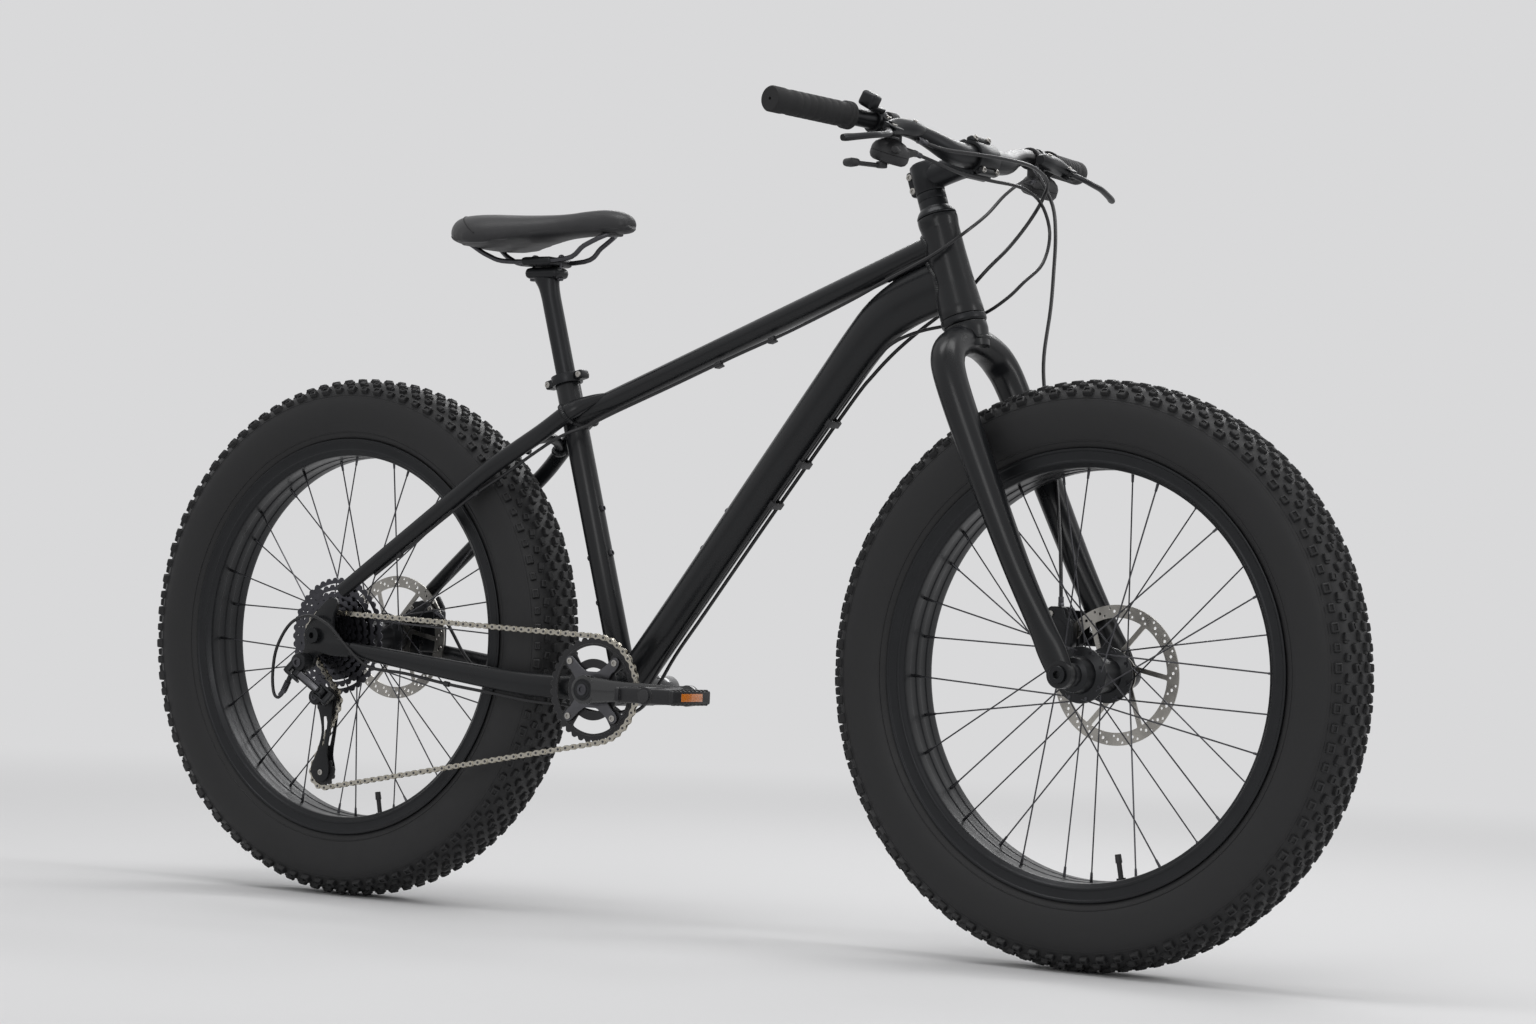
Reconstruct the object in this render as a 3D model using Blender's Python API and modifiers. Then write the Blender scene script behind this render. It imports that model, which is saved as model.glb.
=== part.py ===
"""Fat tyre bicycle with a rigid fork, disc brakes and a single chainring.

Metres, +Z up, +X forward and +Y to the rider's left. The origin is on the ground, midway
between the wheel axles. Every sub-part is one object, and an empty stands on each joint axis.
"""

import math

import bmesh
import bpy
from mathutils import Matrix, Vector

# Wheels and tyres
WHEELBASE = 1.21
TYRE_RADIUS = 0.374
TYRE_HALF_WIDTH = 0.0492
TYRE_STEPS = 40
TREAD_DEPTH = 0.0050
RIM_RADIUS = 0.2855
RIM_HALF_WIDTH = 0.0400
RIM_FLOOR_RADIUS = 0.2605
RIM_STEPS = 40
SPOKE_COUNT = 32
SPOKE_RADIUS = 0.0011
SPOKE_CROSSING = math.radians(62)
ROTOR_RADIUS = 0.090
ROTOR_THICKNESS = 0.0018
FRONT_HUB_HALF = 0.0747
REAR_HUB_HALF = 0.0947
FRONT_ROTOR_Y = 0.0580
REAR_ROTOR_Y = 0.0795
FRONT_AXLE_RADIUS = 0.0075
REAR_AXLE_RADIUS = 0.0060

# Frame
HEAD_ANGLE = math.radians(71.0)
HEAD_TOP = Vector((0.3457, 0.0, 0.9602))
HEAD_LENGTH = 0.140
SEAT_ANGLE = math.radians(73.7)
SEAT_TUBE_LENGTH = 0.450
SEAT_TUBE_RADIUS = 0.01745
SEATPOST_RADIUS = 0.0136
BRACKET = Vector((-0.125, 0.0, 0.320))
BRACKET_RADIUS = 0.0225
BRACKET_HALF = 0.0500
CUP_OUTER_Y = 0.0590
DROPOUT_Y = 0.0990
DROPOUT_THICKNESS = 0.0080

# Fork and cockpit
STEERER_RADIUS = 0.0143
FORK_DROPOUT_Y = 0.0845
FORK_OFFSET = 0.0543
STEM_LENGTH = 0.080
STEM_HEIGHT = 0.052
BAR_RADIUS = 0.0159
GRIP_LENGTH = 0.135

# Drivetrain
PITCH = 0.0127
RING_TEETH = 36
RING_Y = -0.0765
COG_TEETH = (11, 13, 15, 17, 19, 21, 24, 28, 32, 37, 42)
CHAIN_COG = 3
COG_SPACING = 0.0038
FIRST_COG_Y = -0.0905
COG_HALF = 0.0008
PULLEY_TEETH = 11
CRANK_LENGTH = 0.175
CRANK_ARM_Y = 0.0940
PEDAL_Y = 0.1600
CHAIN_HALF_WIDTH = 0.0026
CHAIN_HALF_HEIGHT = 0.0040
CHAIN_SLOT_HALF = 0.0014
CHAIN_WEB_HALF = 0.0007
TOOTH_DROP = 0.0019

HOSE_RADIUS = 0.0025
GAP = 0.0003

FRONT_AXLE = Vector((WHEELBASE / 2, 0.0, TYRE_RADIUS))
REAR_AXLE = Vector((-WHEELBASE / 2, 0.0, TYRE_RADIUS))
STEER_DOWN = Vector((math.cos(HEAD_ANGLE), 0.0, -math.sin(HEAD_ANGLE)))
STEER_AHEAD = Vector((math.sin(HEAD_ANGLE), 0.0, math.cos(HEAD_ANGLE)))
SEAT_UP = Vector((-math.cos(SEAT_ANGLE), 0.0, math.sin(SEAT_ANGLE)))

# A turned piece stands along its local Z: across the bicycle, up the steerer or up the seat tube
ACROSS = Matrix.Rotation(math.radians(-90), 4, "X")
ALONG_STEERER = Matrix.Translation(HEAD_TOP) @ Matrix.Rotation(HEAD_ANGLE - math.pi / 2, 4, "Y")
ALONG_SEAT = Matrix.Translation(BRACKET) @ Matrix.Rotation(SEAT_ANGLE - math.pi / 2, 4, "Y")

SURFACES = {
    "frame_paint": ((0.012, 0.012, 0.013), 0.42, 0.0),
    "anodised_black": ((0.020, 0.020, 0.022), 0.38, 0.8),
    "tyre_rubber": ((0.018, 0.018, 0.019), 0.75, 0.0),
    "steel": ((0.45, 0.44, 0.42), 0.32, 1.0),
    "nickel_chain": ((0.60, 0.58, 0.54), 0.28, 1.0),
    "saddle_cover": ((0.016, 0.016, 0.017), 0.55, 0.0),
    "grip_rubber": ((0.014, 0.014, 0.014), 0.80, 0.0),
    "hose_plastic": ((0.012, 0.012, 0.012), 0.45, 0.0),
    "moulded_black": ((0.018, 0.018, 0.019), 0.50, 0.0),
}


def clear_scene():
    for item in list(bpy.data.objects):
        bpy.data.objects.remove(item, do_unlink=True)


def make_surfaces():
    for name, (colour, roughness, metallic) in SURFACES.items():
        surface = bpy.data.materials.new(name)
        surface.use_nodes = True
        shader = surface.node_tree.nodes["Principled BSDF"]
        shader.inputs["Base Color"].default_value = (*colour, 1.0)
        shader.inputs["Roughness"].default_value = roughness
        shader.inputs["Metallic"].default_value = metallic


def add_object(name, data):
    item = bpy.data.objects.new(name, data)
    bpy.data.collections["fat_tyre_bicycle"].objects.link(item)
    return item


def evaluated_mesh(item):
    """The item's shape with its modifiers, welded, in its own coordinates."""
    bpy.context.view_layer.update()
    graph = bpy.context.evaluated_depsgraph_get()
    mesh = bpy.data.meshes.new_from_object(item.evaluated_get(graph))
    shape = bmesh.new()
    shape.from_mesh(mesh)
    bmesh.ops.remove_doubles(shape, verts=shape.verts, dist=0.00001)
    shape.to_mesh(mesh)
    shape.free()
    return mesh


def settle(item):
    """Applies the item's modifiers to its mesh."""
    mesh = evaluated_mesh(item)
    item.modifiers.clear()
    item.data = mesh
    return item


def as_mesh(curve_item):
    """A mesh object in place of a curve object."""
    mesh = evaluated_mesh(curve_item)
    item = add_object(curve_item.name + "_mesh", mesh)
    item.matrix_world = curve_item.matrix_world.copy()
    bpy.data.objects.remove(curve_item, do_unlink=True)
    return item


def combine(base, tools, operation):
    """A Boolean of the base with each tool in turn; the tools are used up."""
    for tool in tools:
        boolean = base.modifiers.new("boolean", "BOOLEAN")
        boolean.operation = operation
        boolean.solver = "EXACT"
        boolean.object = tool
        settle(base)
        bpy.data.objects.remove(tool, do_unlink=True)
    return base


def fuse(base, *tools):
    return combine(base, tools, "UNION")


def cut(base, *tools):
    return combine(base, tools, "DIFFERENCE")


def turned(name, profile, steps, place):
    """A turned shape from (radius, height) points, closed or ending on the axis."""
    area = sum(a[0] * b[1] - b[0] * a[1] for a, b in zip(profile, profile[1:] + profile[:1]))
    points = list(profile) if area < 0 else list(reversed(profile))
    on_axis = points[0][0] == 0.0 and points[-1][0] == 0.0
    shape = bmesh.new()
    corners = [shape.verts.new((radius, 0.0, height)) for radius, height in points]
    for first, second in zip(corners, corners[1:]):
        shape.edges.new((first, second))
    if not on_axis:
        shape.edges.new((corners[-1], corners[0]))
    mesh = bpy.data.meshes.new(name)
    shape.to_mesh(mesh)
    shape.free()
    item = add_object(name, mesh)
    item.matrix_world = place
    screw = item.modifiers.new("turning", "SCREW")
    screw.steps = steps
    screw.render_steps = steps
    screw.use_merge_vertices = True
    screw.merge_threshold = 0.00001
    return settle(item)


def across(name, centre, profile, steps):
    """A turned shape whose axis runs across the bicycle; heights are y values."""
    return turned(name, profile, steps, Matrix.Translation(centre) @ ACROSS)


def rod(name, start, end, radius, steps):
    """A plain cylinder from start to end."""
    direction = end - start
    place = Matrix.Translation(start) @ direction.to_track_quat("Z", "Y").to_matrix().to_4x4()
    length = direction.length
    return turned(name, [(0, length), (radius, length), (radius, 0), (0, 0)], steps, place)


def bore_cutter(name, start, end, radius, steps):
    """A cutter whose flats, not its corners, lie at the radius."""
    return rod(name, start, end, radius / math.cos(math.pi / steps), steps)


def smooth_path(points, spans):
    """Points along a Catmull-Rom curve through the given points."""
    route = [Vector(point) for point in points]
    ends = [2 * route[0] - route[1]] + route + [2 * route[-1] - route[-2]]
    path = []
    for index in range(1, len(ends) - 2):
        before, start, end, after = ends[index - 1:index + 3]
        for step in range(spans):
            t = step / spans
            path.append(0.5 * (2 * start + (end - before) * t
                               + (2 * before - 5 * start + 4 * end - after) * t ** 2
                               + (3 * start - before - 3 * end + after) * t ** 3))
    path.append(route[-1])
    return path


def tube(name, path, radii, resolution):
    """A round tube along a path, with one radius or a radius for each point."""
    curve = bpy.data.curves.new(name, "CURVE")
    curve.dimensions = "3D"
    curve.bevel_depth = 1.0
    curve.bevel_resolution = resolution
    curve.use_fill_caps = True
    spline = curve.splines.new("POLY")
    spline.points.add(len(path) - 1)
    sizes = radii if isinstance(radii, list) else [radii] * len(path)
    for point, place, radius in zip(spline.points, path, sizes):
        point.co = (*place, 1.0)
        point.radius = radius
    return as_mesh(add_object(name, curve))


def oval_tube(name, path, halves, sides):
    """A loft of oval rings; halves holds (half height, half width) for each point."""
    shape = bmesh.new()
    rings = []
    for index, centre in enumerate(path):
        ahead = path[min(index + 1, len(path) - 1)] - path[max(index - 1, 0)]
        ahead.normalize()
        side = (Vector((0, 1, 0)) - ahead * ahead.y).normalized()
        up = side.cross(ahead)
        half_height, half_width = halves[index]
        ring = []
        for step in range(sides):
            angle = 2 * math.pi * step / sides
            offset = side * half_width * math.cos(angle) + up * half_height * math.sin(angle)
            ring.append(shape.verts.new(centre + offset))
        rings.append(ring)
    for ring, following in zip(rings, rings[1:]):
        for step in range(sides):
            after = (step + 1) % sides
            shape.faces.new((ring[step], ring[after], following[after], following[step]))
    shape.faces.new(list(reversed(rings[0])))
    shape.faces.new(rings[-1])
    bmesh.ops.recalc_face_normals(shape, faces=shape.faces)
    mesh = bpy.data.meshes.new(name)
    shape.to_mesh(mesh)
    shape.free()
    return add_object(name, mesh)


def plate(name, outline, holes, middle_y, thickness):
    """A flat plate in the plane of the bicycle, from (x, z) outlines."""
    curve = bpy.data.curves.new(name, "CURVE")
    curve.dimensions = "2D"
    curve.fill_mode = "BOTH"
    curve.extrude = thickness / 2
    for ring in [outline] + holes:
        spline = curve.splines.new("POLY")
        spline.points.add(len(ring) - 1)
        spline.use_cyclic_u = True
        for point, (x, z) in zip(spline.points, ring):
            point.co = (x, z, 0.0, 1.0)
    item = add_object(name, curve)
    upright = Matrix.Rotation(math.radians(90), 4, "X")
    item.matrix_world = Matrix.Translation((0, middle_y, 0)) @ upright
    return as_mesh(item)


def box(name, size, centre, turn=Matrix.Identity(4), bevel=0.0):
    """A block with its edges bevelled once."""
    shape = bmesh.new()
    bmesh.ops.create_cube(shape, size=1.0)
    bmesh.ops.scale(shape, verts=shape.verts, vec=size)
    mesh = bpy.data.meshes.new(name)
    shape.to_mesh(mesh)
    shape.free()
    item = add_object(name, mesh)
    item.matrix_world = Matrix.Translation(centre) @ turn
    if bevel:
        edges = item.modifiers.new("edges", "BEVEL")
        edges.width = bevel
        edges.segments = 1
        settle(item)
    return item


def circle(centre_x, centre_z, radius, count, start=0.0):
    return [(centre_x + radius * math.cos(start + 2 * math.pi * k / count),
             centre_z + radius * math.sin(start + 2 * math.pi * k / count))
            for k in range(count)]


def steer_point(down, ahead=0.0, left=0.0):
    """A point from its distance below the head tube's top, its forward offset and its y."""
    return HEAD_TOP + STEER_DOWN * down + STEER_AHEAD * ahead + Vector((0, left, 0))


def finish(item, name, surface, axis=None):
    """Names the piece, gives it its material and hangs it on its joint's empty."""
    item.name = name
    item.data.name = name
    item.data.materials.clear()
    item.data.materials.append(bpy.data.materials[surface])
    item.data.shade_smooth()
    item.data.set_sharp_from_angle(angle=math.radians(35))
    if axis is not None:
        bpy.context.view_layer.update()
        item.parent = axis
        item.matrix_parent_inverse = axis.matrix_world.inverted()
    return item


def joint_axis(name, place, direction, parent=None):
    """An empty whose local Z is the joint's axis."""
    axis = bpy.data.objects.new(name, None)
    bpy.data.collections["fat_tyre_bicycle"].objects.link(axis)
    turn = direction.to_track_quat("Z", "Y").to_matrix().to_4x4()
    axis.matrix_world = Matrix.Translation(place) @ turn
    bpy.context.view_layer.update()
    if parent is not None:
        axis.parent = parent
        axis.matrix_parent_inverse = parent.matrix_world.inverted()
        bpy.context.view_layer.update()
    return axis


def head_tube_profile(grow=0.0):
    """Outer and inner wall of the head tube, below its top; grow makes a clearance cutter."""
    inner = 0.0195 if grow == 0.0 else 0.0
    return [(inner, grow), (0.0268 + grow, grow), (0.0268 + grow, -0.012), (0.0246 + grow, -0.022),
            (0.0246 + grow, -0.105), (0.0295 + grow, -0.128), (0.0295 + grow, -HEAD_LENGTH - grow),
            (inner, -HEAD_LENGTH - grow)]


def seat_tube_cutter():
    length = SEAT_TUBE_LENGTH
    radius = SEAT_TUBE_RADIUS + GAP
    return turned("seat_cutter", [(0, length), (radius, length), (radius, 0), (0, 0)], 20,
                  ALONG_SEAT)


def bracket_cutter():
    radius = BRACKET_RADIUS + GAP
    half = BRACKET_HALF + 0.02
    return across("bracket_cutter", BRACKET, [(0, half), (radius, half), (radius, -half),
                                              (0, -half)], 20)


TOP_TUBE_PATH = [Vector((-0.225, 0, 0.6948)), Vector((0.0, 0, 0.7848)),
                 Vector((0.20, 0, 0.8647)), Vector((0.355, 0, 0.9267))]


def top_tube_shape(name, grow):
    halves = [(0.0160 + grow, 0.0180 + grow), (0.0150 + grow, 0.0185 + grow),
              (0.0155 + grow, 0.0190 + grow), (0.0165 + grow, 0.0200 + grow)]
    return oval_tube(name, [point.copy() for point in TOP_TUBE_PATH], halves, 16)


def build_main_frame():
    head = turned("head_tube", head_tube_profile(), 24, ALONG_STEERER)
    finish(head, "head_tube", "frame_paint")

    cup = turned("cup", [(0.0150, -0.1403), (0.0302, -0.1403), (0.0302, -0.1470),
                         (0.0285, -0.1500), (0.0150, -0.1500)], 24, ALONG_STEERER)
    finish(cup, "headset_lower_cup", "anodised_black")

    seat = turned("seat_tube", [(0.0140, SEAT_TUBE_LENGTH), (SEAT_TUBE_RADIUS, SEAT_TUBE_LENGTH),
                                (SEAT_TUBE_RADIUS, 0.0232), (0.0140, 0.0232)], 20, ALONG_SEAT)
    finish(seat, "seat_tube", "frame_paint")

    top = top_tube_shape("top_tube", 0.0)
    cut(top, turned("head_cutter", head_tube_profile(GAP), 24, ALONG_STEERER), seat_tube_cutter())
    finish(top, "top_tube", "frame_paint")

    path = [Vector(point) for point in (
        (-0.125, 0, 0.320), (-0.0276, 0, 0.4469), (0.0777, 0, 0.5853), (0.1933, 0, 0.7357),
        (0.2400, 0, 0.7955), (0.2700, 0, 0.8270), (0.3050, 0, 0.8500), (0.3450, 0, 0.8670),
        (0.3800, 0, 0.8790))]
    halves = [(0.0245, 0.0245), (0.0248, 0.0245), (0.0262, 0.0250), (0.0285, 0.0250),
              (0.0300, 0.0245), (0.0325, 0.0240), (0.0345, 0.0235), (0.0355, 0.0230),
              (0.0355, 0.0225)]
    down = oval_tube("down_tube", path, halves, 16)
    cut(down, turned("head_cutter", head_tube_profile(GAP), 24, ALONG_STEERER),
        top_tube_shape("top_cutter", GAP), seat_tube_cutter(), bracket_cutter())
    finish(down, "down_tube", "frame_paint")

    outer, relief, bore = BRACKET_RADIUS, 0.0185, 0.0153
    shell = across("shell", BRACKET, [
        (bore, CUP_OUTER_Y), (outer, CUP_OUTER_Y), (outer, -CUP_OUTER_Y), (bore, -CUP_OUTER_Y),
        (bore, -BRACKET_HALF), (relief, -BRACKET_HALF), (relief, BRACKET_HALF),
        (bore, BRACKET_HALF)], 20)
    yoke = box("yoke", (0.052, 0.062, 0.018), BRACKET + Vector((-0.045, 0, 0.002)), bevel=0.003)
    fuse(shell, yoke)
    cut(shell, bore_cutter("spindle_bore", BRACKET + Vector((0, -0.0495, 0)),
                   BRACKET + Vector((0, 0.0495, 0)), relief, 20))
    finish(shell, "bottom_bracket_shell", "frame_paint")


CHAINSTAY_PATH = [(-0.1490, 0.0430, 0.3215), (-0.1750, 0.0490, 0.3205), (-0.2050, 0.0580, 0.3205),
                  (-0.2500, 0.0665, 0.3225), (-0.3000, 0.0708, 0.3270), (-0.3800, 0.0770, 0.3360),
                  (-0.4650, 0.0865, 0.3470), (-0.5400, 0.0975, 0.3562)]
CHAINSTAY_HALVES = [(0.0160, 0.0085), (0.0168, 0.0090), (0.0168, 0.0092), (0.0162, 0.0095),
                    (0.0155, 0.0095), (0.0140, 0.0092), (0.0122, 0.0090), (0.0105, 0.0080)]
SEATSTAY_PATH = [(-0.2280, 0.0285, 0.6975), (-0.2620, 0.0370, 0.6715), (-0.3000, 0.0530, 0.6420),
                 (-0.3350, 0.0645, 0.6150), (-0.4000, 0.0735, 0.5650), (-0.5000, 0.0870, 0.4880),
                 (-0.5640, 0.0965, 0.4385)]
SEATSTAY_HALVES = [(0.0125, 0.0095), (0.0125, 0.0092), (0.0122, 0.0092), (0.0118, 0.0092),
                   (0.0115, 0.0092), (0.0108, 0.0088), (0.0100, 0.0080)]


def dropout_outline(with_hanger):
    """The dropout plate's edge, from the top round the back, as (x, z) from the rear axle."""
    edge = [(0.0330, 0.0565), (0.0200, 0.0520), (0.0020, 0.0350), (-0.0120, 0.0180),
            (-0.0195, 0.0060), (-0.0200, -0.0060), (-0.0175, -0.0150)]
    if with_hanger:
        edge += [(-0.0230, -0.0300), (-0.0225, -0.0430), (-0.0130, -0.0500), (-0.0030, -0.0450),
                 (0.0020, -0.0320), (0.0120, -0.0240)]
    else:
        edge += [(-0.0080, -0.0205), (0.0060, -0.0225)]
    edge += [(0.0300, -0.0275), (0.0645, -0.0285), (0.0645, -0.0085), (0.0480, -0.0060),
             (0.0360, 0.0020), (0.0310, 0.0140), (0.0320, 0.0300), (0.0405, 0.0460)]
    return [(REAR_AXLE.x + x, REAR_AXLE.z + z) for x, z in edge]


def build_rear_triangle():
    for side, label in ((-1, "right"), (1, "left")):
        path = [Vector((x, side * y, z)) for x, y, z in CHAINSTAY_PATH]
        stay = oval_tube("stay", path, CHAINSTAY_HALVES, 12)
        dropout = plate("dropout", dropout_outline(label == "right"), [],
                        side * DROPOUT_Y, DROPOUT_THICKNESS)
        fuse(stay, dropout)
        bore_ends = [REAR_AXLE + Vector((0, side * y, 0)) for y in (0.08, 0.12)]
        cut(stay, bore_cutter("axle_bore", *bore_ends, REAR_AXLE_RADIUS + GAP, 12), bracket_cutter())
        if label == "left":
            fuse(stay, box("post_mount", (0.0440, 0.0110, 0.0400),
                           REAR_AXLE + Vector((0.0560, 0.0950, -0.0003)), bevel=0.002))
        else:
            hanger = derailleur_pivot()
            cut(stay, bore_cutter("hanger_bore", hanger + Vector((0, 0.02, 0)),
                          hanger - Vector((0, 0.02, 0)), 0.0043, 12))
        finish(stay, "chainstay_" + label, "frame_paint")

        path = [Vector((x, side * y, z)) for x, y, z in SEATSTAY_PATH]
        upper = oval_tube("upper", path, SEATSTAY_HALVES, 12)
        cut(upper, seat_tube_cutter(), top_tube_shape("top_cutter", GAP))
        if label == "left":
            fuse(upper, stay_bridge())
        finish(upper, "seatstay_" + label, "frame_paint")


def stay_bridge():
    """The arched tube welded between the seatstays, clear of the right one."""
    arch = [(-0.2880, -0.0395, 0.6500), (-0.2830, -0.0300, 0.6590), (-0.2790, -0.0150, 0.6640),
            (-0.2780, 0.0, 0.6655), (-0.2790, 0.0150, 0.6640), (-0.2830, 0.0300, 0.6590),
            (-0.2880, 0.0395, 0.6500), (-0.2930, 0.0470, 0.6450)]
    bridge = tube("bridge", [Vector(point) for point in arch], 0.0075, 3)
    path = [Vector((x, -y, z)) for x, y, z in SEATSTAY_PATH]
    grown = [(high + GAP, wide + GAP) for high, wide in SEATSTAY_HALVES]
    return cut(bridge, oval_tube("stay_cutter", path, grown, 12))


def build_seat(axis):
    bottom, top = SEAT_TUBE_LENGTH - 0.012, SEAT_TUBE_LENGTH + 0.002
    inner, outer = SEAT_TUBE_RADIUS + GAP, 0.0222
    collar = turned("collar", [(inner, top), (outer, top), (outer, bottom), (inner, bottom)], 20,
                    ALONG_SEAT)
    tilt = Matrix.Rotation(SEAT_ANGLE - math.pi / 2, 4, "Y")
    for ahead in (-0.0265, 0.0265):
        centre = BRACKET + SEAT_UP * (bottom + 0.007) + tilt @ Vector((ahead, 0, 0))
        fuse(collar, box("ear", (0.0120, 0.0200, 0.0120), centre, tilt, 0.002))
    finish(collar, "seat_collar", "anodised_black")

    post_top, post_bottom = 0.6030, 0.2500
    post = turned("post", [(0, post_top), (SEATPOST_RADIUS, post_top),
                           (SEATPOST_RADIUS, post_bottom), (0, post_bottom)], 20, ALONG_SEAT)
    cradle = box("cradle", (0.0560, 0.0300, 0.0140), Vector((-0.2930, 0, 0.8960)), bevel=0.004)
    fuse(post, cradle)
    finish(post, "seatpost", "anodised_black", axis)

    rails = smooth_path([(-0.4050, -0.0330, 0.9370), (-0.3800, -0.0260, 0.9220),
                         (-0.3450, -0.0220, 0.9130), (-0.2450, -0.0220, 0.9150),
                         (-0.2150, -0.0200, 0.9330), (-0.1850, -0.0110, 0.9480),
                         (-0.1780, 0.0, 0.9495)], 2)
    rails += [Vector((point.x, -point.y, point.z)) for point in reversed(rails[:-1])]
    clamp = box("clamp", (0.0460, 0.0640, 0.0150), Vector((-0.2950, 0, 0.9125)), bevel=0.003)
    cut(clamp, tube("rail_cutter", rails, 0.0035 + GAP, 1))
    finish(clamp, "saddle_clamp", "anodised_black", axis)
    finish(tube("rails", rails, 0.0035, 1), "saddle_rails", "anodised_black", axis)
    build_saddle(axis)


def build_saddle(axis):
    """The padded saddle: (x, half width, crown height, skirt height) from tail to nose."""
    stations = [(-0.4420, 0.0300, 0.9680, 0.9520), (-0.4200, 0.0620, 0.9790, 0.9420),
                (-0.3750, 0.0750, 0.9805, 0.9310), (-0.3200, 0.0560, 0.9780, 0.9380),
                (-0.2600, 0.0330, 0.9790, 0.9490), (-0.1950, 0.0235, 0.9850, 0.9560),
                (-0.1590, 0.0200, 0.9780, 0.9580), (-0.1460, 0.0110, 0.9690, 0.9600)]
    outline = [(0.0, 1.0), (0.55, 0.97), (0.95, 0.66), (1.0, 0.0), (0.70, 0.05), (0.0, 0.22)]
    shape = bmesh.new()
    rings = []
    for x, half, crown, skirt in stations:
        right = [(side, rise) for side, rise in outline[1:-1]]
        section = ([outline[0]] + right + [outline[-1]]
                   + [(-side, rise) for side, rise in reversed(right)])
        rings.append([shape.verts.new((x, side * half, skirt + rise * (crown - skirt)))
                      for side, rise in section])
    count = len(rings[0])
    for ring, following in zip(rings, rings[1:]):
        for step in range(count):
            after = (step + 1) % count
            shape.faces.new((ring[step], ring[after], following[after], following[step]))
    shape.faces.new(list(reversed(rings[0])))
    shape.faces.new(rings[-1])
    bmesh.ops.recalc_face_normals(shape, faces=shape.faces)
    mesh = bpy.data.meshes.new("saddle")
    shape.to_mesh(mesh)
    shape.free()
    saddle = add_object("saddle", mesh)
    rounding = saddle.modifiers.new("rounding", "SUBSURF")
    rounding.levels = 1
    rounding.render_levels = 1
    settle(saddle)
    finish(saddle, "saddle", "saddle_cover", axis)


def build_fork(axis):
    crown = turned("crown", [(0, 0.0700), (STEERER_RADIUS, 0.0700), (STEERER_RADIUS, -0.1506),
                             (0.0285, -0.1506), (0.0290, -0.1600), (0.0240, -0.1850),
                             (0, -0.1900)], 20, ALONG_STEERER)
    for side in (-1, 1):
        stations = [(0.172, 0.000, 0.010, 0.0200), (0.178, 0.000, 0.036, 0.0210),
                    (0.196, 0.000, 0.064, 0.0222), (0.235, 0.003, 0.0780, 0.0212),
                    (0.340, 0.013, 0.0812, 0.0200), (0.480, 0.0290, 0.0832, 0.0176),
                    (0.630, 0.0530, 0.0845, 0.0125)]
        path = [steer_point(down, ahead, side * left) for down, ahead, left, _ in stations]
        leg = tube("leg", path, [radius for _, _, _, radius in stations], 3)
        fuse(crown, leg)
        inner, outer = FRONT_HUB_HALF + GAP, 0.0935
        ends = [FRONT_AXLE + Vector((0, side * y, 0)) for y in (inner, outer)]
        fuse(crown, rod("dropout", *ends, 0.0175, 16))
        ends = [FRONT_AXLE + Vector((0, side * y, 0)) for y in (inner, 0.0600)]
        cut(crown, bore_cutter("hub_room", *ends, 0.0230, 16))
        ends = [FRONT_AXLE + Vector((0, side * y, 0)) for y in (0.0935, 0.1100)]
        cut(crown, rod("face", *ends, 0.0240, 16))
        ends = [FRONT_AXLE + Vector((0, side * y, 0)) for y in (0.07, 0.10)]
        cut(crown, bore_cutter("axle_bore", *ends, FRONT_AXLE_RADIUS + GAP, 12))
    tab = box("tab", (0.050, 0.0084, 0.046), FRONT_AXLE + Vector((-0.0530, 0.0795, 0.0580)),
              bevel=0.002)
    fuse(crown, tab)
    finish(crown, "fork", "frame_paint", axis)

    spacer = turned("spacer", [(0.0147, 0.0330), (0.0195, 0.0330), (0.0195, 0.0125),
                               (0.0264, 0.0040), (0.0264, 0.0004), (0.0147, 0.0004)], 20,
                    ALONG_STEERER)
    finish(spacer, "headset_cover_and_spacers", "anodised_black", axis)

    axle = across("axle", FRONT_AXLE, [
        (0, 0.0925), (FRONT_AXLE_RADIUS, 0.0925), (FRONT_AXLE_RADIUS, -0.0938), (0.0100, -0.0938),
        (0.0100, -0.0985), (0, -0.0985)], 12)
    finish(axle, "front_axle", "anodised_black", axis)


BAR_CENTRE = steer_point(-STEM_HEIGHT, STEM_LENGTH)
BAR_HALF_POINTS = [(0.0440, 0.0000, 0.0000), (0.0750, -0.0020, 0.0030), (0.1050, -0.0090, 0.0120),
                   (0.1350, -0.0155, 0.0190), (0.1650, -0.0220, 0.0221),
                   (0.3810, -0.0678, 0.0290)]
GRIP_START = 0.2500


def bar_point(y):
    """A point on the straight outer part of the handlebar's left half."""
    (y0, x0, z0), (y1, x1, z1) = BAR_HALF_POINTS[-2:]
    t = (y - y0) / (y1 - y0)
    return BAR_CENTRE + Vector((x0 + (x1 - x0) * t, y, z0 + (z1 - z0) * t))


def mirrored(vector, side):
    return Vector((vector.x, side * vector.y, vector.z))


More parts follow.
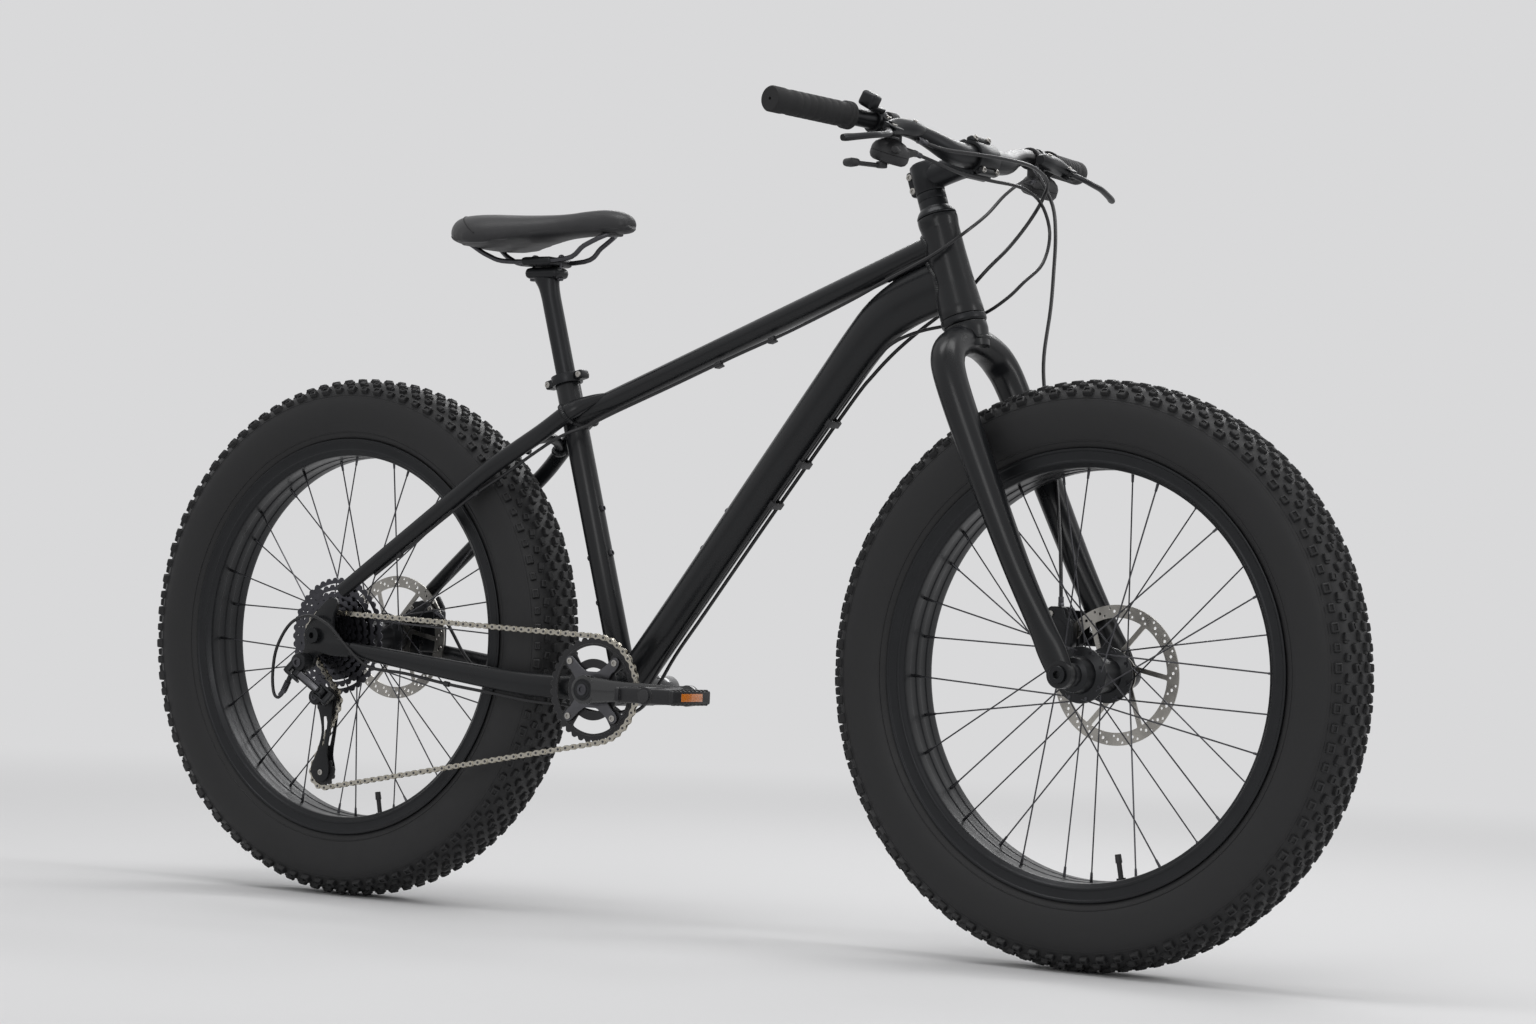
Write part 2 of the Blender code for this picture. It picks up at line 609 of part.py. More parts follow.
def build_cockpit(axis):
    turn = Matrix.Rotation(HEAD_ANGLE - math.pi / 2, 4, "Y")
    clamp_low, clamp_high = 0.0334, 0.0734
    stem = turned("stem", [(0, clamp_high), (0.0195, clamp_high), (0.0195, clamp_low),
                           (0, clamp_low)], 20, ALONG_STEERER)
    arm = oval_tube("arm", [steer_point(-STEM_HEIGHT - 0.001, 0.0),
                            steer_point(-STEM_HEIGHT, STEM_LENGTH - 0.006)],
                    [(0.0175, 0.0165), (0.0190, 0.0210)], 12)
    barrel = across("barrel", BAR_CENTRE, [(0, 0.0240), (0.0215, 0.0240), (0.0215, -0.0240),
                                           (0, -0.0240)], 20)
    rear_lugs = box("rear_lugs", (0.0150, 0.0480, 0.0520), BAR_CENTRE
                    - STEER_AHEAD * 0.0070, turn, 0.003)
    bolts = box("bolts", (0.0110, 0.0150, 0.0340), steer_point(-STEM_HEIGHT - 0.001, -0.0210),
                turn, 0.003)
    fuse(stem, arm, barrel, rear_lugs, bolts)
    bar_room = across("bar_room", BAR_CENTRE, [(0, 0.03), (BAR_RADIUS + GAP, 0.03),
                                               (BAR_RADIUS + GAP, -0.03), (0, -0.03)], 20)
    front_room = box("front_room", (0.06, 0.10, 0.08), BAR_CENTRE + STEER_AHEAD * 0.0310, turn)
    steerer_room = turned("steerer_room", [(0, 0.10), (0.0146, 0.10), (0.0146, 0.0),
                                           (0, 0.0)], 20, ALONG_STEERER)
    cut(stem, bar_room, front_room, steerer_room)
    finish(stem, "stem", "anodised_black", axis)

    cover = across("cover", BAR_CENTRE, [(0, 0.0240), (0.0212, 0.0240), (0.0212, -0.0240),
                                         (0, -0.0240)], 20)
    lugs = box("lugs", (0.0130, 0.0480, 0.0520), BAR_CENTRE + STEER_AHEAD * 0.0080, turn, 0.003)
    fuse(cover, lugs)
    cut(cover, across("bar_room", BAR_CENTRE, [(0, 0.03), (BAR_RADIUS + GAP, 0.03),
                                               (BAR_RADIUS + GAP, -0.03), (0, -0.03)], 20),
        box("rear_room", (0.06, 0.10, 0.08), BAR_CENTRE - STEER_AHEAD * 0.0285, turn))
    finish(cover, "stem_faceplate", "anodised_black", axis)

    half = [Vector((x, y, z)) for y, x, z in BAR_HALF_POINTS]
    left = [BAR_CENTRE + point for point in smooth_path(half[:5], 2)] + [BAR_CENTRE + half[-1]]
    path = [mirrored(point, -1) for point in reversed(left)] + left
    thick = [0.0159, 0.0157, 0.0150, 0.0140, 0.0128, 0.0118, 0.0111, 0.0111, 0.0111, 0.0111]
    finish(tube("bar", path, list(reversed(thick)) + thick, 3), "handlebar", "anodised_black", axis)

    for side, label in ((-1, "right"), (1, "left")):
        start = mirrored(bar_point(GRIP_START), side)
        outward = (mirrored(bar_point(0.381), side) - start).normalized()
        place = (Matrix.Translation(start)
                 @ outward.to_track_quat("Z", "Y").to_matrix().to_4x4())
        end = (mirrored(bar_point(0.381), side) - start).length + GAP
        grip = turned("grip", [(0, end + 0.004), (0.0150, end + 0.004), (0.0163, end + 0.001),
                               (0.0158, 0.0110), (0.0178, 0.0090), (0.0178, 0.0), (0.0117, 0.0),
                               (0.0117, end), (0, end)], 14, place)
        finish(grip, "grip_" + label, "grip_rubber", axis)
        build_lever(side, label, axis)
    build_shifters(axis)


LEVER_PIVOT_Y = 0.2230
LEVER_DROP = Matrix.Rotation(math.radians(28), 4, "Y")


def lever_place(y, ahead, up):
    """A point given from the bar at y, along and square to the lever's tilted plane."""
    return bar_point(y) + (LEVER_DROP @ Vector((ahead, 0.0, up)))


def lever_pivot():
    return lever_place(LEVER_PIVOT_Y, 0.0440, 0.0050)


def lever_axis_direction():
    return (LEVER_DROP @ Vector((0, 0, 1))).normalized()


def build_lever(side, label, axis):
    body_path = [lever_place(0.152, 0.0250, 0.0080), lever_place(0.172, 0.0270, 0.0080),
                 lever_place(0.200, 0.0310, 0.0070), lever_place(0.222, 0.0390, 0.0055)]
    body = oval_tube("body", [mirrored(point, side) for point in body_path],
                     [(0.0085, 0.0085), (0.0110, 0.0105), (0.0110, 0.0110), (0.0095, 0.0100)], 10)
    band_y = (0.196, 0.210)
    band = rod("band", mirrored(bar_point(band_y[0]), side), mirrored(bar_point(band_y[1]), side),
               0.0160, 14)
    link = box("link", (0.0240, 0.0130, 0.0120), mirrored(lever_place(0.203, 0.0200, 0.0050), side),
               LEVER_DROP, 0.001)
    knuckle = box("knuckle", (0.0200, 0.0180, 0.0150), mirrored(lever_pivot(), side),
                  LEVER_DROP, 0.002)
    fuse(body, band, link, knuckle)
    bar_cutter = bore_cutter("bar_cutter", mirrored(bar_point(0.150), side),
                     mirrored(bar_point(0.240), side), 0.0111 + GAP, 12)
    slot = box("slot", (0.0400, 0.0500, 0.0084), mirrored(lever_pivot(), side)
               + LEVER_DROP @ Vector((0.0120, side * 0.0165, 0.0)), LEVER_DROP)
    cut(body, bar_cutter, slot)
    if label == "right":
        fuse(body, box("tank", (0.0220, 0.0200, 0.0200), mirrored(lever_place(0.233, 0.004, 0.026),
                                                                  side), LEVER_DROP, 0.003),
             box("tank_neck", (0.0120, 0.0300, 0.0060), mirrored(lever_place(0.220, 0.006, 0.0180),
                                                                 side), LEVER_DROP))
        cut(body, bore_cutter("bar_cutter", mirrored(bar_point(0.150), side),
                      mirrored(bar_point(0.2497), side), 0.0111 + GAP, 12))
    finish(body, "brake_lever_body_" + label, "anodised_black", axis)

    pivot = mirrored(lever_pivot(), side)
    direction = lever_axis_direction()
    hinge = joint_axis("brake_lever_axis_" + label, pivot, direction, axis)
    stations = [(0.000, 0.0000, 0.0000), (0.014, 0.0050, 0.0000), (0.028, 0.0148, -0.0005),
                (0.068, 0.0211, -0.0057), (0.100, 0.0190, -0.0135), (0.120, 0.0160, -0.0190)]
    path = [pivot + LEVER_DROP @ Vector((ahead, side * out, up)) for out, ahead, up in stations]
    halves = [(0.0038, 0.0060), (0.0038, 0.0060), (0.0038, 0.0048), (0.0040, 0.0040),
              (0.0044, 0.0042), (0.0050, 0.0052)]
    blade = lever_blade("blade", path, halves, direction)
    finish(blade, "brake_lever_blade_" + label, "anodised_black", hinge)


def lever_blade(name, path, halves, up):
    """A flat curved blade: rings of eight points, tall along up and wide across it."""
    shape = bmesh.new()
    rings = []
    for index, centre in enumerate(path):
        ahead = path[min(index + 1, len(path) - 1)] - path[max(index - 1, 0)]
        wide = up.cross(ahead).normalized()
        tall, half = halves[index]
        ring = []
        for step in range(8):
            angle = math.pi / 8 + step * math.pi / 4
            ring.append(shape.verts.new(centre + wide * half * math.cos(angle) * 1.08
                                        + up * tall * math.sin(angle) * 1.08))
        rings.append(ring)
    for ring, following in zip(rings, rings[1:]):
        for step in range(8):
            after = (step + 1) % 8
            shape.faces.new((ring[step], ring[after], following[after], following[step]))
    shape.faces.new(list(reversed(rings[0])))
    shape.faces.new(rings[-1])
    bmesh.ops.recalc_face_normals(shape, faces=shape.faces)
    mesh = bpy.data.meshes.new(name)
    shape.to_mesh(mesh)
    shape.free()
    return add_object(name, mesh)


POD_CENTRE = Vector((0.3890, -0.1900, 1.0195))
THUMB_PIVOT = POD_CENTRE + Vector((-0.0040, -0.0120, -0.0165))
RELEASE_PIVOT = POD_CENTRE + Vector((0.0120, -0.0180, 0.0))


def build_shifters(axis):
    upright = Matrix.Rotation(math.radians(18), 4, "Y")
    for side, label in ((-1, "right"), (1, "left")):
        centre = mirrored(POD_CENTRE, -side)
        place = Matrix.Translation(centre) @ upright
        pod = turned("pod", [(0, 0.0120), (0.0150, 0.0110), (0.0225, 0.0040), (0.0225, -0.0060),
                             (0.0190, -0.0120), (0, -0.0130)], 14, place)
        hanger = box("hanger", (0.0120, 0.0120, 0.0340), centre + Vector((-0.0020, side * -0.0090,
                                                                         0.0210)), bevel=0.002)
        ring_y = (0.172, 0.186)
        ring = rod("ring", mirrored(bar_point(ring_y[0]), side),
                   mirrored(bar_point(ring_y[1]), side), 0.0150, 14)
        barrel = rod("barrel", centre + Vector((0.0080, side * -0.0150, 0.0020)),
                     centre + Vector((0.0120, side * -0.0380, 0.0040)), 0.0048, 8)
        fuse(pod, hanger, ring, barrel)
        cut(pod, bore_cutter("bar_cutter", mirrored(bar_point(0.150), side),
                     mirrored(bar_point(0.240), side), 0.0111 + GAP, 12))
        finish(pod, "shifter_body_" + label, "moulded_black", axis)

    hinge = joint_axis("thumb_lever_axis", THUMB_PIVOT, Vector((0, 0, 1)), axis)
    thumb = box("thumb", (0.0130, 0.0520, 0.0040), THUMB_PIVOT + Vector((-0.0140, -0.0200, 0)),
                Matrix.Rotation(math.radians(-24), 4, "Z"), 0.0015)
    fuse(thumb, box("pad", (0.0200, 0.0160, 0.0100), THUMB_PIVOT + Vector((-0.0250, -0.0440, 0.0)),
                    Matrix.Rotation(math.radians(-24), 4, "Z"), 0.003))
    finish(thumb, "shifter_thumb_lever", "moulded_black", hinge)

    hinge = joint_axis("release_lever_axis", RELEASE_PIVOT, Vector((0, 0, 1)), axis)
    release = box("release", (0.0080, 0.0300, 0.0060), RELEASE_PIVOT + Vector((0.0142, -0.0095, 0)),
                  Matrix.Rotation(math.radians(25), 4, "Z"), 0.0015)
    finish(release, "shifter_release_lever", "moulded_black", hinge)


def tyre_mesh():
    """An open C section turned round the axle, with every other shoulder lug cut down."""
    outer = [(0.2702, 0.0354), (0.2900, 0.0374), (0.3270, TYRE_HALF_WIDTH), (0.3600, 0.0445),
             (TYRE_RADIUS, 0.0200)]
    inner = [(0.3600, 0.0240), (0.3300, 0.0440), (0.2702, 0.0314)]
    profile = outer + [(r, -y) for r, y in reversed(outer)]
    profile += [(r, -y) for r, y in reversed(inner)] + inner
    lugs = {3: 0, 4: 1, 5: 1, 6: 0}
    return profile, lugs


def build_tyre(name, centre, axis):
    profile, lugs = tyre_mesh()
    shape = bmesh.new()
    rings = []
    for step in range(TYRE_STEPS):
        angle = 2 * math.pi * step / TYRE_STEPS
        ring = []
        for index, (radius, y) in enumerate(profile):
            low = index in lugs and step % 2 == lugs[index]
            reach = radius - (TREAD_DEPTH if low else 0.0)
            ring.append(shape.verts.new((reach * math.cos(angle), y, reach * math.sin(angle))))
        rings.append(ring)
    count = len(profile)
    for step, ring in enumerate(rings):
        following = rings[(step + 1) % TYRE_STEPS]
        for index in range(count):
            after = (index + 1) % count
            shape.faces.new((ring[index], ring[after], following[after], following[index]))
    bmesh.ops.recalc_face_normals(shape, faces=shape.faces)
    mesh = bpy.data.meshes.new(name)
    shape.to_mesh(mesh)
    shape.free()
    tyre = add_object(name, mesh)
    tyre.location = centre
    bpy.context.view_layer.update()
    finish(tyre, name, "tyre_rubber", axis)


def build_rim(name, centre, axis):
    wide, high, floor = RIM_HALF_WIDTH, RIM_RADIUS, RIM_FLOOR_RADIUS
    half = [(high, wide - 0.0024), (high, wide), (0.2680, wide - 0.0015), (floor, 0.0330)]
    profile = half + [(r, -y) for r, y in reversed(half)]
    profile += [(0.2665, -wide + 0.0038), (0.2665, wide - 0.0038)]
    rim = across(name, centre, profile, RIM_STEPS)
    finish(rim, name, "anodised_black", axis)


def add_spoke(shape, start_angle, end_angle, start, end):
    """Adds a thin triangular bar from (radius, y) on a flange to (radius, y) at the rim."""
    points = []
    for angle, (radius, y) in ((start_angle, start), (end_angle, end)):
        points.append(Vector((radius * math.cos(angle), y, radius * math.sin(angle))))
    direction = (points[1] - points[0]).normalized()
    side = direction.cross(Vector((0, 1, 0))).normalized()
    up = side.cross(direction)
    rings = []
    for point in points:
        rings.append([shape.verts.new(point + (side * math.cos(a) + up * math.sin(a))
                                      * SPOKE_RADIUS) for a in
                      (math.radians(90), math.radians(210), math.radians(330))])
    for k in range(3):
        shape.faces.new((rings[0][k], rings[0][(k + 1) % 3], rings[1][(k + 1) % 3], rings[1][k]))
    shape.faces.new(list(reversed(rings[0])))
    shape.faces.new(rings[1])


def build_spoked_hub(name, centre, profile, flanges, axis):
    """A hub with its laced spokes; each spoke's outer end stays just clear of the rim."""
    hub = across(name, centre, profile, 14)
    rim_end = RIM_FLOOR_RADIUS * math.cos(math.pi / RIM_STEPS) - 0.0006
    shape = bmesh.new()
    for flange, (flange_y, flange_radius) in enumerate(flanges):
        for index in range(SPOKE_COUNT // 2):
            rim_angle = 2 * math.pi * (2 * index + flange + 0.25) / SPOKE_COUNT
            sign = 1 if index % 2 == 0 else -1
            start = (flange_radius - 0.0045, flange_y + sign * SPOKE_RADIUS * 0.95)
            end = (rim_end, math.copysign(0.012, flange_y) + sign * SPOKE_RADIUS * 1.05)
            add_spoke(shape, rim_angle + sign * SPOKE_CROSSING, rim_angle, start, end)
    bmesh.ops.recalc_face_normals(shape, faces=shape.faces)
    mesh = bpy.data.meshes.new("spokes")
    shape.to_mesh(mesh)
    shape.free()
    spokes = add_object("spokes", mesh)
    spokes.location = centre
    bpy.context.view_layer.update()
    fuse(hub, spokes)
    finish(hub, name, "anodised_black", axis)


def build_rotor(name, centre, middle_y, axis):
    outline = []
    for k in range(36):
        angle = 2 * math.pi * k / 36
        radius = ROTOR_RADIUS - (0.0016 if k % 3 == 0 else 0.0)
        outline.append((centre.x + radius * math.cos(angle), centre.z + radius * math.sin(angle)))
    windows = [circle(centre.x, centre.z, 0.0170, 12)]
    for arm in range(6):
        start, end = math.radians(60 * arm + 6), math.radians(60 * arm + 54)
        lean = math.radians(14)
        window = []
        for k in range(4):
            angle = start + (end - start) * k / 3
            window.append((centre.x + 0.0735 * math.cos(angle), centre.z
                           + 0.0735 * math.sin(angle)))
        for k in range(3):
            angle = end - math.radians(6) - (end - start - math.radians(12)) * k / 2 + lean
            window.append((centre.x + 0.0270 * math.cos(angle), centre.z
                           + 0.0270 * math.sin(angle)))
        windows.append(window)
    rotor = plate(name, outline, windows, middle_y, ROTOR_THICKNESS)
    finish(rotor, name, "steel", axis)


def build_front_wheel(axis):
    build_tyre("front_tyre", FRONT_AXLE, axis)
    build_rim("front_rim", FRONT_AXLE, axis)
    boss = FRONT_ROTOR_Y - ROTOR_THICKNESS / 2 - GAP
    bore, end = FRONT_AXLE_RADIUS + GAP, FRONT_HUB_HALF
    profile = [(bore, end), (0.0145, end), (0.0145, boss), (0.0220, boss), (0.0220, 0.0380),
               (0.0360, 0.0374), (0.0360, 0.0326), (0.0230, 0.0290), (0.0230, -0.0290),
               (0.0360, -0.0326), (0.0360, -0.0374), (0.0240, -0.0400), (0.0220, -0.0580),
               (0.0150, -0.0600), (0.0150, -end), (bore, -end)]
    build_spoked_hub("front_hub", FRONT_AXLE, profile, [(-0.035, 0.0355), (0.035, 0.0355)], axis)
    build_rotor("front_rotor", FRONT_AXLE, FRONT_ROTOR_Y, axis)


def build_rear_wheel(axis):
    build_tyre("rear_tyre", REAR_AXLE, axis)
    build_rim("rear_rim", REAR_AXLE, axis)
    boss = REAR_ROTOR_Y - ROTOR_THICKNESS / 2 - GAP
    bore, end = REAR_AXLE_RADIUS + GAP, REAR_HUB_HALF
    profile = [(bore, end), (0.0145, end), (0.0145, boss), (0.0220, boss), (0.0220, 0.0580),
               (0.0350, 0.0554), (0.0350, 0.0506), (0.0230, 0.0470), (0.0230, -0.0380),
               (0.0350, -0.0406), (0.0350, -0.0454), (0.0240, -0.0480), (bore, -0.0485)]
    build_spoked_hub("rear_hub", REAR_AXLE, profile, [(-0.043, 0.0345), (0.053, 0.0345)], axis)
    build_rotor("rear_rotor", REAR_AXLE, REAR_ROTOR_Y, axis)

    axle = across("rear_axle", REAR_AXLE, [
        (0, 0.1100), (0.0105, 0.1100), (0.0105, 0.1034), (REAR_AXLE_RADIUS, 0.1034),
        (REAR_AXLE_RADIUS, -0.1034), (0.0115, -0.1034), (0.0115, -0.1100), (0, -0.1100)], 12)
    finish(axle, "rear_axle", "anodised_black")


def cog_radius(teeth):
    return teeth * PITCH / (2 * math.pi)


def cog_y(index):
    return FIRST_COG_Y + COG_SPACING * index


def build_cassette(axis):
    """The cog stack as steps; only the cog that carries the chain stands free on both sides."""
    bore = REAR_AXLE_RADIUS + GAP
    profile = [(bore, FIRST_COG_Y - 0.0035), (0.0180, FIRST_COG_Y - 0.0035),
               (0.0180, FIRST_COG_Y - COG_HALF)]
    for index, teeth in enumerate(COG_TEETH):
        tip = cog_radius(teeth) - TOOTH_DROP
        low = cog_y(index) - COG_HALF
        high = cog_y(index + 1) - COG_HALF if index < len(COG_TEETH) - 1 else cog_y(index) + COG_HALF
        profile.append((tip, low))
        if index == CHAIN_COG:
            root = tip - 0.0036
            profile += [(tip, cog_y(index) + COG_HALF), (root, cog_y(index) + COG_HALF),
                        (root, high)]
        else:
            profile.append((tip, high))
    profile += [(0.0300, cog_y(10) + COG_HALF), (0.0300, cog_y(10) + 0.0020),
                (bore, cog_y(10) + 0.0020)]
    cassette = across("cassette", REAR_AXLE, profile, 18)
    finish(cassette, "cassette", "steel", axis)


def build_cranks(axis, pedal_axes):
    pitch_radius = cog_radius(RING_TEETH)
    outline = []
    for tooth in range(RING_TEETH):
        for part, drop in ((0.0, 0.0038), (0.32, 0.0), (0.64, 0.0)):
            angle = 2 * math.pi * (tooth + part) / RING_TEETH
            radius = pitch_radius - TOOTH_DROP - drop
            outline.append((BRACKET.x + radius * math.cos(angle),
                            BRACKET.z + radius * math.sin(angle)))
    ring = plate("ring", outline, [circle(BRACKET.x, BRACKET.z, 0.0560, 24)], RING_Y, 0.0022)
    finish(ring, "chainring", "anodised_black", axis)

    spider_y = RING_Y - 0.0011 - GAP - 0.0020
    star = []
    for arm in range(4):
        middle = math.radians(45 + 90 * arm)
        for offset, radius in ((-0.42, 0.026), (-0.145, 0.0500), (-0.12, 0.0620), (0.12, 0.0620),
                               (0.145, 0.0500), (0.42, 0.026)):
            star.append((BRACKET.x + radius * math.cos(middle + offset),
                         BRACKET.z + radius * math.sin(middle + offset)))
    spider = plate("spider", star, [], spider_y, 0.0040)

    for side, label, pedal_axis in ((-1, "right", pedal_axes[0]), (1, "left", pedal_axes[1])):
        reach = -side * CRANK_LENGTH
        end = BRACKET + Vector((reach, side * (CRANK_ARM_Y + 0.006), 0))
        arm = oval_tube("arm", [BRACKET + Vector((0, side * CRANK_ARM_Y, 0)),
                                BRACKET + Vector((reach * 0.25, side * (CRANK_ARM_Y + 0.001), 0)),
                                BRACKET + Vector((reach * 0.8, side * (CRANK_ARM_Y + 0.005), 0)),
                                end],
                        [(0.0175, 0.0075), (0.0150, 0.0070), (0.0125, 0.0060),
                         (0.0130, 0.0060)], 12)
        hub_inner = -spider_y - 0.0020 if label == "right" else CUP_OUTER_Y + 0.0010
        hub_ends = [BRACKET + Vector((0, side * y, 0)) for y in (hub_inner, CRANK_ARM_Y + 0.008)]
        hub = rod("hub", *hub_ends, 0.0195, 18)
        eye = rod("eye", end - Vector((0, side * 0.0060, 0)), end + Vector((0, side * 0.0060, 0)),
                  0.0140, 14)
        stub = rod("stub", end, BRACKET + Vector((reach, side * (PEDAL_Y + 0.040), 0)), 0.0060, 10)
        fuse(hub, arm, eye, stub)
        if label == "right":
            neck = rod("neck", BRACKET + Vector((0, side * (CUP_OUTER_Y + 0.0010), 0)),
                       BRACKET + Vector((0, side * 0.0900, 0)), 0.0185, 18)
            fuse(hub, spider, neck)
            stub_room = bore_cutter("stub_room", BRACKET - Vector((0, 0.0620, 0)),
                            BRACKET - Vector((0, 0.0880, 0)), 0.0153, 16)
            mouth = bore_cutter("mouth", BRACKET - Vector((0, 0.0500, 0)),
                        BRACKET - Vector((0, 0.0700, 0)), 0.0153, 16)
            cut(hub, stub_room, mouth)
        else:
            spindle = rod("spindle", BRACKET + Vector((0, 0.0800, 0)),
                          BRACKET - Vector((0, 0.0875, 0)), 0.0150, 16)
            fuse(hub, spindle)
        finish(hub, "crank_" + label, "anodised_black", axis)
        build_pedal(side, label, BRACKET + Vector((reach, side * PEDAL_Y, 0)), pedal_axis)


def build_pedal(side, label, centre, axis):
    """A cage pedal: a frame with two windows round the spindle's bearing barrel."""
    frame = box("frame", (0.0960, 0.0860, 0.0200), centre, bevel=0.004)
    for ahead in (-0.0270, 0.0270):
        cut(frame, box("window", (0.0300, 0.0620, 0.0400), centre + Vector((ahead, 0, 0))))
    barrel = rod("barrel", centre - Vector((0, 0.0455, 0)), centre + Vector((0, 0.0455, 0)),
                 0.0120, 12)
    fuse(frame, barrel)
    start = centre - Vector((0, side * 0.0600, 0))
    cut(frame, bore_cutter("bore", start, centre + Vector((0, side * 0.0410, 0)), 0.0064, 10))
    finish(frame, "pedal_" + label, "moulded_black", axis)


def derailleur_pivot():
    return REAR_AXLE + Vector((-0.0125, -DROPOUT_Y, -0.0390))


P_AXIS = REAR_AXLE + Vector((0.0140, -0.0980, -0.0870))
GUIDE_CENTRE = Vector((REAR_AXLE.x + 0.0100, cog_y(CHAIN_COG), REAR_AXLE.z - 0.0930))
TENSION_CENTRE = Vector((REAR_AXLE.x + 0.0080, cog_y(CHAIN_COG), REAR_AXLE.z - 0.1950))
LINK_START = Vector((-0.6205, -0.1170, 0.3190))
LINK_END = Vector((-0.5860, -0.1060, 0.2930))
BARREL_END = Vector((-0.6480, -0.1138, 0.2945))


def build_derailleur(axes):
    """Knuckle on the hanger, slanting link, and lower knuckle that carries the cage."""
    pivot = derailleur_pivot()
    outer = Vector((0, -1, 0))
    along = (LINK_END - LINK_START).normalized()
    hinge = link_axis_direction()
    turn = Matrix((along, hinge.cross(along), hinge)).transposed().to_4x4()
    face = pivot + outer * (DROPOUT_THICKNESS / 2 + GAP)
    knuckle = rod("knuckle", face, face + outer * 0.0200, 0.0125, 16)
    yoke = box("yoke", (0.0240, 0.0160, 0.0210), LINK_START - along * 0.0070, turn, 0.003)
    bolt = rod("bolt", face - outer * 0.0100, face + outer * 0.0050, 0.0040, 12)
    barrel = rod("barrel", LINK_START + Vector((-0.0090, -0.0020, -0.0020)), BARREL_END, 0.0046,
                 8)
    fuse(knuckle, yoke, barrel)
    cut(knuckle, bore_cutter("link_room", LINK_START - hinge * 0.0064, LINK_START + hinge * 0.0064,
                     0.0098, 12),
        box("link_way", (0.0300, 0.0300, 0.0128), LINK_START + along * 0.0150, turn))
    fuse(knuckle, bolt)
    finish(knuckle, "derailleur_b_knuckle", "anodised_black", axes["knuckle"])

    length = (LINK_END - LINK_START).length
    link = box("link", (length, 0.0110, 0.0122), (LINK_START + LINK_END) / 2, turn, 0.002)
    for end in (LINK_START, LINK_END):
        fuse(link, rod("boss", end - hinge * 0.0061, end + hinge * 0.0061, 0.0080, 12))
    finish(link, "derailleur_link", "anodised_black", axes["link"])

    lower = rod("lower", P_AXIS + Vector((0, -0.0160, 0)), P_AXIS + Vector((0, 0.0060, 0)), 0.0115,
                16)
    yoke = box("yoke", (0.0240, 0.0160, 0.0210), LINK_END + along * 0.0060, turn, 0.003)
    fuse(lower, yoke)
    cut(lower, bore_cutter("link_room", LINK_END - hinge * 0.0064, LINK_END + hinge * 0.0064,
                   0.0098, 12),
        box("link_way", (0.0300, 0.0300, 0.0128), LINK_END - along * 0.0150, turn))
    finish(lower, "derailleur_p_knuckle", "anodised_black", axes["p_knuckle"])

    build_cage(axes)


def build_cage(axes):
    outline = [(0.0000, 0.0150), (0.0100, 0.0120), (0.0150, 0.0030), (0.0145, -0.0150),
               (0.0115, -0.0450), (0.0060, -0.0750), (0.0095, -0.0960), (0.0080, -0.1080),
               (-0.0020, -0.1140), (-0.0130, -0.1090), (-0.0170, -0.0960), (-0.0090, -0.0700),
               (-0.0030, -0.0450), (-0.0080, -0.0200), (-0.0140, -0.0050), (-0.0110, 0.0100)]
    shifted = [(GUIDE_CENTRE.x + x, GUIDE_CENTRE.z + z) for x, z in outline]
    middle = GUIDE_CENTRE.y
    outer_plate = plate("outer", shifted, [], middle - 0.0068, 0.0018)
    inner_plate = plate("inner", shifted, [], middle + 0.0068, 0.0018)
    for centre in (GUIDE_CENTRE, TENSION_CENTRE):
        fuse(outer_plate, rod("pin", Vector((centre.x, middle - 0.0075, centre.z)),
                              Vector((centre.x, middle + 0.0075, centre.z)), 0.0030, 8))
    fuse(outer_plate, inner_plate)
    hub_y = P_AXIS.y + 0.0060 + GAP
    fuse(outer_plate, rod("hub", Vector((P_AXIS.x, hub_y, P_AXIS.z)),
                          Vector((P_AXIS.x, middle - 0.0062, P_AXIS.z)), 0.0100, 12))
    finish(outer_plate, "derailleur_cage", "anodised_black", axes["cage"])

    for name, centre, axis in (("guide_pulley", GUIDE_CENTRE, axes["guide"]),
                               ("tension_pulley", TENSION_CENTRE, axes["tension"])):
        radius = cog_radius(PULLEY_TEETH)
        outline = []
        for tooth in range(PULLEY_TEETH):
            for part, drop in ((0.0, 0.0030), (0.35, 0.0), (0.65, 0.0)):
                angle = 2 * math.pi * (tooth + part) / PULLEY_TEETH
                reach = radius - TOOTH_DROP - drop
                outline.append((centre.x + reach * math.cos(angle),
                                centre.z + reach * math.sin(angle)))
        pulley = plate(name, outline, [circle(centre.x, centre.z, 0.0034, 10)], centre.y, 0.0020)
        finish(pulley, name, "moulded_black", axis)


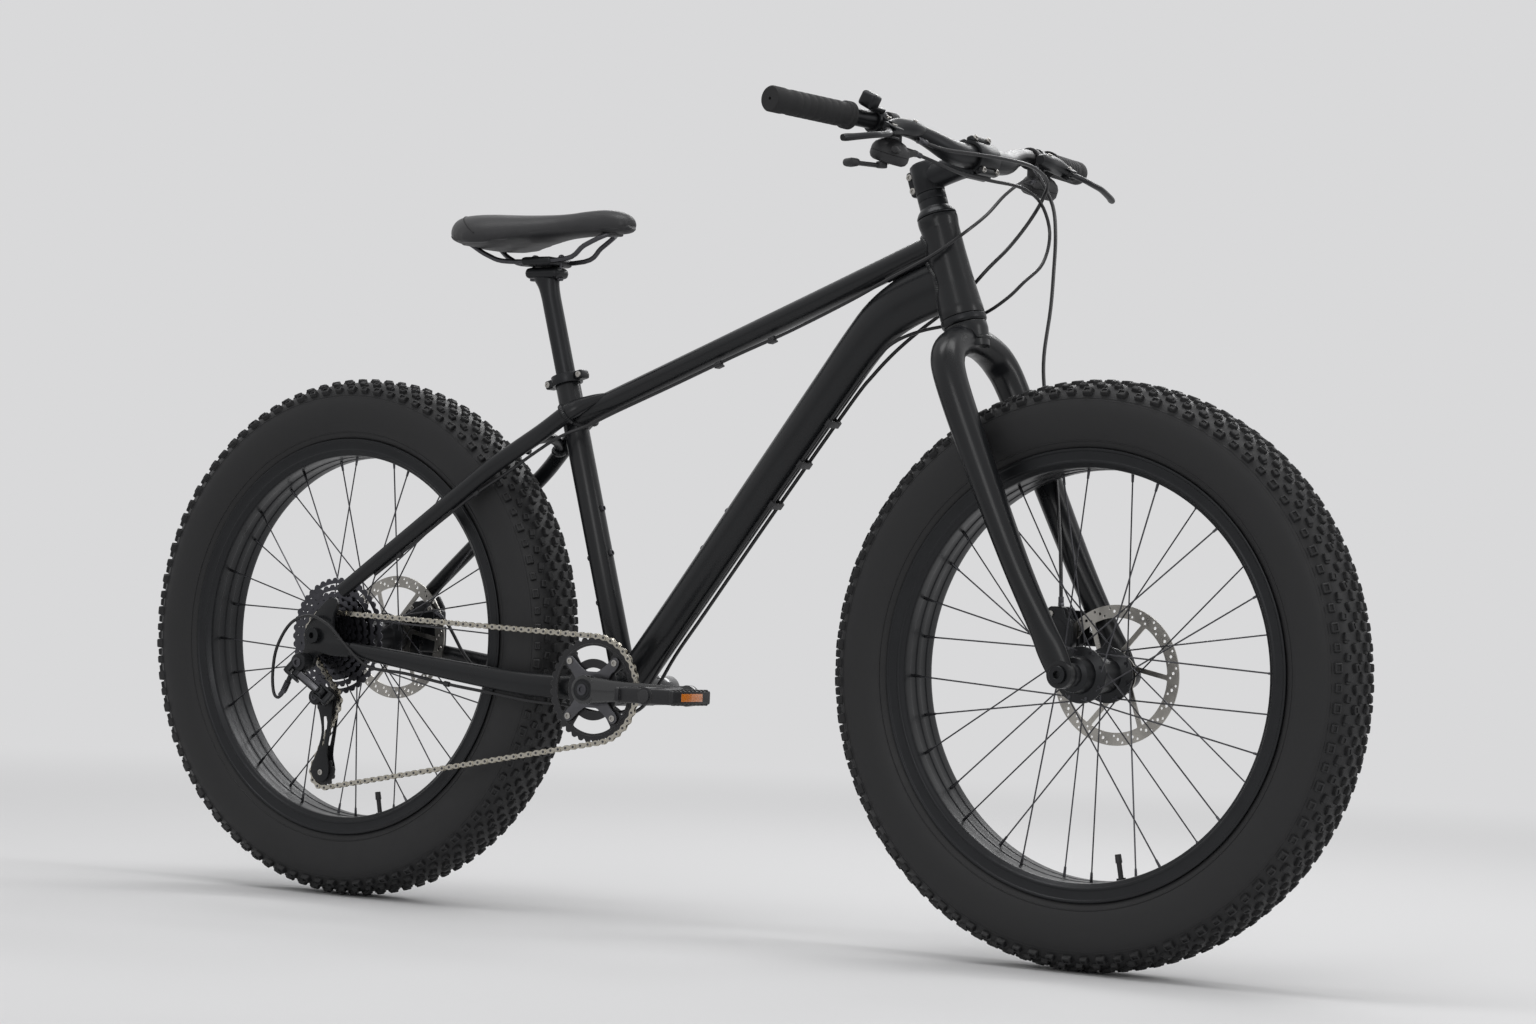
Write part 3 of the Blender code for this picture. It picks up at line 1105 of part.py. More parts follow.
def chain_route():
    """Points along the chain's pitch line: ring, tension pulley, guide pulley and cog."""
    cog_centre = Vector((REAR_AXLE.x, cog_y(CHAIN_COG), REAR_AXLE.z))
    ring_centre = Vector((BRACKET.x, RING_Y, BRACKET.z))
    wheels = [(ring_centre, cog_radius(RING_TEETH), -1, 11),
              (TENSION_CENTRE, cog_radius(PULLEY_TEETH), -1, 7),
              (GUIDE_CENTRE, cog_radius(PULLEY_TEETH), 1, 5),
              (cog_centre, cog_radius(COG_TEETH[CHAIN_COG]), -1, 8)]
    tangents = []
    for index, (centre, radius, sense, _) in enumerate(wheels):
        after, after_radius, after_sense, _ = wheels[(index + 1) % len(wheels)]
        span_x, span_z = after.x - centre.x, after.z - centre.z
        distance = math.hypot(span_x, span_z)
        heading = math.atan2(span_z, span_x)
        swing = -math.asin((after_sense * after_radius - sense * radius) / distance)
        direction = heading + swing
        tangents.append((direction - sense * math.pi / 2, direction - after_sense * math.pi / 2))
    points = []
    for index, (centre, radius, sense, steps) in enumerate(wheels):
        arrive = tangents[index - 1][1]
        leave = tangents[index][0]
        sweep = (leave - arrive) * sense % (2 * math.pi)
        for step in range(steps + 1):
            angle = arrive + sense * sweep * step / steps
            points.append(Vector((centre.x + radius * math.cos(angle), centre.y,
                                  centre.z + radius * math.sin(angle))))
    return points


def build_chain():
    """An H section along the chain's route: side plates and the rollers' line between them."""
    route = chain_route()
    web, half, slot, wide = CHAIN_WEB_HALF, CHAIN_HALF_HEIGHT, CHAIN_SLOT_HALF, CHAIN_HALF_WIDTH
    section = [(wide, -half), (wide, half), (slot, half), (slot, web), (-slot, web), (-slot, half),
               (-wide, half), (-wide, -half), (-slot, -half), (-slot, -web), (slot, -web),
               (slot, -half)]
    shape = bmesh.new()
    rings = []
    count = len(route)
    for index, centre in enumerate(route):
        before, after = route[index - 1], route[(index + 1) % count]
        back = (centre - before).normalized()
        on = (after - centre).normalized()
        ahead = (back + on).normalized()
        up = Vector((-ahead.z, 0, ahead.x)).normalized()
        rings.append([shape.verts.new(centre + Vector((0, y, 0)) + up * z) for y, z in section])
    for index, ring in enumerate(rings):
        following = rings[(index + 1) % count]
        for step in range(len(section)):
            after = (step + 1) % len(section)
            shape.faces.new((ring[step], ring[after], following[after], following[step]))
    bmesh.ops.recalc_face_normals(shape, faces=shape.faces)
    mesh = bpy.data.meshes.new("chain")
    shape.to_mesh(mesh)
    shape.free()
    finish(add_object("chain", mesh), "chain", "nickel_chain")


def build_calipers(axis):
    for label, wheel, middle_y, offset, size, parent in (
            ("front", FRONT_AXLE, FRONT_ROTOR_Y, (-0.0800, 0.0550), (0.0460, 0.0340, 0.0600), axis),
            ("rear", REAR_AXLE, REAR_ROTOR_Y, (0.0560, 0.0370), (0.0500, 0.0280, 0.0340), None)):
        centre = Vector((wheel.x + offset[0], middle_y, wheel.z + offset[1]))
        body = box("body", size, centre, bevel=0.004)
        slot = across("slot", Vector((wheel.x, middle_y, wheel.z)),
                      [(0, 0.0016), (ROTOR_RADIUS + 0.003, 0.0016), (ROTOR_RADIUS + 0.003, -0.0016),
                       (0, -0.0016)], 32)
        cut(body, slot)
        finish(body, label + "_brake_caliper", "anodised_black", parent)


def thinned(path, tolerance):
    """The path without the points that lie within the tolerance of a straight run."""
    if len(path) < 3:
        return path
    start, end = path[0], path[-1]
    along = (end - start).normalized()
    offsets = [((point - start) - along * (point - start).dot(along)).length for point in path]
    widest = max(range(len(path)), key=offsets.__getitem__)
    if offsets[widest] <= tolerance:
        return [start, end]
    return thinned(path[:widest + 1], tolerance)[:-1] + thinned(path[widest:], tolerance)


def hose(name, points, spans, radius, axis=None):
    path = thinned(smooth_path(points, spans), 0.0014)
    finish(tube(name, path, radius, 1), name, "hose_plastic", axis)


FRONT_HOSE = [(0.4060, 0.1480, 1.0400), (0.4180, 0.1400, 1.0260), (0.4330, 0.1500, 0.9900),
              (0.4390, 0.1500, 0.9500), (0.4440, 0.1400, 0.9000), (0.4500, 0.1250, 0.8500),
              (0.4570, 0.1000, 0.7860), (0.4670, 0.0880, 0.7380), (0.4840, 0.0790, 0.6800),
              (0.5000, 0.0690, 0.6240), (0.5100, 0.0610, 0.5820), (0.5160, 0.0575, 0.5450),
              (0.5195, 0.0565, 0.5000), (0.5210, 0.0575, 0.4597)]
REAR_HOSE = [(0.4060, -0.1480, 1.0400), (0.4200, -0.1150, 1.0330), (0.4400, -0.0600, 1.0320),
             (0.4520, 0.0000, 1.0320), (0.4560, 0.0550, 1.0290), (0.4520, 0.1000, 1.0160),
             (0.4380, 0.1150, 0.9960), (0.4290, 0.0950, 0.9620), (0.4200, 0.0620, 0.9260),
             (0.4020, 0.0400, 0.8960), (0.3740, 0.0330, 0.8640), (0.3420, 0.0300, 0.8380),
             (0.3080, 0.0260, 0.8130), (0.2780, 0.0170, 0.7850), (0.2500, 0.0100, 0.7540),
             (0.2167, 0.0100, 0.7165), (0.0998, 0.0100, 0.5675), (-0.0062, 0.0100, 0.4295),
             (-0.0520, 0.0100, 0.3700), (-0.0880, 0.0110, 0.3150), (-0.1160, 0.0140, 0.2910),
             (-0.1500, 0.0260, 0.2870), (-0.1850, 0.0460, 0.2950), (-0.2400, 0.0640, 0.2985),
             (-0.3000, 0.0710, 0.3060), (-0.3800, 0.0765, 0.3160), (-0.4150, 0.0755, 0.3220),
             (-0.4450, 0.0710, 0.3340), (-0.4700, 0.0700, 0.3550), (-0.4890, 0.0700, 0.3800),
             (-0.5050, 0.0700, 0.4000), (-0.5226, 0.0700, 0.4110)]
SHIFT_HOUSING = [(0.4014, -0.1512, 1.0236), (0.4080, -0.1200, 1.0180), (0.4150, -0.0600, 1.0090),
                 (0.4250, 0.0000, 1.0060), (0.4350, 0.0600, 1.0040), (0.4430, 0.1000, 0.9880),
                 (0.4500, 0.1150, 0.9500), (0.4530, 0.0950, 0.9080), (0.4460, 0.0600, 0.8800),
                 (0.4300, 0.0460, 0.8580), (0.4000, 0.0380, 0.8370), (0.3620, 0.0270, 0.8230),
                 (0.3216, 0.0080, 0.8120), (0.2914, -0.0080, 0.7960), (0.2637, -0.0090, 0.7720),
                 (0.2167, -0.0090, 0.7165), (0.0998, -0.0090, 0.5675), (-0.0062, -0.0090, 0.4295)]
REAR_HOUSING = [(-0.0066, -0.0090, 0.4290), (-0.0520, -0.0090, 0.3700), (-0.0880, -0.0110, 0.3150),
                (-0.1160, -0.0140, 0.2910), (-0.1500, -0.0260, 0.2870), (-0.1850, -0.0460, 0.2950),
                (-0.2400, -0.0640, 0.2985), (-0.3000, -0.0710, 0.3060), (-0.3800, -0.0770, 0.3155),
                (-0.4500, -0.0850, 0.3270), (-0.5050, -0.1000, 0.3340), (-0.5400, -0.1100, 0.3620),
                (-0.5700, -0.1130, 0.3900), (-0.6050, -0.1150, 0.4020), (-0.6400, -0.1150, 0.3900),
                (-0.6650, -0.1140, 0.3550), (-0.6720, -0.1130, 0.3180), (-0.6690, -0.1125, 0.2900),
                (-0.6600, -0.1120, 0.2830), (-0.6482, -0.1137, 0.2942)]
SIDE_HOUSING = [(0.4014, 0.1512, 1.0236), (0.4040, 0.1200, 1.0200), (0.4060, 0.0700, 0.9960),
                (0.4060, 0.0250, 0.9650), (0.3980, -0.0150, 0.9380), (0.3700, -0.0350, 0.9110),
                (0.3350, -0.0300, 0.8960), (0.2900, -0.0270, 0.8770), (0.2252, -0.0180, 0.8500),
                (0.1300, -0.0120, 0.8120), (0.0422, -0.0120, 0.7790), (-0.0600, -0.0120, 0.7385),
                (-0.1472, -0.0130, 0.7045), (-0.1900, -0.0250, 0.6830), (-0.2250, -0.0420, 0.6660),
                (-0.2650, -0.0440, 0.6440), (-0.3050, -0.0540, 0.6150), (-0.3500, -0.0660, 0.5840),
                (-0.4000, -0.0735, 0.5475), (-0.4700, -0.0830, 0.4940), (-0.5100, -0.0885, 0.4640)]


def build_hoses(axis):
    hose("front_brake_hose", FRONT_HOSE, 3, HOSE_RADIUS, axis)
    hose("rear_brake_hose", REAR_HOSE, 3, HOSE_RADIUS)
    hose("derailleur_housing_front", SHIFT_HOUSING, 3, HOSE_RADIUS - 0.0002)
    hose("derailleur_housing_rear", REAR_HOUSING, 3, HOSE_RADIUS - 0.0002)
    hose("left_pod_housing", SIDE_HOUSING, 3, HOSE_RADIUS - 0.0002)


def link_axis_direction():
    """The parallelogram's pivot direction: it swings inboard and down."""
    along = (LINK_END - LINK_START).normalized()
    travel = Vector((0.05, 0.82, -0.55))
    return along.cross(travel).normalized()


def main():
    clear_scene()
    group = bpy.data.collections.new("fat_tyre_bicycle")
    bpy.context.scene.collection.children.link(group)
    make_surfaces()

    leftward = Vector((0, 1, 0))
    steering = joint_axis("steering_axis", HEAD_TOP, -STEER_DOWN)
    front_spin = joint_axis("front_wheel_axis", FRONT_AXLE, leftward, steering)
    rear_spin = joint_axis("rear_wheel_axis", REAR_AXLE, leftward)
    cassette_spin = joint_axis("cassette_axis", REAR_AXLE, leftward)
    crank_spin = joint_axis("crank_axis", BRACKET, leftward)
    pedals = []
    for side, label in ((-1, "right"), (1, "left")):
        centre = BRACKET + Vector((-side * CRANK_LENGTH, side * PEDAL_Y, 0))
        pedals.append(joint_axis("pedal_axis_" + label, centre, leftward, crank_spin))
    seat_slide = joint_axis("seatpost_axis", BRACKET + SEAT_UP * SEAT_TUBE_LENGTH, SEAT_UP)

    axes = {"knuckle": joint_axis("derailleur_b_axis", derailleur_pivot(), leftward)}
    axes["link"] = joint_axis("derailleur_link_axis", LINK_START, link_axis_direction(),
                              axes["knuckle"])
    axes["p_knuckle"] = joint_axis("derailleur_p_axis", LINK_END, link_axis_direction(),
                                   axes["link"])
    axes["cage"] = joint_axis("cage_axis", P_AXIS, leftward, axes["p_knuckle"])
    axes["guide"] = joint_axis("guide_pulley_axis", GUIDE_CENTRE, leftward, axes["cage"])
    axes["tension"] = joint_axis("tension_pulley_axis", TENSION_CENTRE, leftward, axes["cage"])

    build_main_frame()
    build_rear_triangle()
    build_seat(seat_slide)
    build_fork(steering)
    build_cockpit(steering)
    build_front_wheel(front_spin)
    build_rear_wheel(rear_spin)
    build_cassette(cassette_spin)
    build_cranks(crank_spin, pedals)
    build_derailleur(axes)
    build_chain()
    build_calipers(steering)
    build_hoses(steering)


main()
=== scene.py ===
"""Looks of a fat tyre bicycle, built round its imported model.

Metres, +Z up, +X forward and +Y to the rider's left, as in the part's source. Each operator
makes one piece or a group of like pieces, and main() runs them in order.
"""

from math import asin, atan, atan2, copysign, cos, hypot, pi, radians, sin, sqrt

import bmesh
import bpy
from mathutils import Matrix, Vector
from mathutils.bvhtree import BVHTree


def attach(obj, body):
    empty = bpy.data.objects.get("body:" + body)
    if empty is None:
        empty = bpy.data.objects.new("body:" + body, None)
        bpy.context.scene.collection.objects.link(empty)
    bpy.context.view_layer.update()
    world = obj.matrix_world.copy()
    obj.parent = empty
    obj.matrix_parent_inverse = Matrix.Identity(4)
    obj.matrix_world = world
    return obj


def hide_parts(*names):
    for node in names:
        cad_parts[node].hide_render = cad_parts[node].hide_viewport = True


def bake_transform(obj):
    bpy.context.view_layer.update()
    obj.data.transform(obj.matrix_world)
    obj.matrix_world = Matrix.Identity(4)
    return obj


bl_info = {"name": "Fat tyre bicycle", "version": (1, 0, 0), "blender": (4, 5, 0),
    "location": "3D View > Sidebar > Bicycle",
    "description": "Builds the looks of a fat tyre bicycle round its packed model", "category": "Object",}

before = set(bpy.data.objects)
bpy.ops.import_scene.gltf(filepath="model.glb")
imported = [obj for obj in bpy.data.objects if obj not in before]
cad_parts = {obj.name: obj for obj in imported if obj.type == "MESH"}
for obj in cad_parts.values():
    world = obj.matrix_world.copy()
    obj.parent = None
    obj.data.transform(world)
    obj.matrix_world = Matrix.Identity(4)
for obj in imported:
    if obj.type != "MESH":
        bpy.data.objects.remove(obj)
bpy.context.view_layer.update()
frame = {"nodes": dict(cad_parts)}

# Camera, matched to the photograph
CAMERA_PLACE = Vector((2.7911, -3.992, 0.4625))
CAMERA_YAW = radians(124.005)
CAMERA_PITCH = radians(1.274)
CAMERA_ROLL = radians(2.314)
CAMERA_LENS = 84.0
SENSOR_WIDTH = 36.0

# The part's own dimensions, repeated from its source
TYRE_RADIUS = 0.374
TYRE_HALF_WIDTH = 0.0492
SPOKE_COUNT = 32
SPOKE_CROSSING = radians(62)
ROTOR_RADIUS = 0.09
ROTOR_THICKNESS = 0.0018
FRONT_ROTOR_Y = 0.058
REAR_ROTOR_Y = 0.0795
FRONT_AXLE = Vector((0.605, 0.0, TYRE_RADIUS))
REAR_AXLE = Vector((-0.605, 0.0, TYRE_RADIUS))
HEAD_ANGLE = radians(71.0)
HEAD_TOP = Vector((0.3457, 0.0, 0.9602))
SEAT_ANGLE = radians(73.7)
SEAT_TUBE_RADIUS = 0.01745
SEATPOST_RADIUS = 0.0136
BRACKET = Vector((-0.125, 0.0, 0.32))
BRACKET_RADIUS = 0.0225
DROPOUT_Y = 0.099
STEM_LENGTH = 0.08
STEM_HEIGHT = 0.052
BAR_RADIUS = 0.0159
BAR_TIP_RADIUS = 0.0111
PITCH = 0.0127
RING_TEETH = 36
RING_Y = -0.0765
COG_TEETH = (11, 13, 15, 17, 19, 21, 24, 28, 32, 37, 42)
CHAIN_COG = 3
COG_SPACING = 0.0038
FIRST_COG_Y = -0.0905
PULLEY_TEETH = 11
CRANK_LENGTH = 0.175
PEDAL_Y = 0.16

LEFTWARD = Vector((0, 1, 0))
UPWARD = Vector((0, 0, 1))
STEER_DOWN = Vector((cos(HEAD_ANGLE), 0.0, -sin(HEAD_ANGLE)))
STEER_AHEAD = Vector((sin(HEAD_ANGLE), 0.0, cos(HEAD_ANGLE)))
SEAT_UP = Vector((-cos(SEAT_ANGLE), 0.0, sin(SEAT_ANGLE)))
ACROSS = Matrix.Rotation(radians(-90), 4, "X")
STEER_TURN = Matrix.Rotation(HEAD_ANGLE - pi / 2, 4, "Y")
SEAT_TURN = Matrix.Rotation(SEAT_ANGLE - pi / 2, 4, "Y")
ALONG_STEERER = Matrix.Translation(HEAD_TOP) @ STEER_TURN
ALONG_SEAT = Matrix.Translation(BRACKET) @ SEAT_TURN


# Finishes, each named after what it is made of
COAT = "satin_powder_coat"
ANODISED = "black_anodised_aluminium"
SPIDER_METAL = "spider_anodising"
LACQUER = "gloss_black_lacquer"
WORN_ALLOY = "edge_worn_black_alloy"
RUBBER = "vulcanised_tyre_rubber"
COG_STEEL = "phosphated_cog_steel"
CHAIN_NICKEL = "nickel_plated_chain"
COVER = "pebbled_saddle_cover"
GRIP_RUBBER = "moulded_grip_rubber"
JACKET = "extruded_hose_jacket"
NYLON = "glass_filled_nylon"
DARK_STEEL = "blackened_fasteners"
PLATED = "plated_fasteners"
REFLECTOR = "amber_reflector"

SIDES = ((-1, "right"), (1, "left"))
SHELL_COPE = (BRACKET, LEFTWARD, BRACKET_RADIUS)
SOCKET_SHARE = 0.55             # of a bolt head's width
WELD_GAP = 1e-6                 # points nearer than this are one


def srgb(text):
    """Linear red, green and blue of an sRGB hex colour."""
    parts = [int(text[start:start + 2], 16) / 255 for start in (0, 2, 4)]
    return tuple(part / 12.92 if part <= 0.04045 else ((part + 0.055) / 1.055) ** 2.4 for part in parts)


def paler(colour, share):
    return tuple(value * share for value in colour)


def add_node(tree, kind, settings=None, links=None):
    """Adds one node; settings name its sockets or properties, links name its sockets."""
    item = tree.nodes.new(kind)
    for key, value in (settings or {}).items():
        if isinstance(key, int) or key in item.inputs:
            item.inputs[key].default_value = value
        else:
            setattr(item, key, value)
    for key, source in (links or {}).items():
        tree.links.new(source, item.inputs[key])
    return item


def new_surface(name, sockets):
    """A material with constant sockets set; returns its tree, shader and coordinates too."""
    surface = bpy.data.materials.new(name)
    surface.use_nodes = True
    tree = surface.node_tree
    shader = tree.nodes["Principled BSDF"]
    for key, value in sockets.items():
        shader.inputs[key].default_value = value
    return surface, tree, shader, add_node(tree, "ShaderNodeTexCoord").outputs["Object"]


def noise(tree, place, scale, detail, **settings):
    return add_node(tree, "ShaderNodeTexNoise", {"Scale": scale, "Detail": detail, **settings},
        {"Vector": place}).outputs["Fac"]


def ranged(tree, value, source, target, **settings):
    """A value carried from one range to another."""
    sockets = dict(zip(("From Min", "From Max", "To Min", "To Max"), (*source, *target)))
    return add_node(tree, "ShaderNodeMapRange", {**sockets, **settings},
        {"Value": value}).outputs["Result"]


def mottled(tree, shader, place, colours, patch_mm, roughness):
    """Base colour and roughness drift together in patches of the given size."""
    patches = noise(tree, place, 1000 / patch_mm, 5.0, Roughness=0.6)
    colour = add_node(tree, "ShaderNodeMix", {"data_type": "RGBA", 6: (*colours[0], 1),
        7: (*colours[1], 1)}, {0: patches})
    rough = ranged(tree, patches, (0.3, 0.7), roughness)
    tree.links.new(colour.outputs[2], shader.inputs["Base Color"])
    tree.links.new(rough, shader.inputs["Roughness"])
    return colour


def grain_bump(tree, shader, height, depth_mm, strength=1.0):
    """Lifts the surface by a pattern's value times a real depth."""
    bump = add_node(tree, "ShaderNodeBump", {"Distance": depth_mm / 1000, "Strength": strength},
        {"Height": height})
    tree.links.new(bump.outputs["Normal"], shader.inputs["Normal"])


def coated(name, colours, roughness, grain_mm, depth_mm, patch_mm=45.0, **sockets):
    """A coat or moulded skin: patches of two tones with a fine, even grain."""
    surface, tree, shader, place = new_surface(name, sockets)
    mottled(tree, shader, place, colours, patch_mm, roughness)
    grain_bump(tree, shader, noise(tree, place, 1000 / grain_mm, 3.0), depth_mm)
    return surface


def pebbled(name, colours, roughness, cell_mm, depth_mm, **sockets):
    """A skin of small rounded cells, as on vinyl and soft rubber."""
    surface, tree, shader, place = new_surface(name, sockets)
    mottled(tree, shader, place, colours, 60.0, roughness)
    cells = add_node(tree, "ShaderNodeTexVoronoi", {"Scale": 1000 / cell_mm, "feature": "F1"},
        {"Vector": place})
    grain_bump(tree, shader, cells.outputs["Distance"], -depth_mm)
    return surface


def machined(name, centre, colours, roughness, groove_mm, **sockets):
    """A turned or ground metal face: fine rings round an axis that runs across the bicycle."""
    surface, tree, shader, place = new_surface(name, {"Metallic": 1.0, **sockets})
    centred = add_node(tree, "ShaderNodeMapping", {"Location": [-value for value in centre]},
        {"Vector": place}).outputs["Vector"]
    mottled(tree, shader, centred, colours, 12.0, roughness)
    rings = add_node(tree, "ShaderNodeTexWave", {"wave_type": "RINGS", "rings_direction": "Y",
        "Scale": 160 / groove_mm, "Distortion": 1.5, "Detail": 2.0, "Detail Scale": 40.0},
        {"Vector": centred})
    grain_bump(tree, shader, rings.outputs["Fac"], 0.02, 0.6)
    return surface


def edge_worn(name, colours, bare, roughness, grain_mm, **sockets):
    """A coat rubbed through to the metal where edges stand out."""
    surface, tree, shader, place = new_surface(name, sockets)
    colour = mottled(tree, shader, place, colours, 30.0, roughness)
    round_normal = add_node(tree, "ShaderNodeBevel", {"samples": 4, "Radius": 0.0007})
    flat_normal = add_node(tree, "ShaderNodeNewGeometry")
    turn = add_node(tree, "ShaderNodeVectorMath", {"operation": "DOT_PRODUCT"},
        {0: round_normal.outputs["Normal"], 1: flat_normal.outputs["Normal"]})
    limit = ranged(tree, noise(tree, place, 180.0, 4.0), (0.35, 0.75), (0.8, 0.97))
    sharpness = add_node(tree, "ShaderNodeMath", {"operation": "SUBTRACT"},
        {0: limit, 1: turn.outputs["Value"]})
    rubbed = ranged(tree, sharpness.outputs[0], (0.0, 0.03), (0.0, 0.55))
    mixed = add_node(tree, "ShaderNodeMix", {"data_type": "RGBA", 7: (*bare, 1)},
        {0: rubbed, 6: colour.outputs[2]})
    tree.links.new(mixed.outputs[2], shader.inputs["Base Color"])
    grain_bump(tree, shader, noise(tree, place, 1000 / grain_mm, 2.0), 0.03)
    return surface


def smoothed(rows, spans):
    """Rows of numbers along a Catmull-Rom curve through the given rows."""
    rows = [Vector(row) for row in rows]
    ends = [2 * rows[0] - rows[1]] + rows + [2 * rows[-1] - rows[-2]]
    path = []
    for index in range(1, len(ends) - 2):
        before, start, end, after = ends[index - 1:index + 3]
        for step in range(spans):
            t = step / spans
            path.append(0.5 * (2 * start + (end - before) * t + (2 * before - 5 * start + 4 * end - after)
                * t ** 2 + (3 * start - before - 3 * end + after) * t ** 3))
    path.append(rows[-1])
    return path


def rounded(points, radius, steps=3):
    """A closed (x, y) outline with an arc of the given radius at each corner."""
    outline = []
    count = len(points)
    for index, point in enumerate(points):
        corner = Vector(point[:2])
        back = Vector(points[index - 1][:2]) - corner
        on = Vector(points[(index + 1) % count][:2]) - corner
        reach = min(radius, back.length * 0.45, on.length * 0.45)
        start, end = corner + back.normalized() * reach, corner + on.normalized() * reach
        for step in range(steps + 1):
            t = step / steps
            outline.append(tuple(start * (1 - t) ** 2 + corner * 2 * t * (1 - t) + end * t ** 2))
    return outline


def joined(*parts):
    """One shape from several, which are used up."""
    whole = bmesh.new()
    carrier = bpy.data.meshes.new("carrier")
    for part in parts:
        part.to_mesh(carrier)
        part.free()
        whole.from_mesh(carrier)
    bpy.data.meshes.remove(carrier)
    return whole


def copies(part, places):
    """Copies of a part at each of the places; the part is used up."""
    whole = bmesh.new()
    for place in places:
        carrier = bpy.data.meshes.new("carrier")
        part.to_mesh(carrier)
        carrier.transform(place)
        whole.from_mesh(carrier)
        bpy.data.meshes.remove(carrier)
    part.free()
    return whole


def axes(x, y, z):
    """The turn whose local axes point along the given ones."""
    return Matrix((x, y, z)).transposed().to_4x4()


def facing(start, direction):
    """A place at start whose local Z looks along the direction."""
    return Matrix.Translation(start) @ direction.to_track_quat("Z", "Y").to_matrix().to_4x4()


def placed(shape, place):
    """The shape with its faces turned outwards, moved to its place."""
    bmesh.ops.recalc_face_normals(shape, faces=shape.faces)
    bmesh.ops.transform(shape, matrix=place, verts=shape.verts)
    return shape


def turned(profile, steps, place=Matrix()):
    """A form turned about local Z from (radius, height) points, closed or ending on the axis."""
    shape = bmesh.new()
    corners = [shape.verts.new((radius, 0, height)) for radius, height in profile]
    edges = [shape.edges.new(pair) for pair in zip(corners, corners[1:])]
    if profile[0][0] > 0 or profile[-1][0] > 0:
        edges.append(shape.edges.new((corners[-1], corners[0])))
    bmesh.ops.spin(shape, geom=corners + edges, cent=(0, 0, 0), axis=(0, 0, 1), angle=2 * pi, steps=steps,
        use_merge=True, use_duplicate=False)
    bmesh.ops.remove_doubles(shape, verts=shape.verts, dist=WELD_GAP)
    return placed(shape, place)


def disc(radius, low, high, steps=32, edge=0.0006, place=Matrix()):
    """A solid turned disc or short rod with rounded rims."""
    return turned([(0, low), (radius - edge, low), (radius - edge * 0.3, low + edge * 0.3),
        (radius, low + edge), (radius, high - edge), (radius - edge * 0.3, high - edge * 0.3),
        (radius - edge, high), (0, high)], steps, place)


def rod(start, end, radius, steps=16, edge=0.0004):
    """A cylinder between two points."""
    return disc(radius, 0.0, (end - start).length, steps, edge, facing(start, end - start))


def ring(inner, outer, low, high, steps=40, edge=0.0005, place=Matrix()):
    """A turned ring with rounded edges."""
    outline = rounded([(inner, low), (outer, low), (outer, high), (inner, high)], edge, 2)
    return turned(outline, steps, place)


def block(size, centre, turn=Matrix(), bevel=0.0015, segments=3):
    """A block with rounded edges."""
    shape = bmesh.new()
    bmesh.ops.create_cube(shape, size=1.0)
    bmesh.ops.scale(shape, verts=shape.verts, vec=size)
    bmesh.ops.bevel(shape, geom=shape.edges, offset=bevel, segments=segments, profile=0.5, affect="EDGES",
        material=-1)
    bmesh.ops.transform(shape, matrix=Matrix.Translation(centre) @ turn, verts=shape.verts)
    return shape


def new_line(curve, points, sizes=None, cyclic=True):
    """Adds a straight-sided line to a curve, with a radius for each point where given."""
    spline = curve.splines.new("POLY")
    spline.points.add(len(points) - 1)
    spline.use_cyclic_u = cyclic
    for index, (point, place) in enumerate(zip(spline.points, points)):
        point.co = (*place, 1.0)
        if sizes:
            point.radius = sizes[index]


def plate(outlines, thickness, place=Matrix(), edge=0.0, edge_steps=1):
    """A flat plate from (x, y) outlines, the first its rim and the rest its holes."""
    curve = bpy.data.curves.new("outline", "CURVE")
    curve.dimensions = "2D"
    curve.fill_mode = "BOTH"
    curve.extrude = thickness / 2 - edge
    curve.bevel_depth = edge
    curve.bevel_resolution = edge_steps
    curve.offset = -edge
    for outline in outlines:
        new_line(curve, [(*point, 0.0) for point in outline])
    return from_curve(curve, place)


def linked(name, data):
    """A new object in the scene."""
    item = bpy.data.objects.new(name, data)
    bpy.context.scene.collection.objects.link(item)
    return item


def from_curve(curve, place=Matrix()):
    """A shape from a curve's own mesh, welded and put in its place."""
    item = linked("curve", curve)
    mesh = bpy.data.meshes.new_from_object(item.evaluated_get(bpy.context.evaluated_depsgraph_get()))
    shape = bmesh.new()
    shape.from_mesh(mesh)
    bpy.data.objects.remove(item, do_unlink=True)
    bpy.data.curves.remove(curve)
    bpy.data.meshes.remove(mesh)
    bmesh.ops.remove_doubles(shape, verts=shape.verts, dist=WELD_GAP)
    return placed(shape, place)


def tube(path, radii, resolution=3, cyclic=False):
    """A round tube along a path, with one radius or one for each point."""
    curve = bpy.data.curves.new("tube", "CURVE")
    curve.dimensions = "3D"
    curve.bevel_depth = 1.0
    curve.bevel_resolution = resolution
    curve.use_fill_caps = not cyclic
    new_line(curve, path, radii if isinstance(radii, list) else [radii] * len(path), cyclic)
    return from_curve(curve)


def section_place(path, index, high, wide, reference):
    """The place of an oval section: local X is its half width and local Y its half height."""
    ahead = (path[min(index + 1, len(path) - 1)] - path[max(index - 1, 0)]).normalized()
    side = (reference - ahead * ahead.dot(reference)).normalized()
    up = side.cross(ahead)
    return Matrix.Translation(path[index]) @ axes(side * wide, up * high, -ahead), ahead


def entry(point, heading, cope):
    """How far a point travels along the heading until it enters the cope's cylinder."""
    start, axis, radius = cope
    offset = point - start
    offset = offset - axis * offset.dot(axis)
    slope = heading - axis * heading.dot(axis)
    a, b, c = slope.length_squared, offset.dot(slope), offset.length_squared - radius ** 2
    return (-b - sqrt(max(b * b - a * c, 0.0))) / a


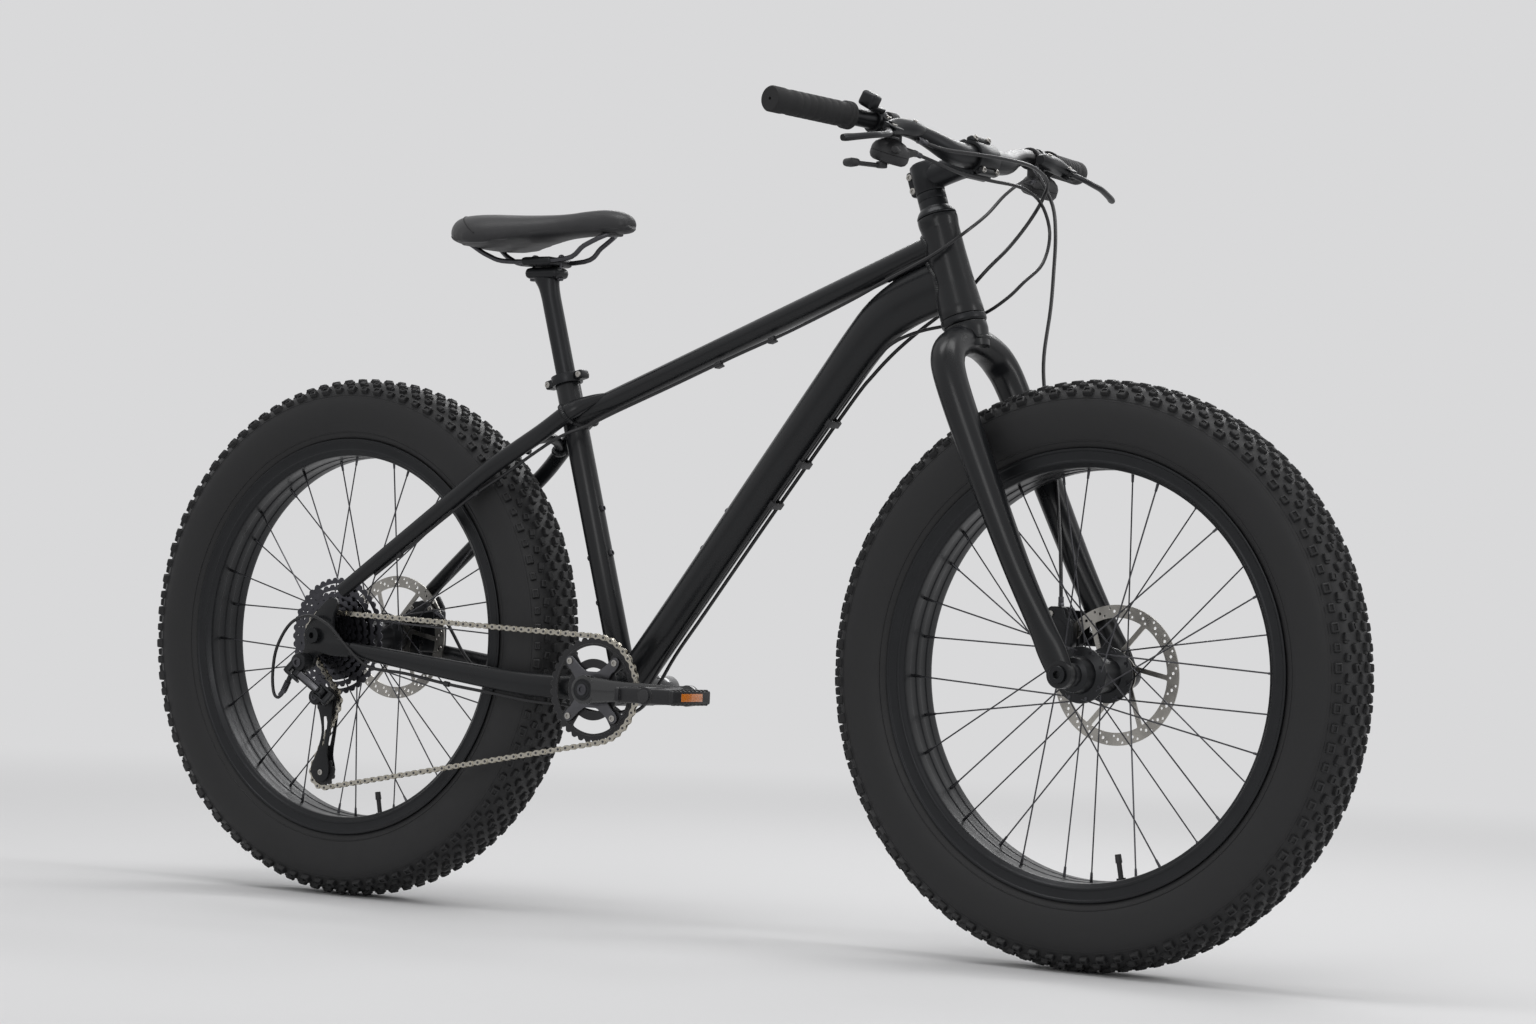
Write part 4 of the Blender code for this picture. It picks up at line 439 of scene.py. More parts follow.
def loft(rows, sides=32, spans=4, reference=LEFTWARD, cope=None, loops=None, sink=0.0015):
    """A tube through oval sections (x, y, z, half height, half width).

    A cope, (point, axis, radius), ends the tube on a cylinder; its seam line joins loops."""
    rows = smoothed(rows, spans)
    path = [Vector(row[:3]) for row in rows]
    places = [section_place(path, index, row[3], row[4], reference) for index, row in enumerate(rows)]
    shape = bmesh.new()
    verts = bmesh.ops.create_circle(shape, cap_ends=True, radius=1.0, segments=sides,
        matrix=places[0][0])["verts"]
    edges = list(dict.fromkeys(edge for vert in verts for edge in vert.link_edges))
    for (before, _), (place, ahead) in zip(places, places[1:]):
        step = place @ before.inverted()
        if cope and min(entry(step @ vert.co, ahead, cope) for vert in verts) < 0.001:
            verts, edges = grown(shape, edges)
            start, axis, radius = cope
            if loops is not None:
                loops.append([vert.co + ahead * entry(vert.co, ahead, cope) for vert in verts])
            inner = (start, axis, radius - sink)
            for vert in verts:
                vert.co += ahead * entry(vert.co, ahead, inner)
            break
        verts, edges = grown(shape, edges)
        bmesh.ops.transform(shape, matrix=step, verts=verts)
    bmesh.ops.edgeloop_fill(shape, edges=edges)
    bmesh.ops.recalc_face_normals(shape, faces=shape.faces)
    return shape


def verts_in(geom):
    return [item for item in geom if isinstance(item, bmesh.types.BMVert)]


def grown(shape, edges):
    """Extrudes a ring of edges in place; returns the new ring's verts and edges."""
    made = bmesh.ops.extrude_edge_only(shape, edges=edges)["geom"]
    verts = verts_in(made)
    known = set(verts)
    return verts, [item for item in made if isinstance(item, bmesh.types.BMEdge)
        and known.issuperset(item.verts)]


def weld_bead(loop, radius=0.0026, ripple=0.0024):
    """A welded seam along a closed line, with the ripples that the torch leaves."""
    lengths = [(point - loop[index - 1]).length for index, point in enumerate(loop)]
    count = 3 * max(8, round(sum(lengths) / ripple))
    path, sizes = [], []
    index, left = 0, 0.0
    for step in range(count):
        goal = sum(lengths) * step / count
        while left + lengths[(index + 1) % len(loop)] < goal:
            left += lengths[(index + 1) % len(loop)]
            index += 1
        start, end = loop[index % len(loop)], loop[(index + 1) % len(loop)]
        share = (goal - left) / max(lengths[(index + 1) % len(loop)], 1e-9)
        path.append(start.lerp(end, share))
        sizes.append(radius * (1.0, 0.97, 0.9)[step % 3])
    return tube(path, sizes, 2, cyclic=True)


def hex_bolt(radius, height, place, steps):
    """A round bolt head with a hexagonal socket; its seat is at local height zero."""
    head = bmesh.new()
    bmesh.ops.create_circle(head, cap_ends=True, radius=radius, segments=steps)
    up = bmesh.ops.extrude_face_region(head, geom=list(head.faces))["geom"]
    top = [item for item in up if isinstance(item, bmesh.types.BMFace)]
    bmesh.ops.translate(head, vec=(0, 0, height), verts=verts_in(up))
    rim = height * 0.28
    bmesh.ops.bevel(head, geom=list(top[0].edges), offset=rim, segments=2, profile=0.5, affect="EDGES",
        material=-1)
    flat = max(head.faces, key=lambda face: face.calc_center_median().z)
    bmesh.ops.inset_region(head, faces=[flat], thickness=radius * (1 - SOCKET_SHARE) - rim)
    for vert in flat.verts:
        angle = atan2(vert.co.y, vert.co.x)
        sector = (angle + pi / 6) % (pi / 3) - pi / 6
        reach = radius * SOCKET_SHARE * cos(pi / 6) / cos(sector)
        vert.co.x, vert.co.y = polar(reach, angle)
    pit = bmesh.ops.extrude_face_region(head, geom=[flat])["geom"]
    bmesh.ops.translate(head, vec=(0, 0, -height * 0.75), verts=verts_in(pit))
    bmesh.ops.delete(head, geom=[flat], context="FACES_ONLY")
    return placed(head, place)


def polar(radius, angle):
    return radius * cos(angle), radius * sin(angle)


def arc(radius, start, end, steps):
    """Points along an arc about the origin, both ends among them."""
    return [polar(radius, start + (end - start) * step / steps) for step in range(steps + 1)]


def circle(x, y, radius, count):
    return [(x + ahead, y + up) for ahead, up in arc(radius, 0, 2 * pi, count)[:-1]]


def notched(reaches):
    """A round outline of 48 points whose radii repeat."""
    return [polar(reaches[step % len(reaches)], 2 * pi * step / 48) for step in range(48)]


def flipped(profile):
    """A half profile's other half, in the order that continues the outline."""
    return [(radius, -y) for radius, y in reversed(profile)]


def axled(centre):
    """The place of a turned form whose axis runs across the bicycle."""
    return Matrix.Translation(centre) @ ACROSS


def around(centre, radius, angle, y=0.0):
    """A point round a wheel's axis, moved sideways by y."""
    ahead, up = polar(radius, angle)
    return centre + Vector((ahead, y, up))


def spindle(centre, low, high, radius, steps, edge=0.0004):
    """A short rod across the bicycle, between two offsets from its centre."""
    return rod(centre + LEFTWARD * low, centre + LEFTWARD * high, radius, steps, edge)


def bolt(radius, height, spot, heading, steps=20):
    """A bolt head at a spot, facing along the heading."""
    return hex_bolt(radius, height, facing(spot, heading), steps)


def upright(y, centre=Vector()):
    """The place of a plate drawn in (x, z) that stands in the bicycle's own plane."""
    return Matrix.Translation((centre.x, y, centre.z)) @ Matrix.Rotation(radians(90), 4, "X")


def mirrored(vector, side):
    return Vector((vector.x, side * vector.y, vector.z))


def steer_point(down, ahead=0.0, left=0.0):
    """A point from its distance below the head tube's top, its forward offset and its y."""
    return HEAD_TOP + STEER_DOWN * down + STEER_AHEAD * ahead + Vector((0, left, 0))


def add_piece(name, shape, surface, body, sharp=32.0):
    """Makes a shape or a list of them a piece of a body; it stands for the node of its name."""
    mesh = bpy.data.meshes.new(name)
    shape = joined(*shape) if isinstance(shape, list) else shape
    shape.to_mesh(mesh)
    shape.free()
    mesh.shade_smooth()
    mesh.set_sharp_from_angle(angle=radians(sharp))
    mesh.materials.append(bpy.data.materials[surface])
    item = linked(name, mesh)
    if body:
        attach(item, body)
    if name in frame["nodes"]:
        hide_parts(name)
    return item


def measure(name, description, default, low, high):
    """A length that the panel shows."""
    return bpy.props.FloatProperty(name=name, description=description, default=default, min=low, max=high,
        unit="LENGTH")


def tone(name, description, colour):
    """A colour that the panel shows."""
    return bpy.props.FloatVectorProperty(name=name, description=description, subtype="COLOR", size=3,
        min=0, max=1, default=srgb(colour))


def power(name, description, default):
    """A lamp's power that the panel shows."""
    return bpy.props.FloatProperty(name=name, description=description, default=default, min=0, max=2000,
        unit="POWER")


class BicycleSizes(bpy.types.PropertyGroup):
    """Sizes of the bicycle's pieces that can change without moving a joint."""

    knob_height: measure("Knob height", "How far the tread knobs stand off the tyre's casing", 0.0049,
        0.002, 0.0055)
    knob_pitches: bpy.props.IntProperty(name="Knob pitches",
        description="Groups of knobs round each tyre", default=92, min=40, max=120)
    spoke_thickness: measure("Spoke thickness", "Diameter of the spokes", 0.0021, 0.0015, 0.003)
    weld_radius: measure("Weld radius", "Half the width of the frame's weld beads", 0.004, 0.0015, 0.006)
    hose_radius: measure("Hose radius", "Half the thickness of the brake hoses", 0.0025, 0.002, 0.003)
    grip_ribs: bpy.props.IntProperty(name="Grip ribs", description="Raised pads along each grip",
        default=7, min=3, max=12)


class BicycleColours(bpy.types.PropertyGroup):
    """Colours of the bicycle's finishes."""

    frame: tone("Frame coat", "Satin powder coat of the frame and fork", "151618")
    metal: tone("Anodised metal", "Black anodising of the bar, rims and hubs", "1c1d1f")
    rubber: tone("Tyre rubber", "Tread and sidewall", "1b1b1c")
    steel: tone("Disc steel", "Stainless steel of the brake discs", "b4b1ab")
    cogs: tone("Cog steel", "Dark steel of the cassette", "55555a")
    chain: tone("Chain nickel", "Nickel plate of the chain", "c9c4b8")
    saddle: tone("Saddle cover", "Synthetic cover of the saddle", "1d1d1f")
    grip: tone("Grip rubber", "Rubber of the grips", "1a1a1b")
    reflector: tone("Pedal reflector", "Amber plastic of the pedal reflectors", "c9701a")
    floor: tone("Floor", "Pale studio floor", "d9d9da")


class BicycleStage(bpy.types.PropertyGroup):
    """The studio's camera and light."""

    lens: bpy.props.FloatProperty(name="Lens", description="The camera's focal length",
        default=CAMERA_LENS, min=20, max=200, unit="CAMERA")
    key_power: power("Key light", "Power of the large overhead lamp", 38.0)
    side_power: power("Side light", "Power of the lamp beside the bicycle", 16.0)


def make_finishes():
    colours = bpy.context.scene.bicycle_colours
    # Satin powder coat over aluminium: a soft wide highlight with a very fine orange peel
    coated(COAT, (colours.frame, paler(colours.frame, 1.22)), (0.25, 0.34), 2.4, 0.02,
        **{"Specular IOR Level": 0.3, "Coat Weight": 0.06, "Coat Roughness": 0.14})
    # Black anodised aluminium: a metal that shows through its dark skin, finely blasted
    coated(ANODISED, (colours.metal, paler(colours.metal, 1.5)), (0.3, 0.42), 1.1, 0.03, 30.0,
        **{"Metallic": 0.55})
    # Grey anodising of the spider: the same skin over brighter metal
    coated(SPIDER_METAL, (srgb("505053"), srgb("636366")), (0.26, 0.38), 1.1, 0.03, 30.0,
        **{"Metallic": 0.95})
    # Gloss black lacquer on the crank arms: a clear coat gives a sharp bright edge
    coated(LACQUER, (paler(colours.metal, 0.55), paler(colours.metal, 0.8)), (0.22, 0.3), 3.0, 0.02, 40.0,
        **{"Metallic": 0.3, "Coat Weight": 0.8, "Coat Roughness": 0.07})
    # Vulcanised tyre rubber: dull, greyer where the mould's film and dust lie
    coated(RUBBER, (colours.rubber, paler(colours.rubber, 1.55)), (0.46, 0.62), 1.3, 0.06, 34.0,
        **{"Specular IOR Level": 0.36})
    # Ground stainless steel of the brake discs: rings left by the grinding, drawn 1.2 mm apart
    # because the real ones are too fine to show
    for name, centre in (("front_disc_steel", FRONT_AXLE), ("rear_disc_steel", REAR_AXLE)):
        machined(name, centre, (colours.steel, paler(colours.steel, 0.82)), (0.26, 0.4), 1.2)
    # Phosphated cog steel: dark, a little oily, with turned faces
    machined(COG_STEEL, REAR_AXLE, (colours.cogs, paler(colours.cogs, 0.55)), (0.28, 0.45), 1.5)
    # Nickel plated chain: pale and bright, with grey oil in patches
    coated(CHAIN_NICKEL, (colours.chain, paler(colours.chain, 0.62)), (0.2, 0.36), 0.9, 0.02, 9.0,
        **{"Metallic": 1.0})
    # Pebbled synthetic saddle cover: a fine embossed grain with a soft sheen, drawn 1.6 mm
    # across because the real grain is too fine to show
    pebbled(COVER, (colours.saddle, paler(colours.saddle, 1.3)), (0.44, 0.56), 1.6, 0.1,
        **{"Sheen Weight": 0.08, "Sheen Roughness": 0.45})
    # Soft grip rubber: matt with a small raised texture
    pebbled(GRIP_RUBBER, (colours.grip, paler(colours.grip, 1.4)), (0.66, 0.82), 1.4, 0.14,
        **{"Specular IOR Level": 0.4})
    # Extruded hose jacket: smooth polyamide with a low gloss
    coated(JACKET, (srgb("121214"), srgb("18181b")), (0.26, 0.36), 6.0, 0.01)
    # Glass filled nylon of the shifters, pedals and pulleys: matt with a spark eroded texture
    coated(NYLON, (srgb("1b1b1d"), srgb("29292b")), (0.48, 0.62), 0.8, 0.05, 25.0)
    # Zinc and chrome plated fasteners: small bright spots
    coated(DARK_STEEL, (srgb("3d3d40"), srgb("5a5a5e")), (0.25, 0.4), 0.7, 0.02, 12.0,
        **{"Metallic": 0.9})
    coated(PLATED, (srgb("9d9b98"), srgb("bbb8b2")), (0.22, 0.34), 0.7, 0.02, 12.0, **{"Metallic": 1.0})
    # Amber reflector: clear tinted acrylic over small prisms, drawn 2.5 mm across
    pebbled(REFLECTOR, (colours.reflector, paler(colours.reflector, 1.3)), (0.1, 0.2), 2.5, 0.5,
        **{"Coat Weight": 1.0, "Coat Roughness": 0.05})
    # Painted alloy of pedals and ring, rubbed to bare metal along its edges
    edge_worn(WORN_ALLOY, (srgb("1e1e20"), srgb("2c2c2e")), srgb("8f8e8c"), (0.34, 0.46), 1.0,
        **{"Metallic": 0.35})


def stick(start, end, radius, end_radius=None, steps=8):
    """A plain round bar between two points, tapered if a second radius is given."""
    shape = bmesh.new()
    length = (end - start).length
    bmesh.ops.create_cone(shape, cap_ends=True, segments=steps, radius1=radius,
        radius2=end_radius or radius, depth=length)
    bmesh.ops.transform(shape, matrix=facing((start + end) / 2, end - start), verts=shape.verts)
    return shape


def casing_point(turn):
    """(radius, y) on the tyre's round casing, from the crown at 0 to its widest at 1."""
    angle = turn * pi / 2
    return (0.327 + 0.042 * cos(angle) ** 0.77, TYRE_HALF_WIDTH * sin(angle) ** 0.77)


def casing_radius(y):
    share = min(abs(y) / TYRE_HALF_WIDTH, 0.995)
    return 0.327 + 0.042 * (1 - share ** 2.6) ** (1 / 2.6)


def casing_place(angle, y):
    """A place on the casing: X round the tyre, Y across it and Z outwards."""
    slope = (casing_radius(y + 0.0006) - casing_radius(y - 0.0006)) / 0.0012
    tilt = atan(-slope)
    outward = around(Vector(), 1, angle)
    along = Vector((sin(angle), 0, -cos(angle)))
    normal = outward * cos(tilt) + LEFTWARD * sin(tilt)
    across = LEFTWARD * cos(tilt) - outward * sin(tilt)
    return Matrix.Translation(outward * casing_radius(y) + LEFTWARD * y) @ axes(along, across, normal)


KNOB_TAPER = 0.84               # of a knob's foot, at its top
KNOB_SINK = 0.0014              # how deep its foot goes into the casing


def knob(long, wide, high, at=(0.0, 0.0), dimple=0.0):
    """A moulded tread knob with a narrower top, which may be dished; its foot is sunk in."""
    shape = bmesh.new()
    bmesh.ops.create_cube(shape, size=1.0)
    bmesh.ops.scale(shape, vec=(long, wide, high + KNOB_SINK), verts=shape.verts)
    bmesh.ops.translate(shape, vec=(0, 0, (high - KNOB_SINK) / 2), verts=shape.verts)
    top = [vert for vert in shape.verts if vert.co.z > 0]
    bmesh.ops.scale(shape, vec=(KNOB_TAPER, KNOB_TAPER, 1), verts=top)
    edges = [edge for edge in shape.edges if max(vert.co.z for vert in edge.verts) > 0]
    bmesh.ops.bevel(shape, geom=edges, offset=0.0009, segments=1, profile=0.5, affect="EDGES",
        material=-1)
    if dimple:
        crown = max(shape.faces, key=lambda face: face.calc_center_median().z)
        bmesh.ops.inset_region(shape, faces=[crown], thickness=wide * 0.16)
        bmesh.ops.inset_region(shape, faces=[crown], thickness=0.0004, depth=-dimple)
    bmesh.ops.translate(shape, vec=(*at, 0), verts=shape.verts)
    return shape


def tread_rows(high):
    """Each row of knobs: y, place in the pitch, turn, and its shapes on even and odd pitches."""
    def stepped(long, wide, lean=1):
        return joined(knob(long, wide, high), knob(long * 0.42, wide * 0.8, high * 0.55,
            (lean * long * 0.52, 0)))
    return [(0.0078, 0.0, -12, stepped(0.0118, 0.0088), stepped(0.0108, 0.008, -1)),
        (0.02, 0.5, 14, knob(0.012, 0.0082, high, dimple=0.0012), stepped(0.0104, 0.0084, -1)),
        (0.0316, 0.02, -10, stepped(0.0112, 0.0082, -1), knob(0.0108, 0.0088, high, dimple=0.0012)),
        (0.0417, 0.52, 0, knob(0.014, 0.0108, high * 1.25, dimple=0.0018),
        knob(0.0118, 0.009, high * 1.15, dimple=0.0014))]


def make_tyre(node, centre, body):
    """The casing with its moulded lines, and four rows of knobs on each side."""
    sizes = bpy.context.scene.bicycle_sizes
    half = [casing_point(step / 14) for step in range(15)]
    half += [(0.316, 0.0488), (0.3055, 0.047), (0.297, 0.044), (0.2915, 0.041), (0.2872, 0.0388),
        (0.285, 0.0369), (0.2702, 0.0354)]
    inner = [(0.2702, 0.0318), (0.29, 0.035), (0.316, 0.044), (0.34, 0.042), (0.36, 0.025)]
    outline = half + inner + [(0.364, 0.0)] + flipped(inner) + flipped(half[1:])
    place = axled(centre)
    lines = ((0.3478, 0.0458, 0.0007), (0.3445, 0.0468, 0.0005), (0.2945, 0.0427, 0.0009))
    parts = [turned(outline, 144, place)]
    parts += [turned(circle(radius, side * y, size, 6), 144, place) for side in (-1, 1)
        for radius, y, size in lines]
    add_piece(node, parts, RUBBER, body)

    pitches = sizes.knob_pitches
    knobs = []
    for y, phase, turn, even, odd in tread_rows(sizes.knob_height):
        lean = Matrix.Rotation(radians(turn), 4, "Z")
        for which, shape in enumerate((even, odd)):
            places = []
            for step in range(which, pitches, 2):
                for side, shift, flip in ((-1, 0.5, Matrix.Rotation(pi, 4, "Z")), (1, 0, Matrix())):
                    angle = 2 * pi * (step + phase + shift) / pitches
                    places.append(Matrix.Translation(centre) @ casing_place(angle, side * y) @ flip
                        @ lean)
            knobs.append(copies(shape, places))
    add_piece(node + "_tread", knobs, RUBBER, body, sharp=28)


def make_rim(node, centre, body):
    """A wide single wall rim: rolled flanges, a shallow centre channel and a valve."""
    half = [(0.2855, 0.0376), (0.2855, 0.0402), (0.2842, 0.041), (0.2822, 0.0408), (0.2812, 0.0394),
        (0.2706, 0.0384), (0.2692, 0.0394), (0.2672, 0.0392), (0.2656, 0.0374), (0.2612, 0.0345),
        (0.2605, 0.031), (0.2605, 0.019), (0.2616, 0.0178), (0.2616, 0.006), (0.2605, 0.005)]
    inner = [(0.2665, 0.01), (0.2665, 0.0362)]
    rim = turned(rounded(half + flipped(half) + flipped(inner) + inner, 0.0009, 2), 144, axled(centre))
    add_piece(node, rim, ANODISED, body)

    angle = radians(-79)
    rows = ((0, 0.004, 0.006, 0.006), (0, 0.024, 0.0033, 0.0033), (0.023, 0.034, 0.0044, 0.004))
    valve = [stick(around(centre, 0.2612 - low, angle), around(centre, 0.2612 - high, angle), radius,
        end_radius, 12) for low, high, radius, end_radius in rows]
    add_piece(node + "_valve", valve, NYLON, body)


def make_spokes(label, centre, flanges, body):
    """Laced spokes with heads at the flanges and nipples at the rim."""
    radius = bpy.context.scene.bicycle_sizes.spoke_thickness / 2
    spokes, nipples = [], []
    for flange, (flange_y, flange_radius) in enumerate(flanges):
        for index in range(SPOKE_COUNT // 2):
            angle = 2 * pi * (2 * index + flange + 0.25) / SPOKE_COUNT
            sign = 1 if index % 2 == 0 else -1
            out = LEFTWARD * sign
            start = around(centre, flange_radius - 0.0045, angle + sign * SPOKE_CROSSING,
                flange_y + sign * 0.003)
            end = around(centre, 0.2603, angle, copysign(0.012, flange_y) + sign * 0.0012)
            along = (end - start).normalized()
            head = start - out * 0.0062
            spokes += [stick(start, end - along * 0.01, radius, steps=6),
                stick(start + out * 0.0006, head, radius * 1.1, steps=6),
                stick(head, head - out * 0.001, radius * 2.0)]
            nipples.append(stick(end + along * 0.001, end - along * 0.0125, 0.0021, 0.0016))
    add_piece(label + "_spokes", spokes, DARK_STEEL, body, sharp=40)
    add_piece(label + "_spoke_nipples", nipples, DARK_STEEL, body, sharp=40)


FRONT_HUB = [(0.0078, 0.0747), (0.0145, 0.0747), (0.0145, 0.0568), (0.022, 0.0568), (0.022, 0.038),
    (0.036, 0.0374), (0.036, 0.0326), (0.023, 0.029), (0.023, -0.029), (0.036, -0.0326), (0.036, -0.0374),
    (0.024, -0.04), (0.022, -0.058), (0.015, -0.06), (0.015, -0.0747), (0.0078, -0.0747)]
REAR_HUB = [(0.0063, 0.0947), (0.0145, 0.0947), (0.0145, 0.0783), (0.022, 0.0783), (0.022, 0.058),
    (0.035, 0.0554), (0.035, 0.0506), (0.023, 0.047), (0.023, -0.038), (0.035, -0.0406), (0.035, -0.0454),
    (0.024, -0.048), (0.0063, -0.0485)]


def make_hub(node, centre, profile, body):
    add_piece(node, turned(rounded(profile, 0.0012, 2), 48, axled(centre)), ANODISED, body)


def make_disc_rotor(node, centre, middle_y, surface, body):
    """A brake disc: drilled band, swept arms, and its six bolts."""
    holes = [circle(0, 0, 0.017, 32)]
    for arm in range(6):
        start, end = radians(60 * arm + 2.6), radians(60 * arm + 57.4)
        window = arc(0.0735, start, end, 9) + arc(0.0285, end + radians(15), start + radians(25), 3)
        holes.append(rounded(window, 0.002, 2))
    for group in range(24):
        for step, (radius, size) in enumerate(((0.0775, 0.0017), (0.0818, 0.0021), (0.0862, 0.0017))):
            holes.append(circle(*polar(radius, 2 * pi * (group + 0.28 * step) / 24), size, 10))
    rotor = plate([circle(0, 0, ROTOR_RADIUS, 96)] + holes, ROTOR_THICKNESS, upright(middle_y, centre))
    add_piece(node, rotor, surface, body)
    spots = [around(centre, 0.0222, radians(60 * step), middle_y + ROTOR_THICKNESS / 2)
        for step in range(6)]
    add_piece(node + "_bolts", [hex_bolt(0.004, 0.0022, axled(spot), 16) for spot in spots], PLATED, body)


def clipped(shape, point, normal):
    """Cuts away what lies beyond a plane and closes the cut."""
    everything = list(shape.verts) + list(shape.edges) + list(shape.faces)
    bmesh.ops.bisect_plane(shape, geom=everything, dist=1e-6, plane_co=point, plane_no=normal,
        clear_outer=True)
    bmesh.ops.holes_fill(shape, edges=[edge for edge in shape.edges if edge.is_boundary])
    bmesh.ops.recalc_face_normals(shape, faces=shape.faces)
    return shape


def spanned(rows, middle, first_cope, last_cope, loops, last_sink=0.0015):
    """A tube coped at both ends: two lofts that leave the same middle section."""
    whole = joined(loft(rows[middle::-1], cope=first_cope, loops=loops),
        loft(rows[middle:], cope=last_cope, loops=loops, sink=last_sink))
    bmesh.ops.remove_doubles(whole, verts=whole.verts, dist=1e-5)
    inside = [face for face in whole.faces if len(face.verts) > 8 and all(len(edge.link_faces) > 2
        for edge in face.edges)]
    bmesh.ops.delete(whole, geom=inside, context="FACES_ONLY")
    bmesh.ops.recalc_face_normals(whole, faces=whole.faces)
    return whole


def laid(place, outline):
    """A flat outline's points, laid in a place."""
    return [place @ Vector((x, y, 0)) for x, y in outline]


def seam(start, heading, radius, cope):
    """The line where a round tube meets a cylinder."""
    points = laid(facing(start, heading), circle(0, 0, radius, 40))
    return [point + heading * entry(point, heading, cope) for point in points]


TOP_TUBE = [(-0.225, 0, 0.6948, 0.016, 0.018), (-0.112, 0, 0.7398, 0.0154, 0.0183),
    (0.0, 0, 0.7848, 0.015, 0.0185), (0.2, 0, 0.8647, 0.0155, 0.019), (0.355, 0, 0.9267, 0.0165, 0.02)]
DOWN_TUBE = [(-0.125, 0, 0.32, 0.0245, 0.0245), (-0.0276, 0, 0.4469, 0.0248, 0.0245),
    (0.0777, 0, 0.5853, 0.0262, 0.025), (0.1933, 0, 0.7357, 0.0285, 0.025),
    (0.24, 0, 0.7955, 0.03, 0.0245), (0.27, 0, 0.827, 0.0325, 0.024), (0.305, 0, 0.85, 0.0345, 0.0235),
    (0.345, 0, 0.867, 0.0355, 0.023), (0.38, 0, 0.879, 0.0355, 0.0225)]
CHAINSTAY = [(-0.133, 0.0395, 0.322, 0.0155, 0.0085), (-0.149, 0.043, 0.3215, 0.016, 0.0085),
    (-0.175, 0.049, 0.3205, 0.0168, 0.009), (-0.205, 0.058, 0.3205, 0.0168, 0.0092),
    (-0.25, 0.0665, 0.3225, 0.0162, 0.0095), (-0.3, 0.0708, 0.327, 0.0155, 0.0095),
    (-0.38, 0.077, 0.336, 0.014, 0.0092), (-0.465, 0.0865, 0.347, 0.0122, 0.009),
    (-0.54, 0.0975, 0.3562, 0.0105, 0.008)]
SEATSTAY = [(-0.213, 0.0215, 0.708, 0.0118, 0.009), (-0.228, 0.0285, 0.6975, 0.0125, 0.0095),
    (-0.262, 0.037, 0.6715, 0.0125, 0.0092), (-0.3, 0.053, 0.642, 0.0122, 0.0092),
    (-0.335, 0.0645, 0.615, 0.0118, 0.0092), (-0.4, 0.0735, 0.565, 0.0115, 0.0092),
    (-0.5, 0.087, 0.488, 0.0108, 0.0088), (-0.564, 0.0965, 0.4385, 0.01, 0.008)]


def dropout_outline(with_hanger):
    """The dropout plate's edge as (x, z) from the rear axle."""
    edge = [(0.033, 0.0565), (0.02, 0.052), (0.002, 0.035), (-0.012, 0.018), (-0.0195, 0.006),
        (-0.02, -0.006), (-0.0175, -0.015)]
    if with_hanger:
        edge += [(-0.023, -0.03), (-0.0225, -0.043), (-0.013, -0.05), (-0.003, -0.045), (0.002, -0.032),
            (0.012, -0.024)]
    else:
        edge += [(-0.008, -0.0205), (0.006, -0.0225)]
    return edge + [(0.03, -0.0275), (0.0645, -0.0285), (0.0645, -0.0085), (0.048, -0.006), (0.036, 0.002),
        (0.031, 0.014), (0.032, 0.03), (0.0405, 0.046)]


def sided(rows, side):
    return [(row[0], side * row[1], *row[2:]) for row in rows]


def make_main_tubes():
    """Head, top, down and seat tubes and the bracket shell; returns the lines to weld."""
    loops = []
    head_cope = (HEAD_TOP, STEER_DOWN, 0.0262)
    seat_cope = (BRACKET, SEAT_UP, SEAT_TUBE_RADIUS)
    profile = [(0.0195, 0), (0.0266, 0), (0.0266, -0.008), (0.0254, -0.016), (0.0256, -0.05),
        (0.027, -0.095), (0.029, -0.126), (0.0295, -0.13), (0.0295, -0.14), (0.0195, -0.14)]
    add_piece("head_tube", turned(rounded(profile, 0.0022, 3), 48, ALONG_STEERER), COAT, "frame")
    add_piece("top_tube", spanned(TOP_TUBE, 2, seat_cope, (HEAD_TOP, STEER_DOWN, 0.0246), loops), COAT,
        "frame")
    add_piece("down_tube", spanned(DOWN_TUBE, 2, SHELL_COPE, head_cope, loops, 0.003), COAT, "frame")
    profile = [(0.014, 0.45), (SEAT_TUBE_RADIUS, 0.45), (SEAT_TUBE_RADIUS, 0.0215), (0.014, 0.0215)]
    add_piece("seat_tube", turned(rounded(profile, 0.0006, 2), 40, ALONG_SEAT), COAT, "frame")
    loops.append(seam(BRACKET + SEAT_UP * 0.06, -SEAT_UP, SEAT_TUBE_RADIUS, SHELL_COPE))
    profile = [(0.0153, 0.05), (BRACKET_RADIUS, 0.05), (BRACKET_RADIUS, -0.05), (0.0153, -0.05)]
    shell = turned(rounded(profile, 0.001, 2), 48, axled(BRACKET))
    yoke = block((0.052, 0.062, 0.018), BRACKET + Vector((-0.045, 0, 0.002)), bevel=0.006)
    cups = [plate([notched((0.0212, 0.0224, 0.0224)), circle(0, 0, 0.0153, 32)], 0.0087,
        upright(side * 0.05465, BRACKET), 0.0004) for side in (-1, 1)]
    add_piece("bottom_bracket_shell", [shell, yoke], COAT, "frame")
    add_piece("bottom_bracket_cups", cups, ANODISED, "frame")
    return loops


